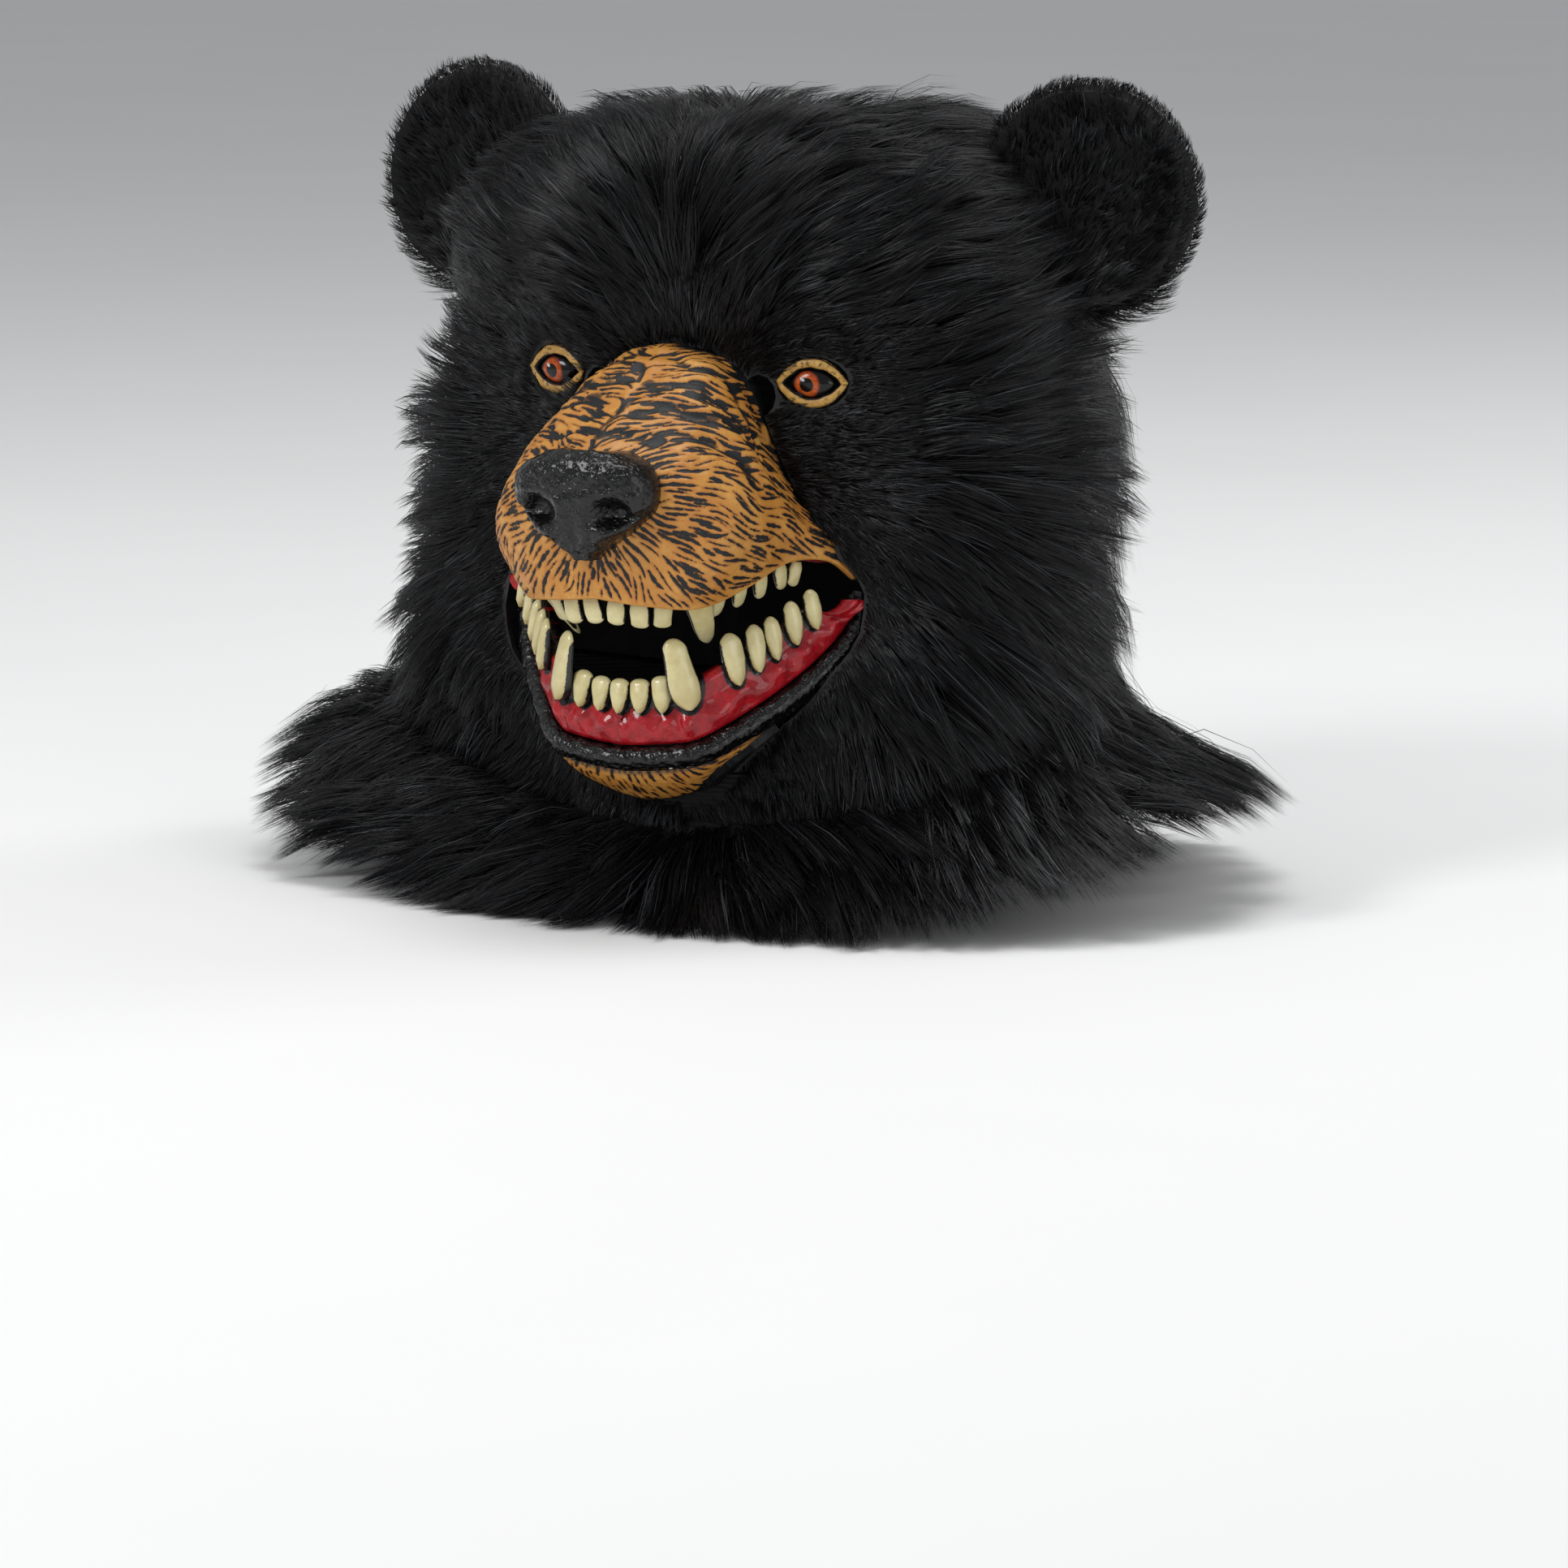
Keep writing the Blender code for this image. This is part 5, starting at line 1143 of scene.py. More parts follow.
def eye_material():
    """A hand-painted eye under clear gloss: black eyeball, burnt orange iris mottled in two shades and darker at
    its edge, black pupil and a painted pale highlight."""
    made, tree, shader = new_material("glossy painted eye", Roughness=0.20)
    where = read_paint(tree, "iris").outputs["Vector"]
    parts = add_node(tree, "ShaderNodeSeparateXYZ", {"Vector": where})
    x = parts.outputs["X"]
    z = parts.outputs["Y"]
    square = sums(tree, "MULTIPLY_ADD", x, x, sums(tree, "MULTIPLY", z, z))
    off = sums(tree, "SQRT", square)
    ragged = sums(tree, "MULTIPLY_ADD", noise(tree, 0.0022), 0.5, -0.25)
    off_ragged = sums(tree, "ADD", off, ragged)
    iris = ramp(tree, off_ragged, 4.9, 5.3, 1.0, 0.0)
    pupil = ramp(tree, off_ragged, 2.5, 2.8, 1.0, 0.0)
    orange = mix(tree, ramp(tree, noise(tree, 0.0016, 4.0), 0.3, 0.7), linear("#963A16"), linear("#C05E22"))
    orange = mix(tree, ramp(tree, off, 3.9, 5.0), orange, linear("#6E2810"))
    colour = mix(tree, iris, linear("#0B0B0D"), orange)
    colour = mix(tree, pupil, colour, linear("#0A0A0B"))
    across = sums(tree, "ADD", x, 1.7)
    above = sums(tree, "SUBTRACT", z, 2.0)
    tilted = sums(tree, "MULTIPLY_ADD", across, 0.6, above)
    spread_out = sums(tree, "MULTIPLY_ADD", above, -0.6, across)
    glint = sums(tree, "ADD", sums(tree, "POWER", sums(tree, "ABSOLUTE", tilted), 2.0),
                 sums(tree, "POWER", sums(tree, "ABSOLUTE", sums(tree, "MULTIPLY", spread_out, 0.55)), 2.0))
    glint = ramp(tree, sums(tree, "ADD", glint, ragged), 0.25, 0.65, 0.85, 0.0)
    colour = mix(tree, glint, colour, linear("#C3CCD2"))
    tree.links.new(colour, shader.inputs["Base Color"])
    shader.inputs["Specular IOR Level"].default_value = 0.15
    shader.inputs["Coat Weight"].default_value = 0.35
    shader.inputs["Coat Roughness"].default_value = 0.05
    return made


def lid_material():
    """Ochre paint over latex skin folds, dabbed with dark specks and shadowed in the creases."""
    made, tree, shader = new_material("ochre painted latex", Roughness=0.45)
    crease = read_paint(tree, "ink").outputs["Fac"]
    tan = mix(tree, ramp(tree, noise(tree, 0.004), 0.3, 0.7), linear("#A5782F"), linear("#C39A4E"))
    specks = ramp(tree, noise(tree, 0.0016, 3.0), 0.56, 0.64)
    tan = mix(tree, sums(tree, "MULTIPLY", specks, 0.75), tan, linear("#2B2116"))
    edge = sums(tree, "ADD", crease, sums(tree, "MULTIPLY_ADD", noise(tree, 0.0014), 0.9, -0.45))
    tree.links.new(mix(tree, ramp(tree, edge, -0.1, 0.2), tan, linear("#151210")), shader.inputs["Base Color"])
    tree.links.new(bump(tree, noise(tree, 0.0012), 0.0004, 0.7), shader.inputs["Normal"])
    return made


def floor_material():
    """A pale matt studio floor with a faint unevenness."""
    made, tree, shader = new_material("pale studio floor", Roughness=0.8)
    tree.links.new(mix(tree, noise(tree, 0.3), linear("#F2F2F2"), linear("#F7F7F7")), shader.inputs["Base Color"])
    return made


def hood_flow(points, normals):
    """The way the hood's hair is combed: away from the snout, parted on the forehead and swept out to
    the ears, back along the cheeks, and downhill on the nape and the neck."""
    across = points[..., 0]
    up = points[..., 2]
    behind = smoothstep((-points[..., 1] - WIDEST_BEHIND_EYES * NAPE_FROM) / HEAD_BACK)
    low = smoothstep((-up / HEAD_HEIGHT - NECK_FROM) / NECK_OVER)
    downhill = np.maximum(behind, low * NECK_DOWNHILL)
    snout = np.array((0.0, MUZZLE_REACH * FLOW_AHEAD, -MUZZLE_HEIGHT * FLOW_BELOW))
    flow = unit(points - snout) * (1 - downhill[..., None])
    flow[..., 2] -= downhill
    forehead = smoothstep((up - 0.010) / 0.030) * (1 - behind)
    parted = np.sign(across) * smoothstep(np.abs(across) / 0.014)
    flow[..., 0] += parted * forehead * 0.85
    flow[..., 0] += parted * low * 0.45
    cheek = smoothstep((-up - 0.02) / 0.05) * (1 - low) * (1 - behind)
    flow[..., 2] -= cheek * 0.25
    wander = ripple(points, 11, 0.07)
    flow = flow + np.cross(normals, unit(flow)) * (wander * 0.22)[..., None]
    flow = flow - normals * np.sum(flow * normals, axis=-1, keepdims=True)
    return unit(flow)


def lie_over(roots, normals, flow, depth, chance, lock, wisp):
    """Strands that leave the backing steeply and then lie over along the way they are combed. Some
    whole locks stand out more than the rest, and each wisp bends a little to one side."""
    count = len(roots)
    shares = STRAND_SHARES[None, :, None]
    stand = chance.uniform(0.45, 0.80, count)[lock]
    stand = stand + 0.35 * (chance.random(count) < 0.16)[lock]
    upright = stand * chance.uniform(0.75, 1.15, count) + 0.35 * (chance.random(count) < 0.015)
    reach = chance.uniform(1.25, 1.85, count) * (0.85 + 0.3 * chance.random(count))[wisp]
    aside = chance.normal(0.0, 0.16, count)[wisp] + chance.normal(0.0, 0.06, count)
    sway = chance.normal(0.0, 0.22, count)[lock]
    beside = np.cross(normals, flow)
    height = (depth * upright)[:, None, None] * (1 - (1 - shares) ** 2.2) * normals[:, None, :]
    along = (flow + beside * aside[:, None]) * (depth * LOCK_LEAN * reach)[:, None]
    run = along[:, None, :] * (0.35 * shares + 0.65 * shares**1.6)
    swing = beside[:, None, :] * (depth * sway)[:, None, None] * shares**2
    curves = roots[:, None, :] + height + run + swing
    sag = (depth**2 * 5.0)[:, None] * STRAND_SHARES[None, :] ** 2
    curves[..., 2] -= sag
    return curves


def strand_tone(points, chance):
    """How light each strand is: locks differ a little, and a few hairs are painted much lighter, as painted glints."""
    tone = 0.5 + 0.22 * ripple(points, 5, 0.018) + 0.22 * ripple(points, 6, 0.007)
    tone = tone + chance.normal(0.0, 0.20, len(points))
    # A few hairs painted much lighter, as painted glints on the fur.
    tone = np.where(chance.random(len(points)) < 0.05, tone + 0.7, tone)
    return np.clip(tone, 0.0, 1.4)


def make_hood_plush(finish):
    chance = np.random.default_rng(SEED)

    def density(points):
        fore = smoothstep((points[..., 1] + 0.11) / 0.10)
        short = 1 - smoothstep((hood_pile(points) - PILE_FACE) / 0.010)
        return 1.0 + 0.7 * fore + 1.6 * short

    total = HOOD_PIECES * HOOD_STRANDS
    angle, ring = spread(head_form, 0.0, SEAM_RING, int(total * 1.25), density, chance)
    roots = head_form(angle, ring)
    clear = ~((roots[:, 1] > -HEAD_FRONT) & face_gaps(roots[:, 0], roots[:, 2], 0.0012))
    order = np.flatnonzero(clear)[:total]
    angle = angle[order]
    ring = ring[order]
    roots = roots[order]
    normals = surface_normal(head_form, angle, ring, 0.0, SEAM_RING)
    pole = ring < 0.25
    normals[pole] = (0.0, 0.0, 1.0)
    depth = hood_pile(roots)
    flow = hood_flow(roots, normals)
    lock = leaders(roots, chance, 150)
    wisp = leaders(roots, chance, 14)
    curves = lie_over(roots, normals, flow, depth, chance, lock, wisp)
    deep = smoothstep((depth - PILE_FACE) / 0.012)
    curves = gather(curves, wisp, 0.50 * deep + 0.10)
    curves = gather(curves, lock, 0.22 * deep)
    widths = STRAND_WIDTH * chance.uniform(0.75, 1.25, len(roots)) * (0.75 + 0.25 * smoothstep(depth / 0.015))
    tone = strand_tone(roots, chance)
    world = placed(curves)
    world[..., 2] = np.maximum(world[..., 2], FLOOR_UP + 0.0006 + 0.002 * chance.random(len(roots))[:, None])
    facing = mirrored_vectors(normals)
    facing = unit(facing + chance.normal(0.0, 0.25, facing.shape))
    by_piece = np.arange(len(roots)) % HOOD_PIECES
    for number in range(HOOD_PIECES):
        mine = by_piece == number
        made = ribbons(f"hood_plush_{number + 1}", world[mine], facing[mine], widths[mine], tone[mine], finish)
        if number == 0:
            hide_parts("hood_fur")


def make_neck_band(finish):
    """The knitted strip sewn over the seam between the hood and the ruff, under the pile."""
    turn = np.arange(180) * 2 * math.pi / 180
    rows = []
    for ring in (SEAM_RING - 0.7, SEAM_RING - 0.3, SEAM_RING - 0.02):
        places = np.full_like(turn, ring)
        rows.append(head_form(turn, places) + 0.0009 * surface_normal(head_form, turn, places, 0.0, SEAM_RING))
    for share in (0.03, 0.10, 0.20):
        places = np.full_like(turn, share)
        rows.append(skirt_form(turn, places) + 0.0009 * surface_normal(skirt_form, turn, places, 0.0, 1.0))
    rows = np.array(rows)
    made = new_object("neck_band", placed(rows).reshape(-1, 3), quads(len(rows), len(turn), True), finish)
    band = made.modifiers.new("cloth", "SOLIDIFY")
    band.thickness = 0.0008
    band.offset = -1.0


def make_skirt_plush(finish):
    chance = np.random.default_rng(SEED + 1)

    def density(points):
        fore = smoothstep((points[..., 1] + 0.11) / 0.10)
        return 1.0 + 0.8 * fore

    angle, share = spread(skirt_form, 0.0, 1.0, SKIRT_STRANDS, density, chance)
    roots = skirt_form(angle, share)
    normals = surface_normal(skirt_form, angle, share, 0.0, 1.0)
    step = 0.02
    lower = np.minimum(share, 1.0 - step)
    flow = unit(skirt_form(angle, lower + step) - skirt_form(angle, lower))
    sideways = np.stack((np.sign(roots[:, 0]), np.zeros(len(roots)), np.zeros(len(roots))), axis=-1)
    fore = smoothstep((roots[:, 1] + 0.08) / 0.06) * smoothstep(np.abs(roots[:, 0]) / 0.02)
    flow = flow + sideways * (0.65 * fore)[:, None]
    flow = flow + np.cross(normals, flow) * (0.35 * ripple(roots, 17, 0.08))[:, None]
    flow = unit(flow - normals * np.sum(flow * normals, axis=-1, keepdims=True))
    at_seam = 1 - smoothstep(share / SEAM_SHARE)
    depth = PILE_LONG * (1 - 0.15 * at_seam) * (1 - 0.25 * smoothstep((share - 0.6) / 0.4))
    lock = leaders(roots, chance, 130)
    wisp = leaders(roots, chance, 14)
    curves = lie_over(roots, normals, flow, depth, chance, lock, wisp)
    curves = gather(curves, wisp, np.full(len(roots), 0.55))
    curves = gather(curves, lock, np.full(len(roots), 0.30))
    world = placed(curves)
    floor = FLOOR_UP + 0.0006 + 0.002 * chance.random(len(roots))[:, None]
    world[..., 2] = np.maximum(world[..., 2], floor)
    facing = unit(mirrored_vectors(normals) + chance.normal(0.0, 0.25, normals.shape))
    widths = STRAND_WIDTH * chance.uniform(0.8, 1.3, len(roots))
    made = ribbons("skirt_plush", world, facing, widths, strand_tone(roots, chance), finish)
    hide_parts("skirt_fur")


def ear_frame():
    facing = unit(np.array(EAR_FACING))
    sideways = unit(np.cross(facing, (0.0, 0.0, 1.0)))
    upright = np.cross(sideways, facing)
    centre = np.array((EAR_SPACING / 2, -EAR_BEHIND_EYES, EAR_ABOVE_EYES))
    return centre, facing, sideways, upright


def ear_surface(turn, place):
    """The ear's outside, from the middle of its cup at 0 over its rim to the middle of its back."""
    centre, facing, sideways, upright = ear_frame()
    half = EAR_THICKNESS / 2
    rows = [(0.0, half - EAR_CUP * EAR_HOLLOW)]
    rows += [(EAR_RADIUS * share, half * thick - EAR_CUP * cup) for share, thick, cup in EAR_RINGS]
    rows.append((0.0, -half - EAR_CUP * EAR_BACK_BULGE))
    row = between_rows(rows, place)
    spoke = sideways * np.cos(turn)[..., None] + upright * np.sin(turn)[..., None]
    return centre + spoke * row[..., :1] + facing * row[..., 1:2]


def make_ear_plush(finish):
    last = len(EAR_RINGS) + 1.0
    centre, facing, sideways, upright = ear_frame()
    for side, word in SIDES:
        chance = np.random.default_rng(SEED + 2 + side)
        turn, place = spread(ear_surface, 0.0, last, int(EAR_STRANDS * 1.6), lambda points: 1.0, chance)
        roots = ear_surface(turn, place)
        normals = surface_normal(ear_surface, turn, place, 0.0, last)
        half_turn = math.pi * place / last
        spoke = sideways * np.cos(turn)[:, None] + upright * np.sin(turn)[:, None]
        outwards = facing * np.cos(half_turn)[:, None] + spoke * np.sin(half_turn)[:, None]
        out = np.sum(normals * outwards, axis=-1) < 0
        flat = np.sum((roots - centre) * upright, axis=-1)
        inward = np.sum((roots - centre) * sideways, axis=-1)
        normals[out] = -normals[out]
        keep = (np.abs(roots[:, 0]) > 0.093) | (roots[:, 2] > 0.055)
        keep &= roots[:, 2] > 0.020
        order = np.flatnonzero(keep)[:EAR_STRANDS]
        roots, normals, flat, inward = roots[order], normals[order], flat[order], inward[order]
        foot = centre - upright * 0.045 - sideways * 0.020 * np.sign(sideways[0])
        flow = unit(roots - foot)
        rim = smoothstep((np.linalg.norm(roots - centre, axis=1) / EAR_RADIUS - 0.75) / 0.25)
        flow = flow - normals * np.sum(flow * normals, axis=-1, keepdims=True)
        flow = unit(flow + np.cross(normals, flow) * (0.35 * ripple(roots, 23, 0.03))[:, None])
        depth = np.full(len(roots), 0.0045) * (1 - 0.35 * rim)
        low = smoothstep((0.045 - roots[:, 2]) / 0.03)
        depth = depth + 0.006 * low
        lock = leaders(roots, chance, 60)
        wisp = leaders(roots, chance, 9)
        curves = lie_over(roots, normals, flow, depth, chance, lock, wisp)
        curves = gather(curves, wisp, np.full(len(roots), 0.35))
        flip = np.array((side, 1.0, 1.0))
        world = placed(curves * flip)
        front = unit(mirrored_vectors(normals * flip) + chance.normal(0.0, 0.25, normals.shape))
        widths = STRAND_WIDTH * chance.uniform(0.7, 1.1, len(roots))
        ribbons("ear_plush_" + word, world, front, widths, strand_tone(roots, chance), finish)


def evenly(line, count):
    """Places from 0 to 1 that lie at even steps along a line."""
    fine = np.linspace(0.0, 1.0, 2000)
    steps = np.linalg.norm(np.diff(line(fine), axis=0), axis=1)
    length = np.concatenate(((0.0,), np.cumsum(steps)))
    return np.interp(np.linspace(0.0, length[-1], count), length, fine)


def carve_strokes(grid, way, length, sparse, chance, apart, wide):
    """How deep inside a carved hair stroke each point of a grid lies, in millimetres. Strokes are drawn
    along the given way in random order, and each stops where it would come too near another."""
    rows, columns = grid.shape[:2]
    by_row = np.gradient(grid, axis=0)
    by_column = np.gradient(grid, axis=1)
    a = np.sum(by_row * by_row, axis=-1)
    b = np.sum(by_row * by_column, axis=-1)
    c = np.sum(by_column * by_column, axis=-1)
    d = np.sum(by_row * way, axis=-1)
    e = np.sum(by_column * way, axis=-1)
    size = np.maximum(a * c - b * b, 1e-16)
    step_row = (d * c - b * e) / size
    step_column = (a * e - d * b) / size
    travelled = np.sqrt(np.maximum(a * step_row**2 + 2 * b * step_row * step_column + c * step_column**2, 1e-12))
    step_row = step_row / travelled
    step_column = step_column / travelled
    stride = 0.00045
    most = 44
    tries = rows * columns // 2
    row = chance.random(tries) * (rows - 1)
    column = chance.random(tries) * (columns - 1)
    curve = chance.normal(0.0, 0.012, tries)
    track = np.empty((tries, most, 2))
    going = np.ones(tries, bool)
    alive = np.ones((tries, most), bool)
    turn = chance.normal(0.0, 0.10, tries)
    for step in range(most):
        track[:, step, 0] = row
        track[:, step, 1] = column
        alive[:, step] = going
        i = np.clip(np.rint(row), 0, rows - 1).astype(int)
        j = np.clip(np.rint(column), 0, columns - 1).astype(int)
        row = row + stride * step_row[i, j]
        column = column + stride * step_column[i, j] * (1 + turn)
        turn = turn + curve
        going = going & (row > 0) & (row < rows - 1) & (column > 0) & (column < columns - 1)
        row = np.clip(row, 0, rows - 1)
        column = np.clip(column, 0, columns - 1)
    pace_row = np.sqrt(a)
    pace_column = np.sqrt(c)
    taken = np.zeros((rows, columns), bool)
    samples = []
    radii = []
    for number in range(tries):
        i = int(track[number, 0, 0] + 0.5)
        j = int(track[number, 0, 1] + 0.5)
        wanted = int(length[i, j] * chance.uniform(0.7, 1.3) / stride)
        wanted = min(max(wanted, 3), most)
        if chance.random() < sparse[i, j]:
            continue
        cells = np.rint(track[number, :wanted]).astype(int)
        free = alive[number, :wanted] & ~taken[cells[:, 0], cells[:, 1]]
        run = wanted if free.all() else int(np.argmin(free))
        least = 0.80 if number < tries * 0.6 else 0.40
        if run < wanted * least or run * stride < 0.0030:
            continue
        half = wide[i, j] / 2 * chance.uniform(0.55, 1.35)
        share = (np.arange(run) + 0.5) / run
        swell = np.sin(math.pi * share**0.8) ** 0.5 * (1 + 0.18 * np.sin(share * 17 + number))
        for step in range(run):
            r, k = track[number, step]
            i = min(int(r), rows - 2)
            j = min(int(k), columns - 2)
            p = r - i
            q = k - j
            point = (grid[i, j] * (1 - p) + grid[i + 1, j] * p) * (1 - q)
            point = point + (grid[i, j + 1] * (1 - p) + grid[i + 1, j + 1] * p) * q
            samples.append(point)
            radii.append(half * swell[step])
            if step % 2 == 0:
                over_row = int(math.ceil(apart[i, j] / pace_row[i, j]))
                over_column = int(math.ceil(apart[i, j] / pace_column[i, j]))
                taken[max(i - over_row, 0) : i + over_row + 1, max(j - over_column, 0) : j + over_column + 1] = True
    tree = KDTree(len(samples))
    for place, sample in enumerate(samples):
        tree.insert(sample, place)
    tree.balance()
    depth = np.empty(rows * columns)
    for place, point in enumerate(grid.reshape(-1, 3)):
        found = tree.find_n(point, 3)
        depth[place] = max(radii[index] - distance for _, index, distance in found)
    return np.clip(depth.reshape(rows, columns) * 1000, -3.0, 1.0)


def snout_way(points):
    """The way the carved hair runs: back and down from the nose, out across the bridge from its middle
    line, and up in a fan at the brow."""
    across = points[..., 0]
    side = np.sign(across) * smoothstep(np.abs(across) / 0.003)
    nose = np.array((0.0, NOSE_AHEAD + 0.004, -NOSE_TOP_BELOW_EYES - NOSE_HEIGHT * 0.42))
    away = unit(points - nose)
    away[..., 2] -= 0.15
    over = smoothstep((points[..., 2] + 0.030) / 0.022)[..., None]
    bridge = np.stack((side, -0.55 - 0.25 * np.sin(points[..., 1] * 130), 0.05 * side), axis=-1)
    way = away * (1 - over) + bridge * over
    brow = smoothstep((points[..., 2] - 0.004) / 0.006)[..., None]
    back = 1 - smoothstep((points[..., 1] - 0.010) / 0.014)[..., None]
    fan = np.stack((side * 0.5, np.full_like(across, -0.5), np.full_like(across, 1.0)), axis=-1)
    way = way * (1 - brow * back) + fan * brow * back
    wander = ripple(points, 31, 0.02)
    way = unit(way)
    turned = np.cross(way, unit(points - snout_middle()))
    return unit(way + turned * (0.30 * wander)[..., None])


def folds(points):
    """Creases across the bridge and the cheek of the snout: how deep each point lies in one, from 0 to 1."""
    across = np.abs(points[..., 0])
    total = np.zeros(across.shape)
    for ahead, slope, bend, reach, wide in SNOUT_FOLDS:
        line = (ahead - slope * across / (MUZZLE_WIDTH / 2) - bend * (across / (MUZZLE_WIDTH / 2)) ** 2) * MUZZLE_REACH
        line = line + 0.0016 * np.sin(across * 260 + ahead * 9) + 0.0022 * ripple(points, 61, 0.016)
        off = (points[..., 1] - line) / wide
        inside = 1 - smoothstep((across / (MUZZLE_WIDTH / 2) - reach) / 0.15)
        high = smoothstep((points[..., 2] + 0.042) / 0.014)
        total = np.maximum(total, np.exp(-(off**2)) * inside * high)
    middle = points[..., 0] - 0.0022 * np.sin(points[..., 1] * 170)
    furrow = np.exp(-((middle / 0.0030) ** 2)) * smoothstep((points[..., 2] + 0.034) / 0.008)
    furrow = furrow * (1 - smoothstep((points[..., 2] - 0.006) / 0.006))
    return np.maximum(total, furrow * 0.9)


def snout_grid():
    """The snout's outside from one mouth corner to the other, and from the lip up to the ridge."""
    half = evenly(lambda place: muzzle_form(place, np.full_like(place, 0.4)), SNOUT_COLUMNS)
    turns = np.concatenate((-half[:0:-1], half))
    rises = evenly(lambda rise: muzzle_form(np.full_like(rise, 0.3), rise), SNOUT_ROWS)
    turn, rise = np.meshgrid(turns, rises, indexing="ij")
    normal = muzzle_normal(turn, rise)
    middle = len(half) - 1
    normal[middle, :, 0] = 0.0
    points = muzzle_form(turn, rise)
    normal[:, -1, 0] = 0.0
    return turn, rise, points, unit(normal)


def make_snout(finish):
    turn, rise, points, normal = snout_grid()
    chance = np.random.default_rng(SEED + 5)
    way = snout_way(points)
    over = smoothstep((points[..., 2] + 0.030) / 0.022)
    low = 1 - smoothstep((rise - 0.05) / 0.22)
    length = 0.0135 + 0.0050 * over
    sparse = 0.80 * low * smoothstep((np.abs(turn) - 0.20) / 0.15) * (1 - smoothstep((np.abs(turn) - 0.55) / 0.15))
    apart = np.full_like(rise, 0.00060)
    wide = np.full_like(rise, 0.00135) - 0.00030 * over
    ink = carve_strokes(points, way, length, sparse, chance, apart, wide)
    crease = folds(points)
    under_nose = np.exp(-((points[..., 0] / 0.0012) ** 2)) * (1 - over) * smoothstep((0.42 - rise) / 0.2)
    crease = np.maximum(crease, 0.5 * under_nose)
    hem = smoothstep((np.abs(turn) - 0.88 + 0.05 * ripple(points, 44, 0.006)) / 0.10) * smoothstep((rise - 0.12) / 0.2)
    brow = smoothstep((points[..., 2] - BRIDGE_ABOVE_EYES + 0.007 + 0.003 * ripple(points, 45, 0.005)) / 0.006)
    brow = brow * (1 - smoothstep((points[..., 1] - 0.008) / 0.012))
    hem = np.maximum(hem, brow)
    # Painted shade: along the creases the black strokes are drawn thicker. The edges by the mouth corners and at the
    # brow are inked as well.
    ink = np.clip(ink + 0.75 * crease + 0.80 * hem, -3.0, 1.0)
    carved = smoothstep((ink + 0.35) / 0.7)
    lumps = ripple(points, 41, 0.022) * 0.0006 + ripple(points, 42, 0.008) * 0.00018
    lumps = lumps * smoothstep(rise / 0.12)
    surface = points + normal * (lumps - 0.00042 * carved - 0.0011 * crease)[..., None]
    edge_down = unit(muzzle_form(turn[:, 0], np.zeros(len(turn))) - muzzle_form(turn[:, 0], np.full(len(turn), 0.03)))
    lifted = LATEX / 2 * (1 - smoothstep(rise / 0.15))
    surface = surface - edge_down[:, None] * lifted[..., None]
    # Painted shade: deep in the creases the skin is painted near black. The edges are painted dark too.
    shade = 0.85 * smoothstep((crease - 0.84 + 0.42 * ripple(points, 43, 0.008)) / 0.25)
    shade = np.maximum(shade, smoothstep((hem - 0.55) / 0.4))
    columns, rows = rise.shape
    rolled = []
    inner_rises = np.linspace(0.0, 1.0, 14)
    edge_out = normal[:, 0]
    for angle in np.linspace(0.0, math.pi, 8)[1:-1]:
        centre = points[:, 0] - edge_out * LATEX / 2 - edge_down * LATEX / 2
        rolled.append(centre + (edge_out * math.cos(angle) + edge_down * math.sin(angle)) * LATEX / 2)
    inner = []
    for place in inner_rises:
        column = np.argmin(np.abs(rise[0] - place))
        inner.append(points[:, column] - normal[:, column] * LATEX)
    outer = [surface[:, row] for row in range(rows)][::-1]
    sheet = np.array(outer + rolled + inner)
    values = np.array([ink[:, row] for row in range(rows)][::-1])
    blank = np.full((len(rolled) + len(inner), columns), -3.0)
    shades = np.array([shade[:, row] for row in range(rows)][::-1])
    dark = np.concatenate((np.zeros((len(rolled), columns)), np.ones((len(inner), columns))))
    collar = sheet[:, -1].copy()
    collar[:rows, 1] = head_front_at(collar[:rows, 0], collar[:rows, 2])[0] - COLLAR
    back = collar.copy()
    back[rows:, 1] = np.minimum(sheet[rows:, -1, 1], sheet[rows:, -1, 1] - COLLAR)
    front = back * np.array((-1.0, 1.0, 1.0))
    sheet = np.concatenate((front[:, None], sheet, back[:, None]), axis=1)
    ink_all = np.pad(np.concatenate((values, blank)), ((0, 0), (1, 1)), constant_values=-3.0)
    shade_all = np.pad(np.concatenate((shades, dark)), ((0, 0), (1, 1)), constant_values=1.0)
    total_rows, total_columns = sheet.shape[:2]
    made = new_object("snout", placed(sheet).reshape(-1, 3), quads(total_rows, total_columns, False), finish)
    paint(made, "ink", ink_all.ravel())
    paint(made, "shade", shade_all.ravel())
    weld_and_turn(made, 1e-5)
    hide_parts("muzzle")


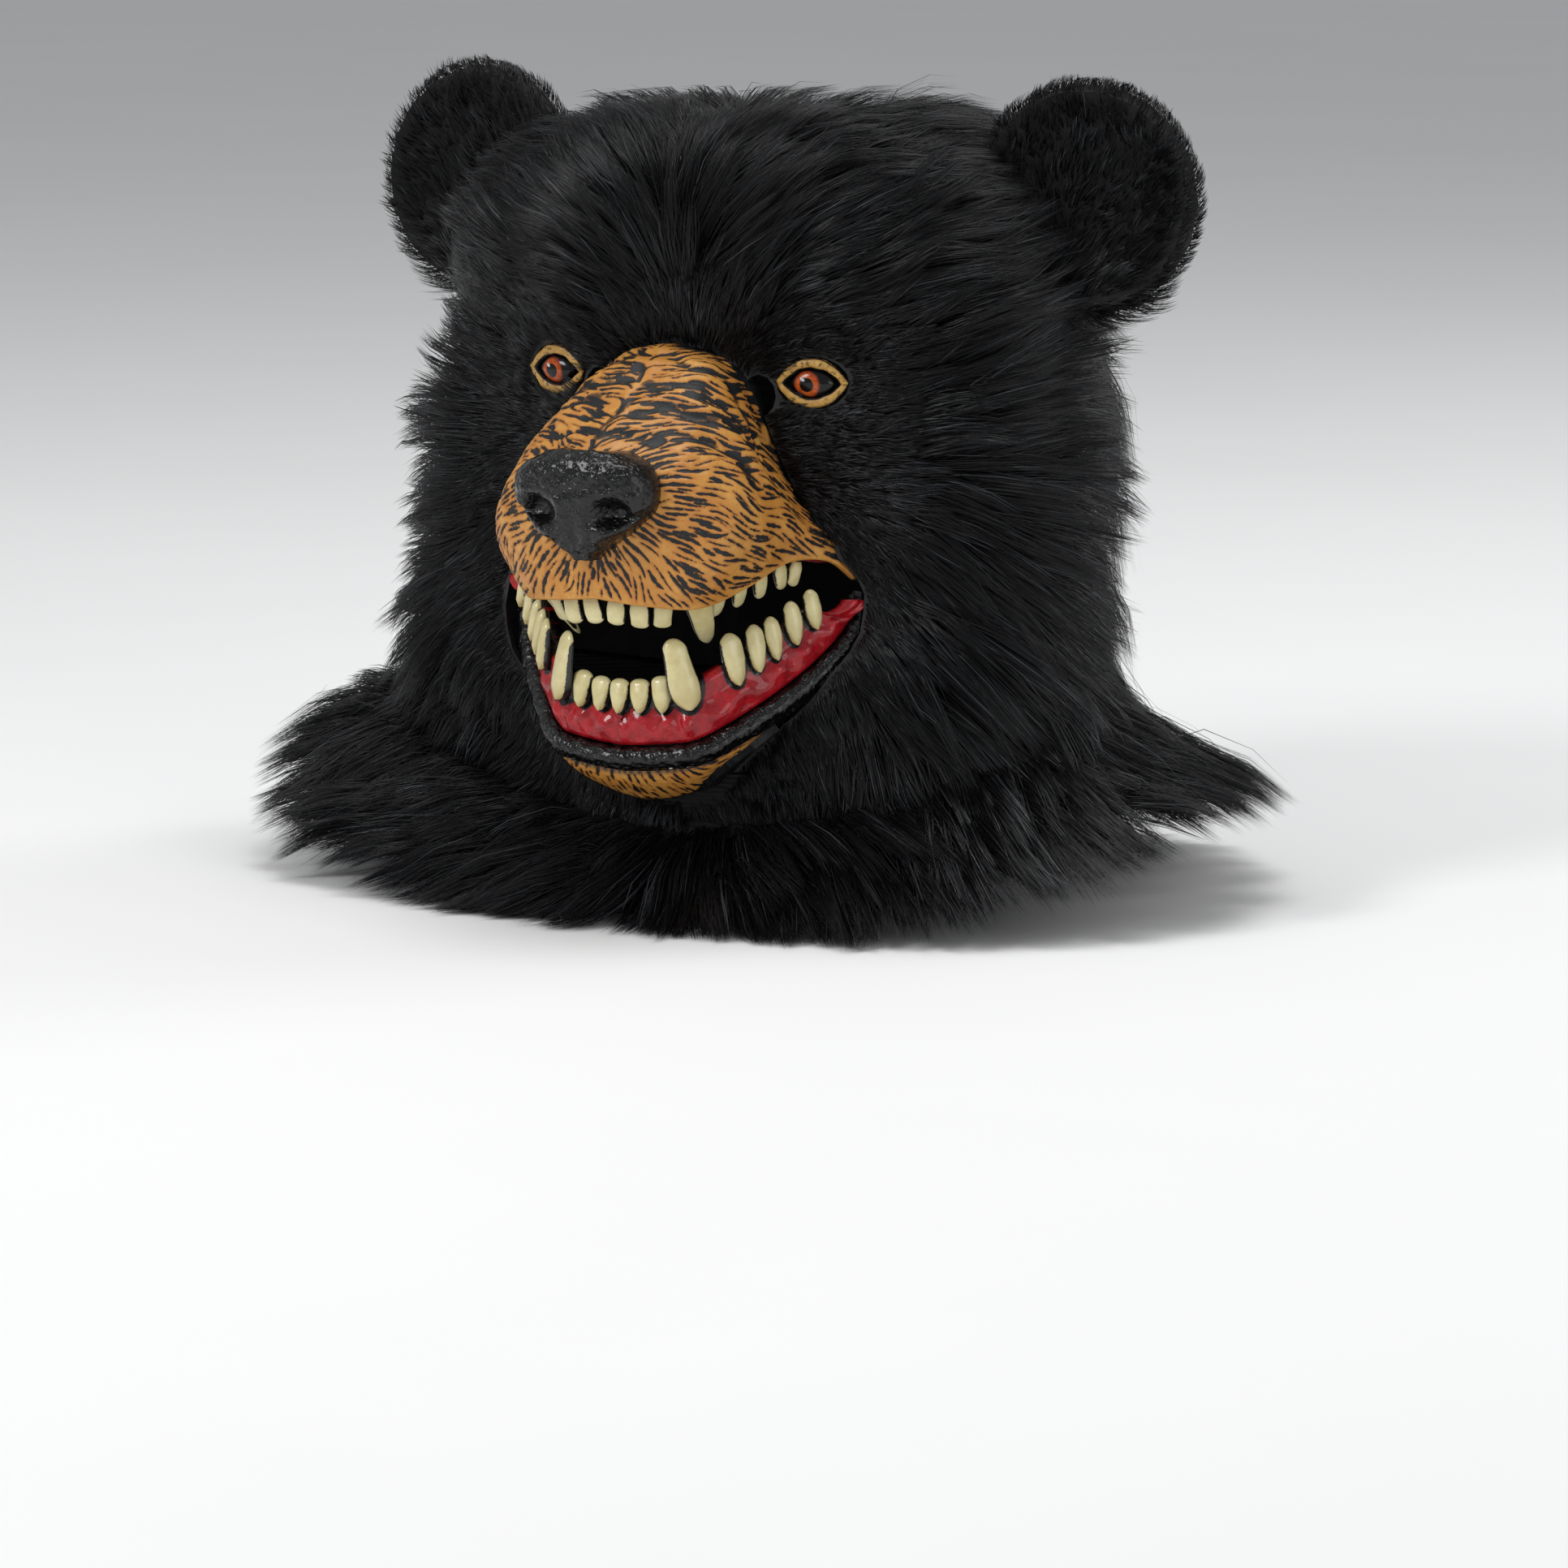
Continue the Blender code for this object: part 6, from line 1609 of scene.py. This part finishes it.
def make_chin_skin(finish):
    columns = 150
    rows = 70
    places = np.linspace(-CHIN_END, CHIN_END, columns)
    point, _, outward, rise = jaw_frame(places)
    top = point - rise * (LIP_RADIUS + FACE_CLEARANCE) - outward * LIP_RADIUS * 0.2
    fall = 1 - CHIN_TAPER * np.abs(places / CHIN_END) ** 2
    shares = np.linspace(0.0, 1.0, rows)
    grid = []
    for share in shares:
        down = CHIN_DROP * fall * share
        back = CHIN_SET_BACK * fall * share**CHIN_ROUNDING
        grid.append(top + np.stack((-outward[:, 0] * back, -back, -down), axis=-1))
    grid = np.array(grid)
    normal = unit(np.cross(np.gradient(grid, axis=1), np.gradient(grid, axis=0)))
    normal = np.where(normal[..., 1:2] < 0, -normal, normal)
    chance = np.random.default_rng(SEED + 6)
    way = unit(np.gradient(grid, axis=0) + np.gradient(grid, axis=1) * (places * 1.2)[None, :, None])
    length = np.full(grid.shape[:2], 0.008)
    sparse = np.full(grid.shape[:2], 0.05)
    ink = carve_strokes(grid, way, length, sparse, chance, np.full_like(length, 0.0011), np.full_like(length, 0.0012))
    carved = smoothstep((ink + 0.35) / 0.7)
    surface = grid - normal * (0.0004 * carved)[..., None]
    shade = 1 - smoothstep((shares - 0.03) / 0.14)
    shade = np.repeat(shade[:, None], columns, axis=1) * (0.75 + 0.25 * np.sin(places * 210)[None, :])
    shade = np.maximum(shade, smoothstep((np.abs(places) / CHIN_END - 0.84) / 0.12)[None, :])
    shade = np.maximum(shade, smoothstep((shares - 0.90) / 0.08)[:, None])
    edge = surface[-1].copy()
    edge[:, 1] = head_front_at(edge[:, 0], edge[:, 2])[0] - COLLAR
    inner = surface[::6] - normal[::6] * LATEX
    inner_edge = edge + (0.0, 0.0, LATEX)
    sheet = np.concatenate((surface, edge[None], inner_edge[None], inner[::-1]))
    extra = len(sheet) - rows
    made = new_object("chin_skin", placed(sheet).reshape(-1, 3), quads(len(sheet), columns, False), finish)
    paint(made, "ink", np.concatenate((ink, np.full((extra, columns), -3.0))).ravel())
    paint(made, "shade", np.concatenate((shade, np.ones((extra, columns)))).ravel())
    weld_and_turn(made, 1e-6)
    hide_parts("chin")


def make_nose_skin(finish):
    """The nose leather: a rounded rim over two hollow nostrils, with a groove down its middle."""
    around = 150
    falls = np.linspace(0.0, 1.0, 90)
    places = np.interp(falls, [row[0] for row in NOSE_RINGS], np.arange(len(NOSE_RINGS)))
    rings = between_rows(NOSE_RINGS, places)
    turn = np.arange(around) * 2 * math.pi / around
    side = np.sign(np.sin(turn)) * np.abs(np.sin(turn)) ** NOSE_ROUNDING
    fore = np.sign(np.cos(turn)) * np.abs(np.cos(turn)) ** NOSE_ROUNDING
    across = NOSE_WIDTH / 2 * rings[:, 1:2] * side[None, :]
    reach = np.where(fore[None, :] > 0, NOSE_BULGE * rings[:, 2:3], NOSE_BULGE)
    ahead = NOSE_AHEAD + reach * fore[None, :]
    across = across * (0.80 + 0.20 * np.sqrt(np.clip(falls / 0.22, 0.0, 1.0)))[:, None]
    up = np.repeat(-NOSE_TOP_BELOW_EYES - falls[:, None] * (NOSE_HEIGHT - 0.0022), around, axis=1)
    arch = 1 - (across / (NOSE_WIDTH / 2)) ** 2
    up = up + 0.0018 * (arch - 0.7) * (1 - smoothstep(falls / 0.35))[:, None]
    points = np.stack((across, ahead, up), axis=-1)
    front = smoothstep(fore[None, :] / 0.4)
    middle = -NOSE_TOP_BELOW_EYES - NOSE_HEIGHT * NOSTRIL_BELOW_TOP
    off_side = (np.abs(across) - NOSTRIL_SPACING / 2) / (NOSTRIL * 1.25)
    off_up = (up - middle - 0.10 * (np.abs(across) - NOSTRIL_SPACING / 2)) / (NOSTRIL * 0.92)
    hollow = np.exp(-((off_side**2 + off_up**2) ** 1.6))
    slit_side = (np.abs(across) - NOSE_WIDTH * 0.40) / 0.0050
    slit_up = (up - middle + 0.0035 - 0.25 * (np.abs(across) - NOSTRIL_SPACING / 2)) / 0.0017
    slit = np.exp(-(slit_side**2 + slit_up**2))
    groove = np.exp(-((across / 0.0013) ** 2)) * smoothstep((falls[:, None] - 0.40) / 0.25)
    wing_side = (np.abs(across) - NOSTRIL_SPACING / 2) / 0.0085
    wing_up = (up - middle + 0.0085) / 0.0042
    wing = np.exp(-(wing_side**2 + wing_up**2))
    rim = np.exp(-(((falls[:, None] - 0.14) / 0.10) ** 2))
    relief = 0.0026 * wing + 0.0010 * rim - 0.0082 * hollow - 0.0022 * slit - 0.0009 * groove
    relief = relief + 0.00022 * ripple(points, 51, 0.0035) + 0.00030 * ripple(points, 52, 0.007)
    points[..., 1] += relief * front
    points[..., 2] += 0.0012 * np.exp(-(((falls[:, None] - 0.03) / 0.06) ** 2)) * np.cos(across * 90) * front
    flat = placed(points).reshape(-1, 3)
    made = new_object("nose_leather", flat, quads(len(falls), around, True), finish)
    paint(made, "wet", np.clip((wing * 1.3 + rim * 0.8) * front, 0.0, 1.0).ravel())
    shape = bmesh.new()
    shape.from_mesh(made.data)
    shape.verts.ensure_lookup_table()
    shape.faces.new([shape.verts[index] for index in range(around)])
    shape.faces.new([shape.verts[index] for index in range(len(flat) - around, len(flat))])
    shape.to_mesh(made.data)
    shape.free()
    weld_and_turn(made, 1e-6)
    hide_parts("nose_pad")


def sweep(name, places, section, finish):
    """A dense closed bar along the jaw: section(place) gives its outline as (out, rise) points."""
    point, along, outward, rise = jaw_frame(places)
    outline = section(places)
    rings = point[:, None] + outward[:, None] * outline[..., :1] + rise[:, None] * outline[..., 1:2]
    rows, columns = rings.shape[:2]
    made = new_object(name, placed(rings).reshape(-1, 3), quads(rows, columns, True), finish)
    shape = bmesh.new()
    shape.from_mesh(made.data)
    shape.verts.ensure_lookup_table()
    shape.faces.new([shape.verts[index] for index in range(columns)])
    shape.faces.new([shape.verts[index] for index in range((rows - 1) * columns, rows * columns)])
    shape.to_mesh(made.data)
    shape.free()
    return made, rings


def make_lip_roll(finish):
    places = np.linspace(-1.0, 1.0, 420)
    turns = np.arange(24) * 2 * math.pi / 24

    def section(place):
        along = place[:, None] * 0.11
        wrinkle = 0.05 * np.sin(along * 1900 + 2.4 * np.sin(turns * 2)) * (0.5 + 0.5 * np.sin(along * 170))
        wrinkle = wrinkle + 0.05 * np.sin(along * 730 + turns * 2)
        groove = -0.16 * np.exp(-(((turns[None, :] - 5.6) / 0.22) ** 2))
        radius = LIP_RADIUS * (1.0 + wrinkle + groove)
        return np.stack((radius * np.cos(turns), radius * np.sin(turns)), axis=-1)

    made, rings = sweep("lip_roll", places, section, finish)
    paint(made, "wet", np.clip(0.5 + 0.5 * ripple(rings.reshape(-1, 3), 53, 0.012), 0.0, 1.0))
    weld_and_turn(made, 1e-6)
    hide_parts("lower_lip")


def lower_tooth_seats():
    """Each lower tooth's side, root and directions, its length and its width."""
    gum = lower_gum_front()
    seats = []
    for side, across, length, width in both_sides(LOWER_TEETH):
        place = place_of(jaw_line_half, across * MUZZLE_WIDTH / 2)
        point, _, outward, rise = jaw_frame(np.array(place))
        tipward = unit(rise * TOOTH_LEAN + np.array((0.0, 0.0, 1.0)) * (1 - TOOTH_LEAN))
        along = np.cross(outward, tipward)
        root = point + rise * (LIP_RADIUS + SEAT_GAP + gum_height(place) * ROOT_SHARE)
        root = root + outward * (proud_by(gum, root, along, outward, width / 2) + FACE_CLEARANCE)
        flip = np.array((side, 1.0, 1.0))
        seats.append((root * flip, outward * flip, along * flip, tipward * flip, length, width))
    return seats


def upper_tooth_seats():
    gum = upper_gum_foot()
    seats = []
    for side, across, length, width in both_sides(UPPER_TEETH):
        place = place_of(upper_lip_line, across * MUZZLE_WIDTH / 2)
        inset = -LATEX - GAP - GUM_THICKNESS * UPPER_TOOTH_INSET
        high = int(np.searchsorted(MUZZLE_TURNS, place))
        low_turn, high_turn = MUZZLE_TURNS[high - 1], MUZZLE_TURNS[high]
        start = lifted_muzzle(low_turn, 0.0, inset)
        ahead = lifted_muzzle(high_turn, 0.0, inset) - start
        root = start + ahead * (place - low_turn) / (high_turn - low_turn)
        along = ahead / np.linalg.norm(ahead)
        outward = muzzle_normal(np.array([place]), np.array([0.0]))[0]
        rise = np.cross(along, outward)
        root_half = width / 2 * TOOTH_RINGS[0][1]
        root = root - rise * (proud_by(gum, root, along, -rise, root_half) + FACE_CLEARANCE)
        flip = np.array((side, 1.0, 1.0))
        seats.append((root * flip, outward * flip, along * flip, -rise * flip, length, width))
    return seats


def make_gum(finish):
    places = lip_places()[1:-1]
    dense = np.linspace(places[0], places[-1], 460)
    foot = LIP_RADIUS + SEAT_GAP

    def section(place):
        high = foot + gum_height(place)[:, None]
        crest = high + GUM_THICKNESS * 0.25
        front = np.linspace(0.0, 1.0, 16)[None, :]
        swell = 0.0018 * np.sin(math.pi * np.clip(front * 1.5, 0.0, 1.0)) ** 1.2
        lump = 1 + 0.60 * np.sin(place[:, None] * 60) * np.sin(front * 7 + place[:, None] * 9)
        out = swell * lump
        face = np.stack((out + 0 * high, foot + (high - foot) * front), axis=-1)
        over = np.stack(
            (-GUM_THICKNESS * np.array((0.2, 0.5, 0.8))[None, :] + 0 * high, crest + 0 * np.zeros((1, 3))), axis=-1
        )
        back = np.stack(
            (np.full((len(place), 2), -GUM_THICKNESS), np.concatenate((high, foot + 0 * high), axis=1)), axis=-1
        )
        return np.concatenate((face, over, back), axis=1)

    made, rings = sweep("gum_ridge", dense, section, finish)
    points = rings.reshape(-1, 3)
    ink = np.full(len(points), -3.0)
    for root, outward, along, tipward, length, width in lower_tooth_seats():
        off = points - root
        wide = (off @ along) / (width * 0.50)
        tall = (off @ tipward - length * 0.34) / (length * 0.40)
        edge = (1 - np.sqrt(wide**2 + tall**2)) * width * 0.5 * 1000 + 0.3
        ink = np.maximum(ink, edge)
    paint(made, "ink", np.clip(ink, -3.0, 1.0))
    weld_and_turn(made, 1e-6)
    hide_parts("lower_gum")


def dress_teeth(finish, seats, word, kinds, flat_back):
    """Each tooth: rounded over its tip, fuller in the middle, and outlined in black at the gum."""
    around = 30
    for number, (root, outward, along, tipward, length, width) in enumerate(seats, start=1):
        chance = np.random.default_rng(SEED * 100 + number)
        profile = kinds(abs(number - (len(seats) + 1) / 2))
        shares = 1 - (1 - np.linspace(0.0, 1.0, 26)) ** 1.35
        table = np.array(profile)
        wide = np.interp(shares, table[:, 0], table[:, 1])
        smooth = np.convolve(np.pad(wide, 2, mode="edge"), (0.1, 0.2, 0.4, 0.2, 0.1), mode="valid")
        cap = np.sqrt(np.clip(1 - ((shares - 0.84) / 0.16).clip(0.0, 1.0) ** 2, 0.0, 1.0))
        heel = np.sqrt(1 - (1 - np.clip(shares / 0.16, 0.03, 1.0)) ** 2) if flat_back else 1.0
        wide = smooth * cap * heel
        thick = np.interp(shares, (0.0, 0.2, 0.6, 1.0), (0.75, 1.0, 0.85, 0.45)) * cap
        turn = np.arange(around) * 2 * math.pi / around
        power = 0.82
        cosine = np.sign(np.cos(turn)) * np.abs(np.cos(turn)) ** power
        sine = np.sign(np.sin(turn)) * np.abs(np.sin(turn)) ** power
        if flat_back:
            out = np.where(sine > 0, sine, sine * 0.04) * TOOTH_THICKNESS
        else:
            out = sine * TOOTH_THICKNESS / 2
        lean = chance.normal(0.0, 0.03)
        if profile in (CANINE_BELOW, CANINE_ABOVE):
            lean = -CANINE_LEANS[word] * np.sign(root[0]) * np.sign(along[0])
        rows = []
        ink = []
        age = []
        for share, w, t in zip(shares, wide, thick):
            centre = root + tipward * length * share + along * lean * length * share
            wobble = 1 + 0.03 * math.sin(share * 9 + number)
            ring = centre + along[None, :] * (width / 2 * TOOTH_FILL * w * wobble * cosine)[:, None]
            ring = ring + outward[None, :] * (out * t)[:, None]
            rows.append(ring)
            edge = (np.abs(cosine) - 0.86) * width / 2 * 1000 - 1.5 * smoothstep((share - 0.78) / 0.2)
            foot = (0.030 - share) * length * 1000
            ink.append(np.maximum(edge, foot) - 0.25)
            age.append(np.full(around, 0.55 * (1 - smoothstep(share / 0.5))))
        rows = np.array(rows)
        points = placed(rows).reshape(-1, 3)
        count = len(points)
        made = new_object(f"{word}_crown_{number:02d}", points, quads(len(rows), around, True), finish)
        paint(made, "ink", np.clip(np.array(ink).ravel(), -3.0, 1.0))
        paint(made, "age", np.array(age).ravel())
        shape = bmesh.new()
        shape.from_mesh(made.data)
        shape.verts.ensure_lookup_table()
        shape.faces.new([shape.verts[index] for index in range(around)])
        shape.to_mesh(made.data)
        shape.free()
        weld_and_turn(made, 1e-6)
        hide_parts(f"{word}_tooth_{number:02d}")


def lower_kind(place):
    if abs(place - 3) < 0.6:
        return CANINE_BELOW
    return INCISOR_BELOW if place < 3 else CHEEK_BELOW


def upper_kind(place):
    if abs(place - 3.5) < 0.6:
        return CANINE_ABOVE
    return INCISOR_ABOVE if place < 3 else CHEEK_ABOVE


def eye_place():
    ahead, normal = head_front_at(EYE_SPACING / 2, 0.0)
    return np.array((EYE_SPACING / 2, ahead[0], 0.0)), normal[0]


def make_eyes(eye_finish, lid_finish):
    centre, outer = eye_place()
    sideways = unit(np.cross(outer, (0.0, 0.0, 1.0)))
    upright = np.cross(sideways, outer)
    half_width = EYE_WIDTH / 2 - EYELID_RADIUS
    half_height = EYE_HEIGHT / 2 - EYELID_RADIUS
    steps = 72
    turns = np.arange(steps) * 2 * math.pi / steps
    almond = np.sign(np.sin(turns)) * np.abs(np.sin(turns)) ** ALMOND
    ball_width = half_width - EYELID_RADIUS - GAP
    ball_height = half_height - EYELID_RADIUS - GAP
    levels = np.concatenate((np.linspace(0.02, 1.0, 26), (0.93, 0.70)))
    depths = np.concatenate((np.sqrt(1 - np.linspace(0.02, 1.0, 26) ** 2), (-0.37, -0.71)))
    for side, word in SIDES:
        flip = np.array((side, 1.0, 1.0))
        rows = []
        places = []
        for level, depth in zip(levels, depths):
            wide = ball_width * level * np.cos(turns)
            high = ball_height * level * almond
            ring = centre + outer * EYE_BULGE * depth + sideways * wide[:, None] + upright * high[:, None]
            rows.append(ring)
            toward = np.sign(sideways[0]) * side
            places.append(np.stack((wide * toward, high, np.zeros(steps)), axis=-1) * 1000)
        points = placed(np.array(rows) * flip).reshape(-1, 3)
        made = new_object("painted_eye_" + word, points, quads(len(rows), steps, True), eye_finish)
        paint(made, "iris", np.array(places).reshape(-1, 3) - np.array((IRIS_ASIDE[word], -0.4, 0.0)))
        shape = bmesh.new()
        shape.from_mesh(made.data)
        shape.verts.ensure_lookup_table()
        shape.faces.new([shape.verts[index] for index in range(steps)])
        shape.faces.new([shape.verts[index] for index in range(len(points) - steps, len(points))])
        shape.to_mesh(made.data)
        shape.free()
        weld_and_turn(made, 1e-7)
        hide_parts("eyeball_" + word)

        across = EYE_SPACING / 2 + half_width * np.cos(turns) * (1 + 0.07 * np.cos(turns) ** 6)
        up = half_height * almond
        ahead, normal = head_front_at(across, up)
        path = np.column_stack((across, ahead, up))
        outward = path - centre
        outward = unit(outward - normal * np.sum(outward * normal, axis=1, keepdims=True))
        corners = 20
        angle = np.arange(corners) * 2 * math.pi / corners
        thick = EYELID_RADIUS * (1.15 - 0.25 * np.cos(turns) ** 6 + 0.10 * np.sin(turns * 5 + 1.0) + 0.08 * np.sin(turns * 11))
        rings = path[:, None] + (
            outward[:, None] * np.cos(angle)[None, :, None] + normal[:, None] * np.sin(angle)[None, :, None]
        ) * thick[:, None, None]
        lid = new_object(
            "painted_lid_" + word, placed(rings * flip).reshape(-1, 3), torus_faces(steps, corners), lid_finish
        )
        # Painted shade: the side of the lid against the eye is painted dark, in the crease there. Its outer edge is
        # painted dark in a ragged line.
        crease = np.where(np.cos(angle) < -0.55, 0.9, -2.0)
        outer_edge = np.where((np.cos(angle) > 0.80), 0.2, -2.0)
        paint(lid, "ink", np.tile(np.maximum(crease, outer_edge), steps))
        weld_and_turn(lid, 1e-7)
        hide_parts("eyelid_" + word)


def torus_faces(steps, corners):
    step, corner = np.meshgrid(np.arange(steps), np.arange(corners), indexing="ij")
    beyond = (step + 1) % steps
    beside = (corner + 1) % corners
    faces = (step * corners + corner, step * corners + beside, beyond * corners + beside, beyond * corners + corner)
    return np.stack(faces, axis=-1).reshape(-1, 4)


def finish_nodes():
    """Materials for the CAD pieces that stay as they are."""
    latex = latex_inside_material()
    knit = knit_material()
    backing = plush_backing_material()
    gum = gum_material()
    kept = {
        "latex_head": latex,
        "skirt_backing": knit,
        "ear_left": backing,
        "ear_right": backing,
        "upper_gum": gum,
    }
    for name, finish in kept.items():
        node = bpy.data.objects[name]
        node.data.materials.clear() if not node.material_slots else None
        for slot in node.material_slots:
            slot.material = finish


def make_stage():
    size = 30.0
    mesh = bpy.data.meshes.new("studio_floor")
    corners = ((-size, -size, FLOOR_UP), (size, -size, FLOOR_UP), (size, size, FLOOR_UP), (-size, size, FLOOR_UP))
    mesh.from_pydata(corners, [], [(0, 1, 2, 3)])
    mesh.materials.append(floor_material())
    floor = bpy.data.objects.new("studio_floor", mesh)
    bpy.context.scene.collection.objects.link(floor)

    world = bpy.data.worlds.new("pale studio")
    bpy.context.scene.world = world
    world.use_nodes = True
    world.node_tree.nodes["Background"].inputs["Color"].default_value = (0.93, 0.94, 0.96, 1.0)
    world.node_tree.nodes["Background"].inputs["Strength"].default_value = 0.38

    middle = Vector((0.0, 0.0, -0.12))
    for name, place, size, power in STUDIO_LIGHTS:
        light = bpy.data.lights.new(name, "AREA")
        light.shape = "DISK"
        light.size = size
        light.energy = power
        lamp = bpy.data.objects.new(name, light)
        lamp.location = place
        lamp.rotation_euler = (middle - Vector(place)).to_track_quat("-Z", "Y").to_euler()
        bpy.context.scene.collection.objects.link(lamp)


def make_camera():
    eye = Vector(placed(np.zeros(3)).tolist())
    level = math.cos(CAMERA_UP)
    towards = Vector((math.sin(CAMERA_ROUND) * level, -math.cos(CAMERA_ROUND) * level, math.sin(CAMERA_UP)))
    right = Vector((math.cos(CAMERA_ROUND), math.sin(CAMERA_ROUND), 0.0))
    above = towards.cross(right)
    aim = eye + right * AIM_RIGHT - above * AIM_BELOW
    data = bpy.data.cameras.new("photograph")
    data.sensor_width = SENSOR
    data.lens = SENSOR * CAMERA_DISTANCE / FRAME_WIDTH
    camera = bpy.data.objects.new("photograph", data)
    camera.location = aim + towards * CAMERA_DISTANCE
    camera.rotation_euler = towards.to_track_quat("Z", "Y").to_euler()
    bpy.context.scene.collection.objects.link(camera)
    bpy.context.scene.camera = camera


bpy.context.scene.view_settings.view_transform = "Standard"
make_camera()
make_stage()
finish_nodes()
plush = plush_material()
make_hood_plush(plush)
make_neck_band(knit_material())
make_skirt_plush(plush)
make_ear_plush(plush)
tan_skin = snout_material()
make_snout(tan_skin)
make_chin_skin(tan_skin)
gloss_black = nose_material()
make_nose_skin(gloss_black)
make_lip_roll(gloss_black)
make_gum(gum_material())
cream = tooth_material()
dress_teeth(cream, lower_tooth_seats(), "lower", lower_kind, True)
dress_teeth(cream, upper_tooth_seats(), "upper", upper_kind, False)
make_eyes(eye_material(), lid_material())
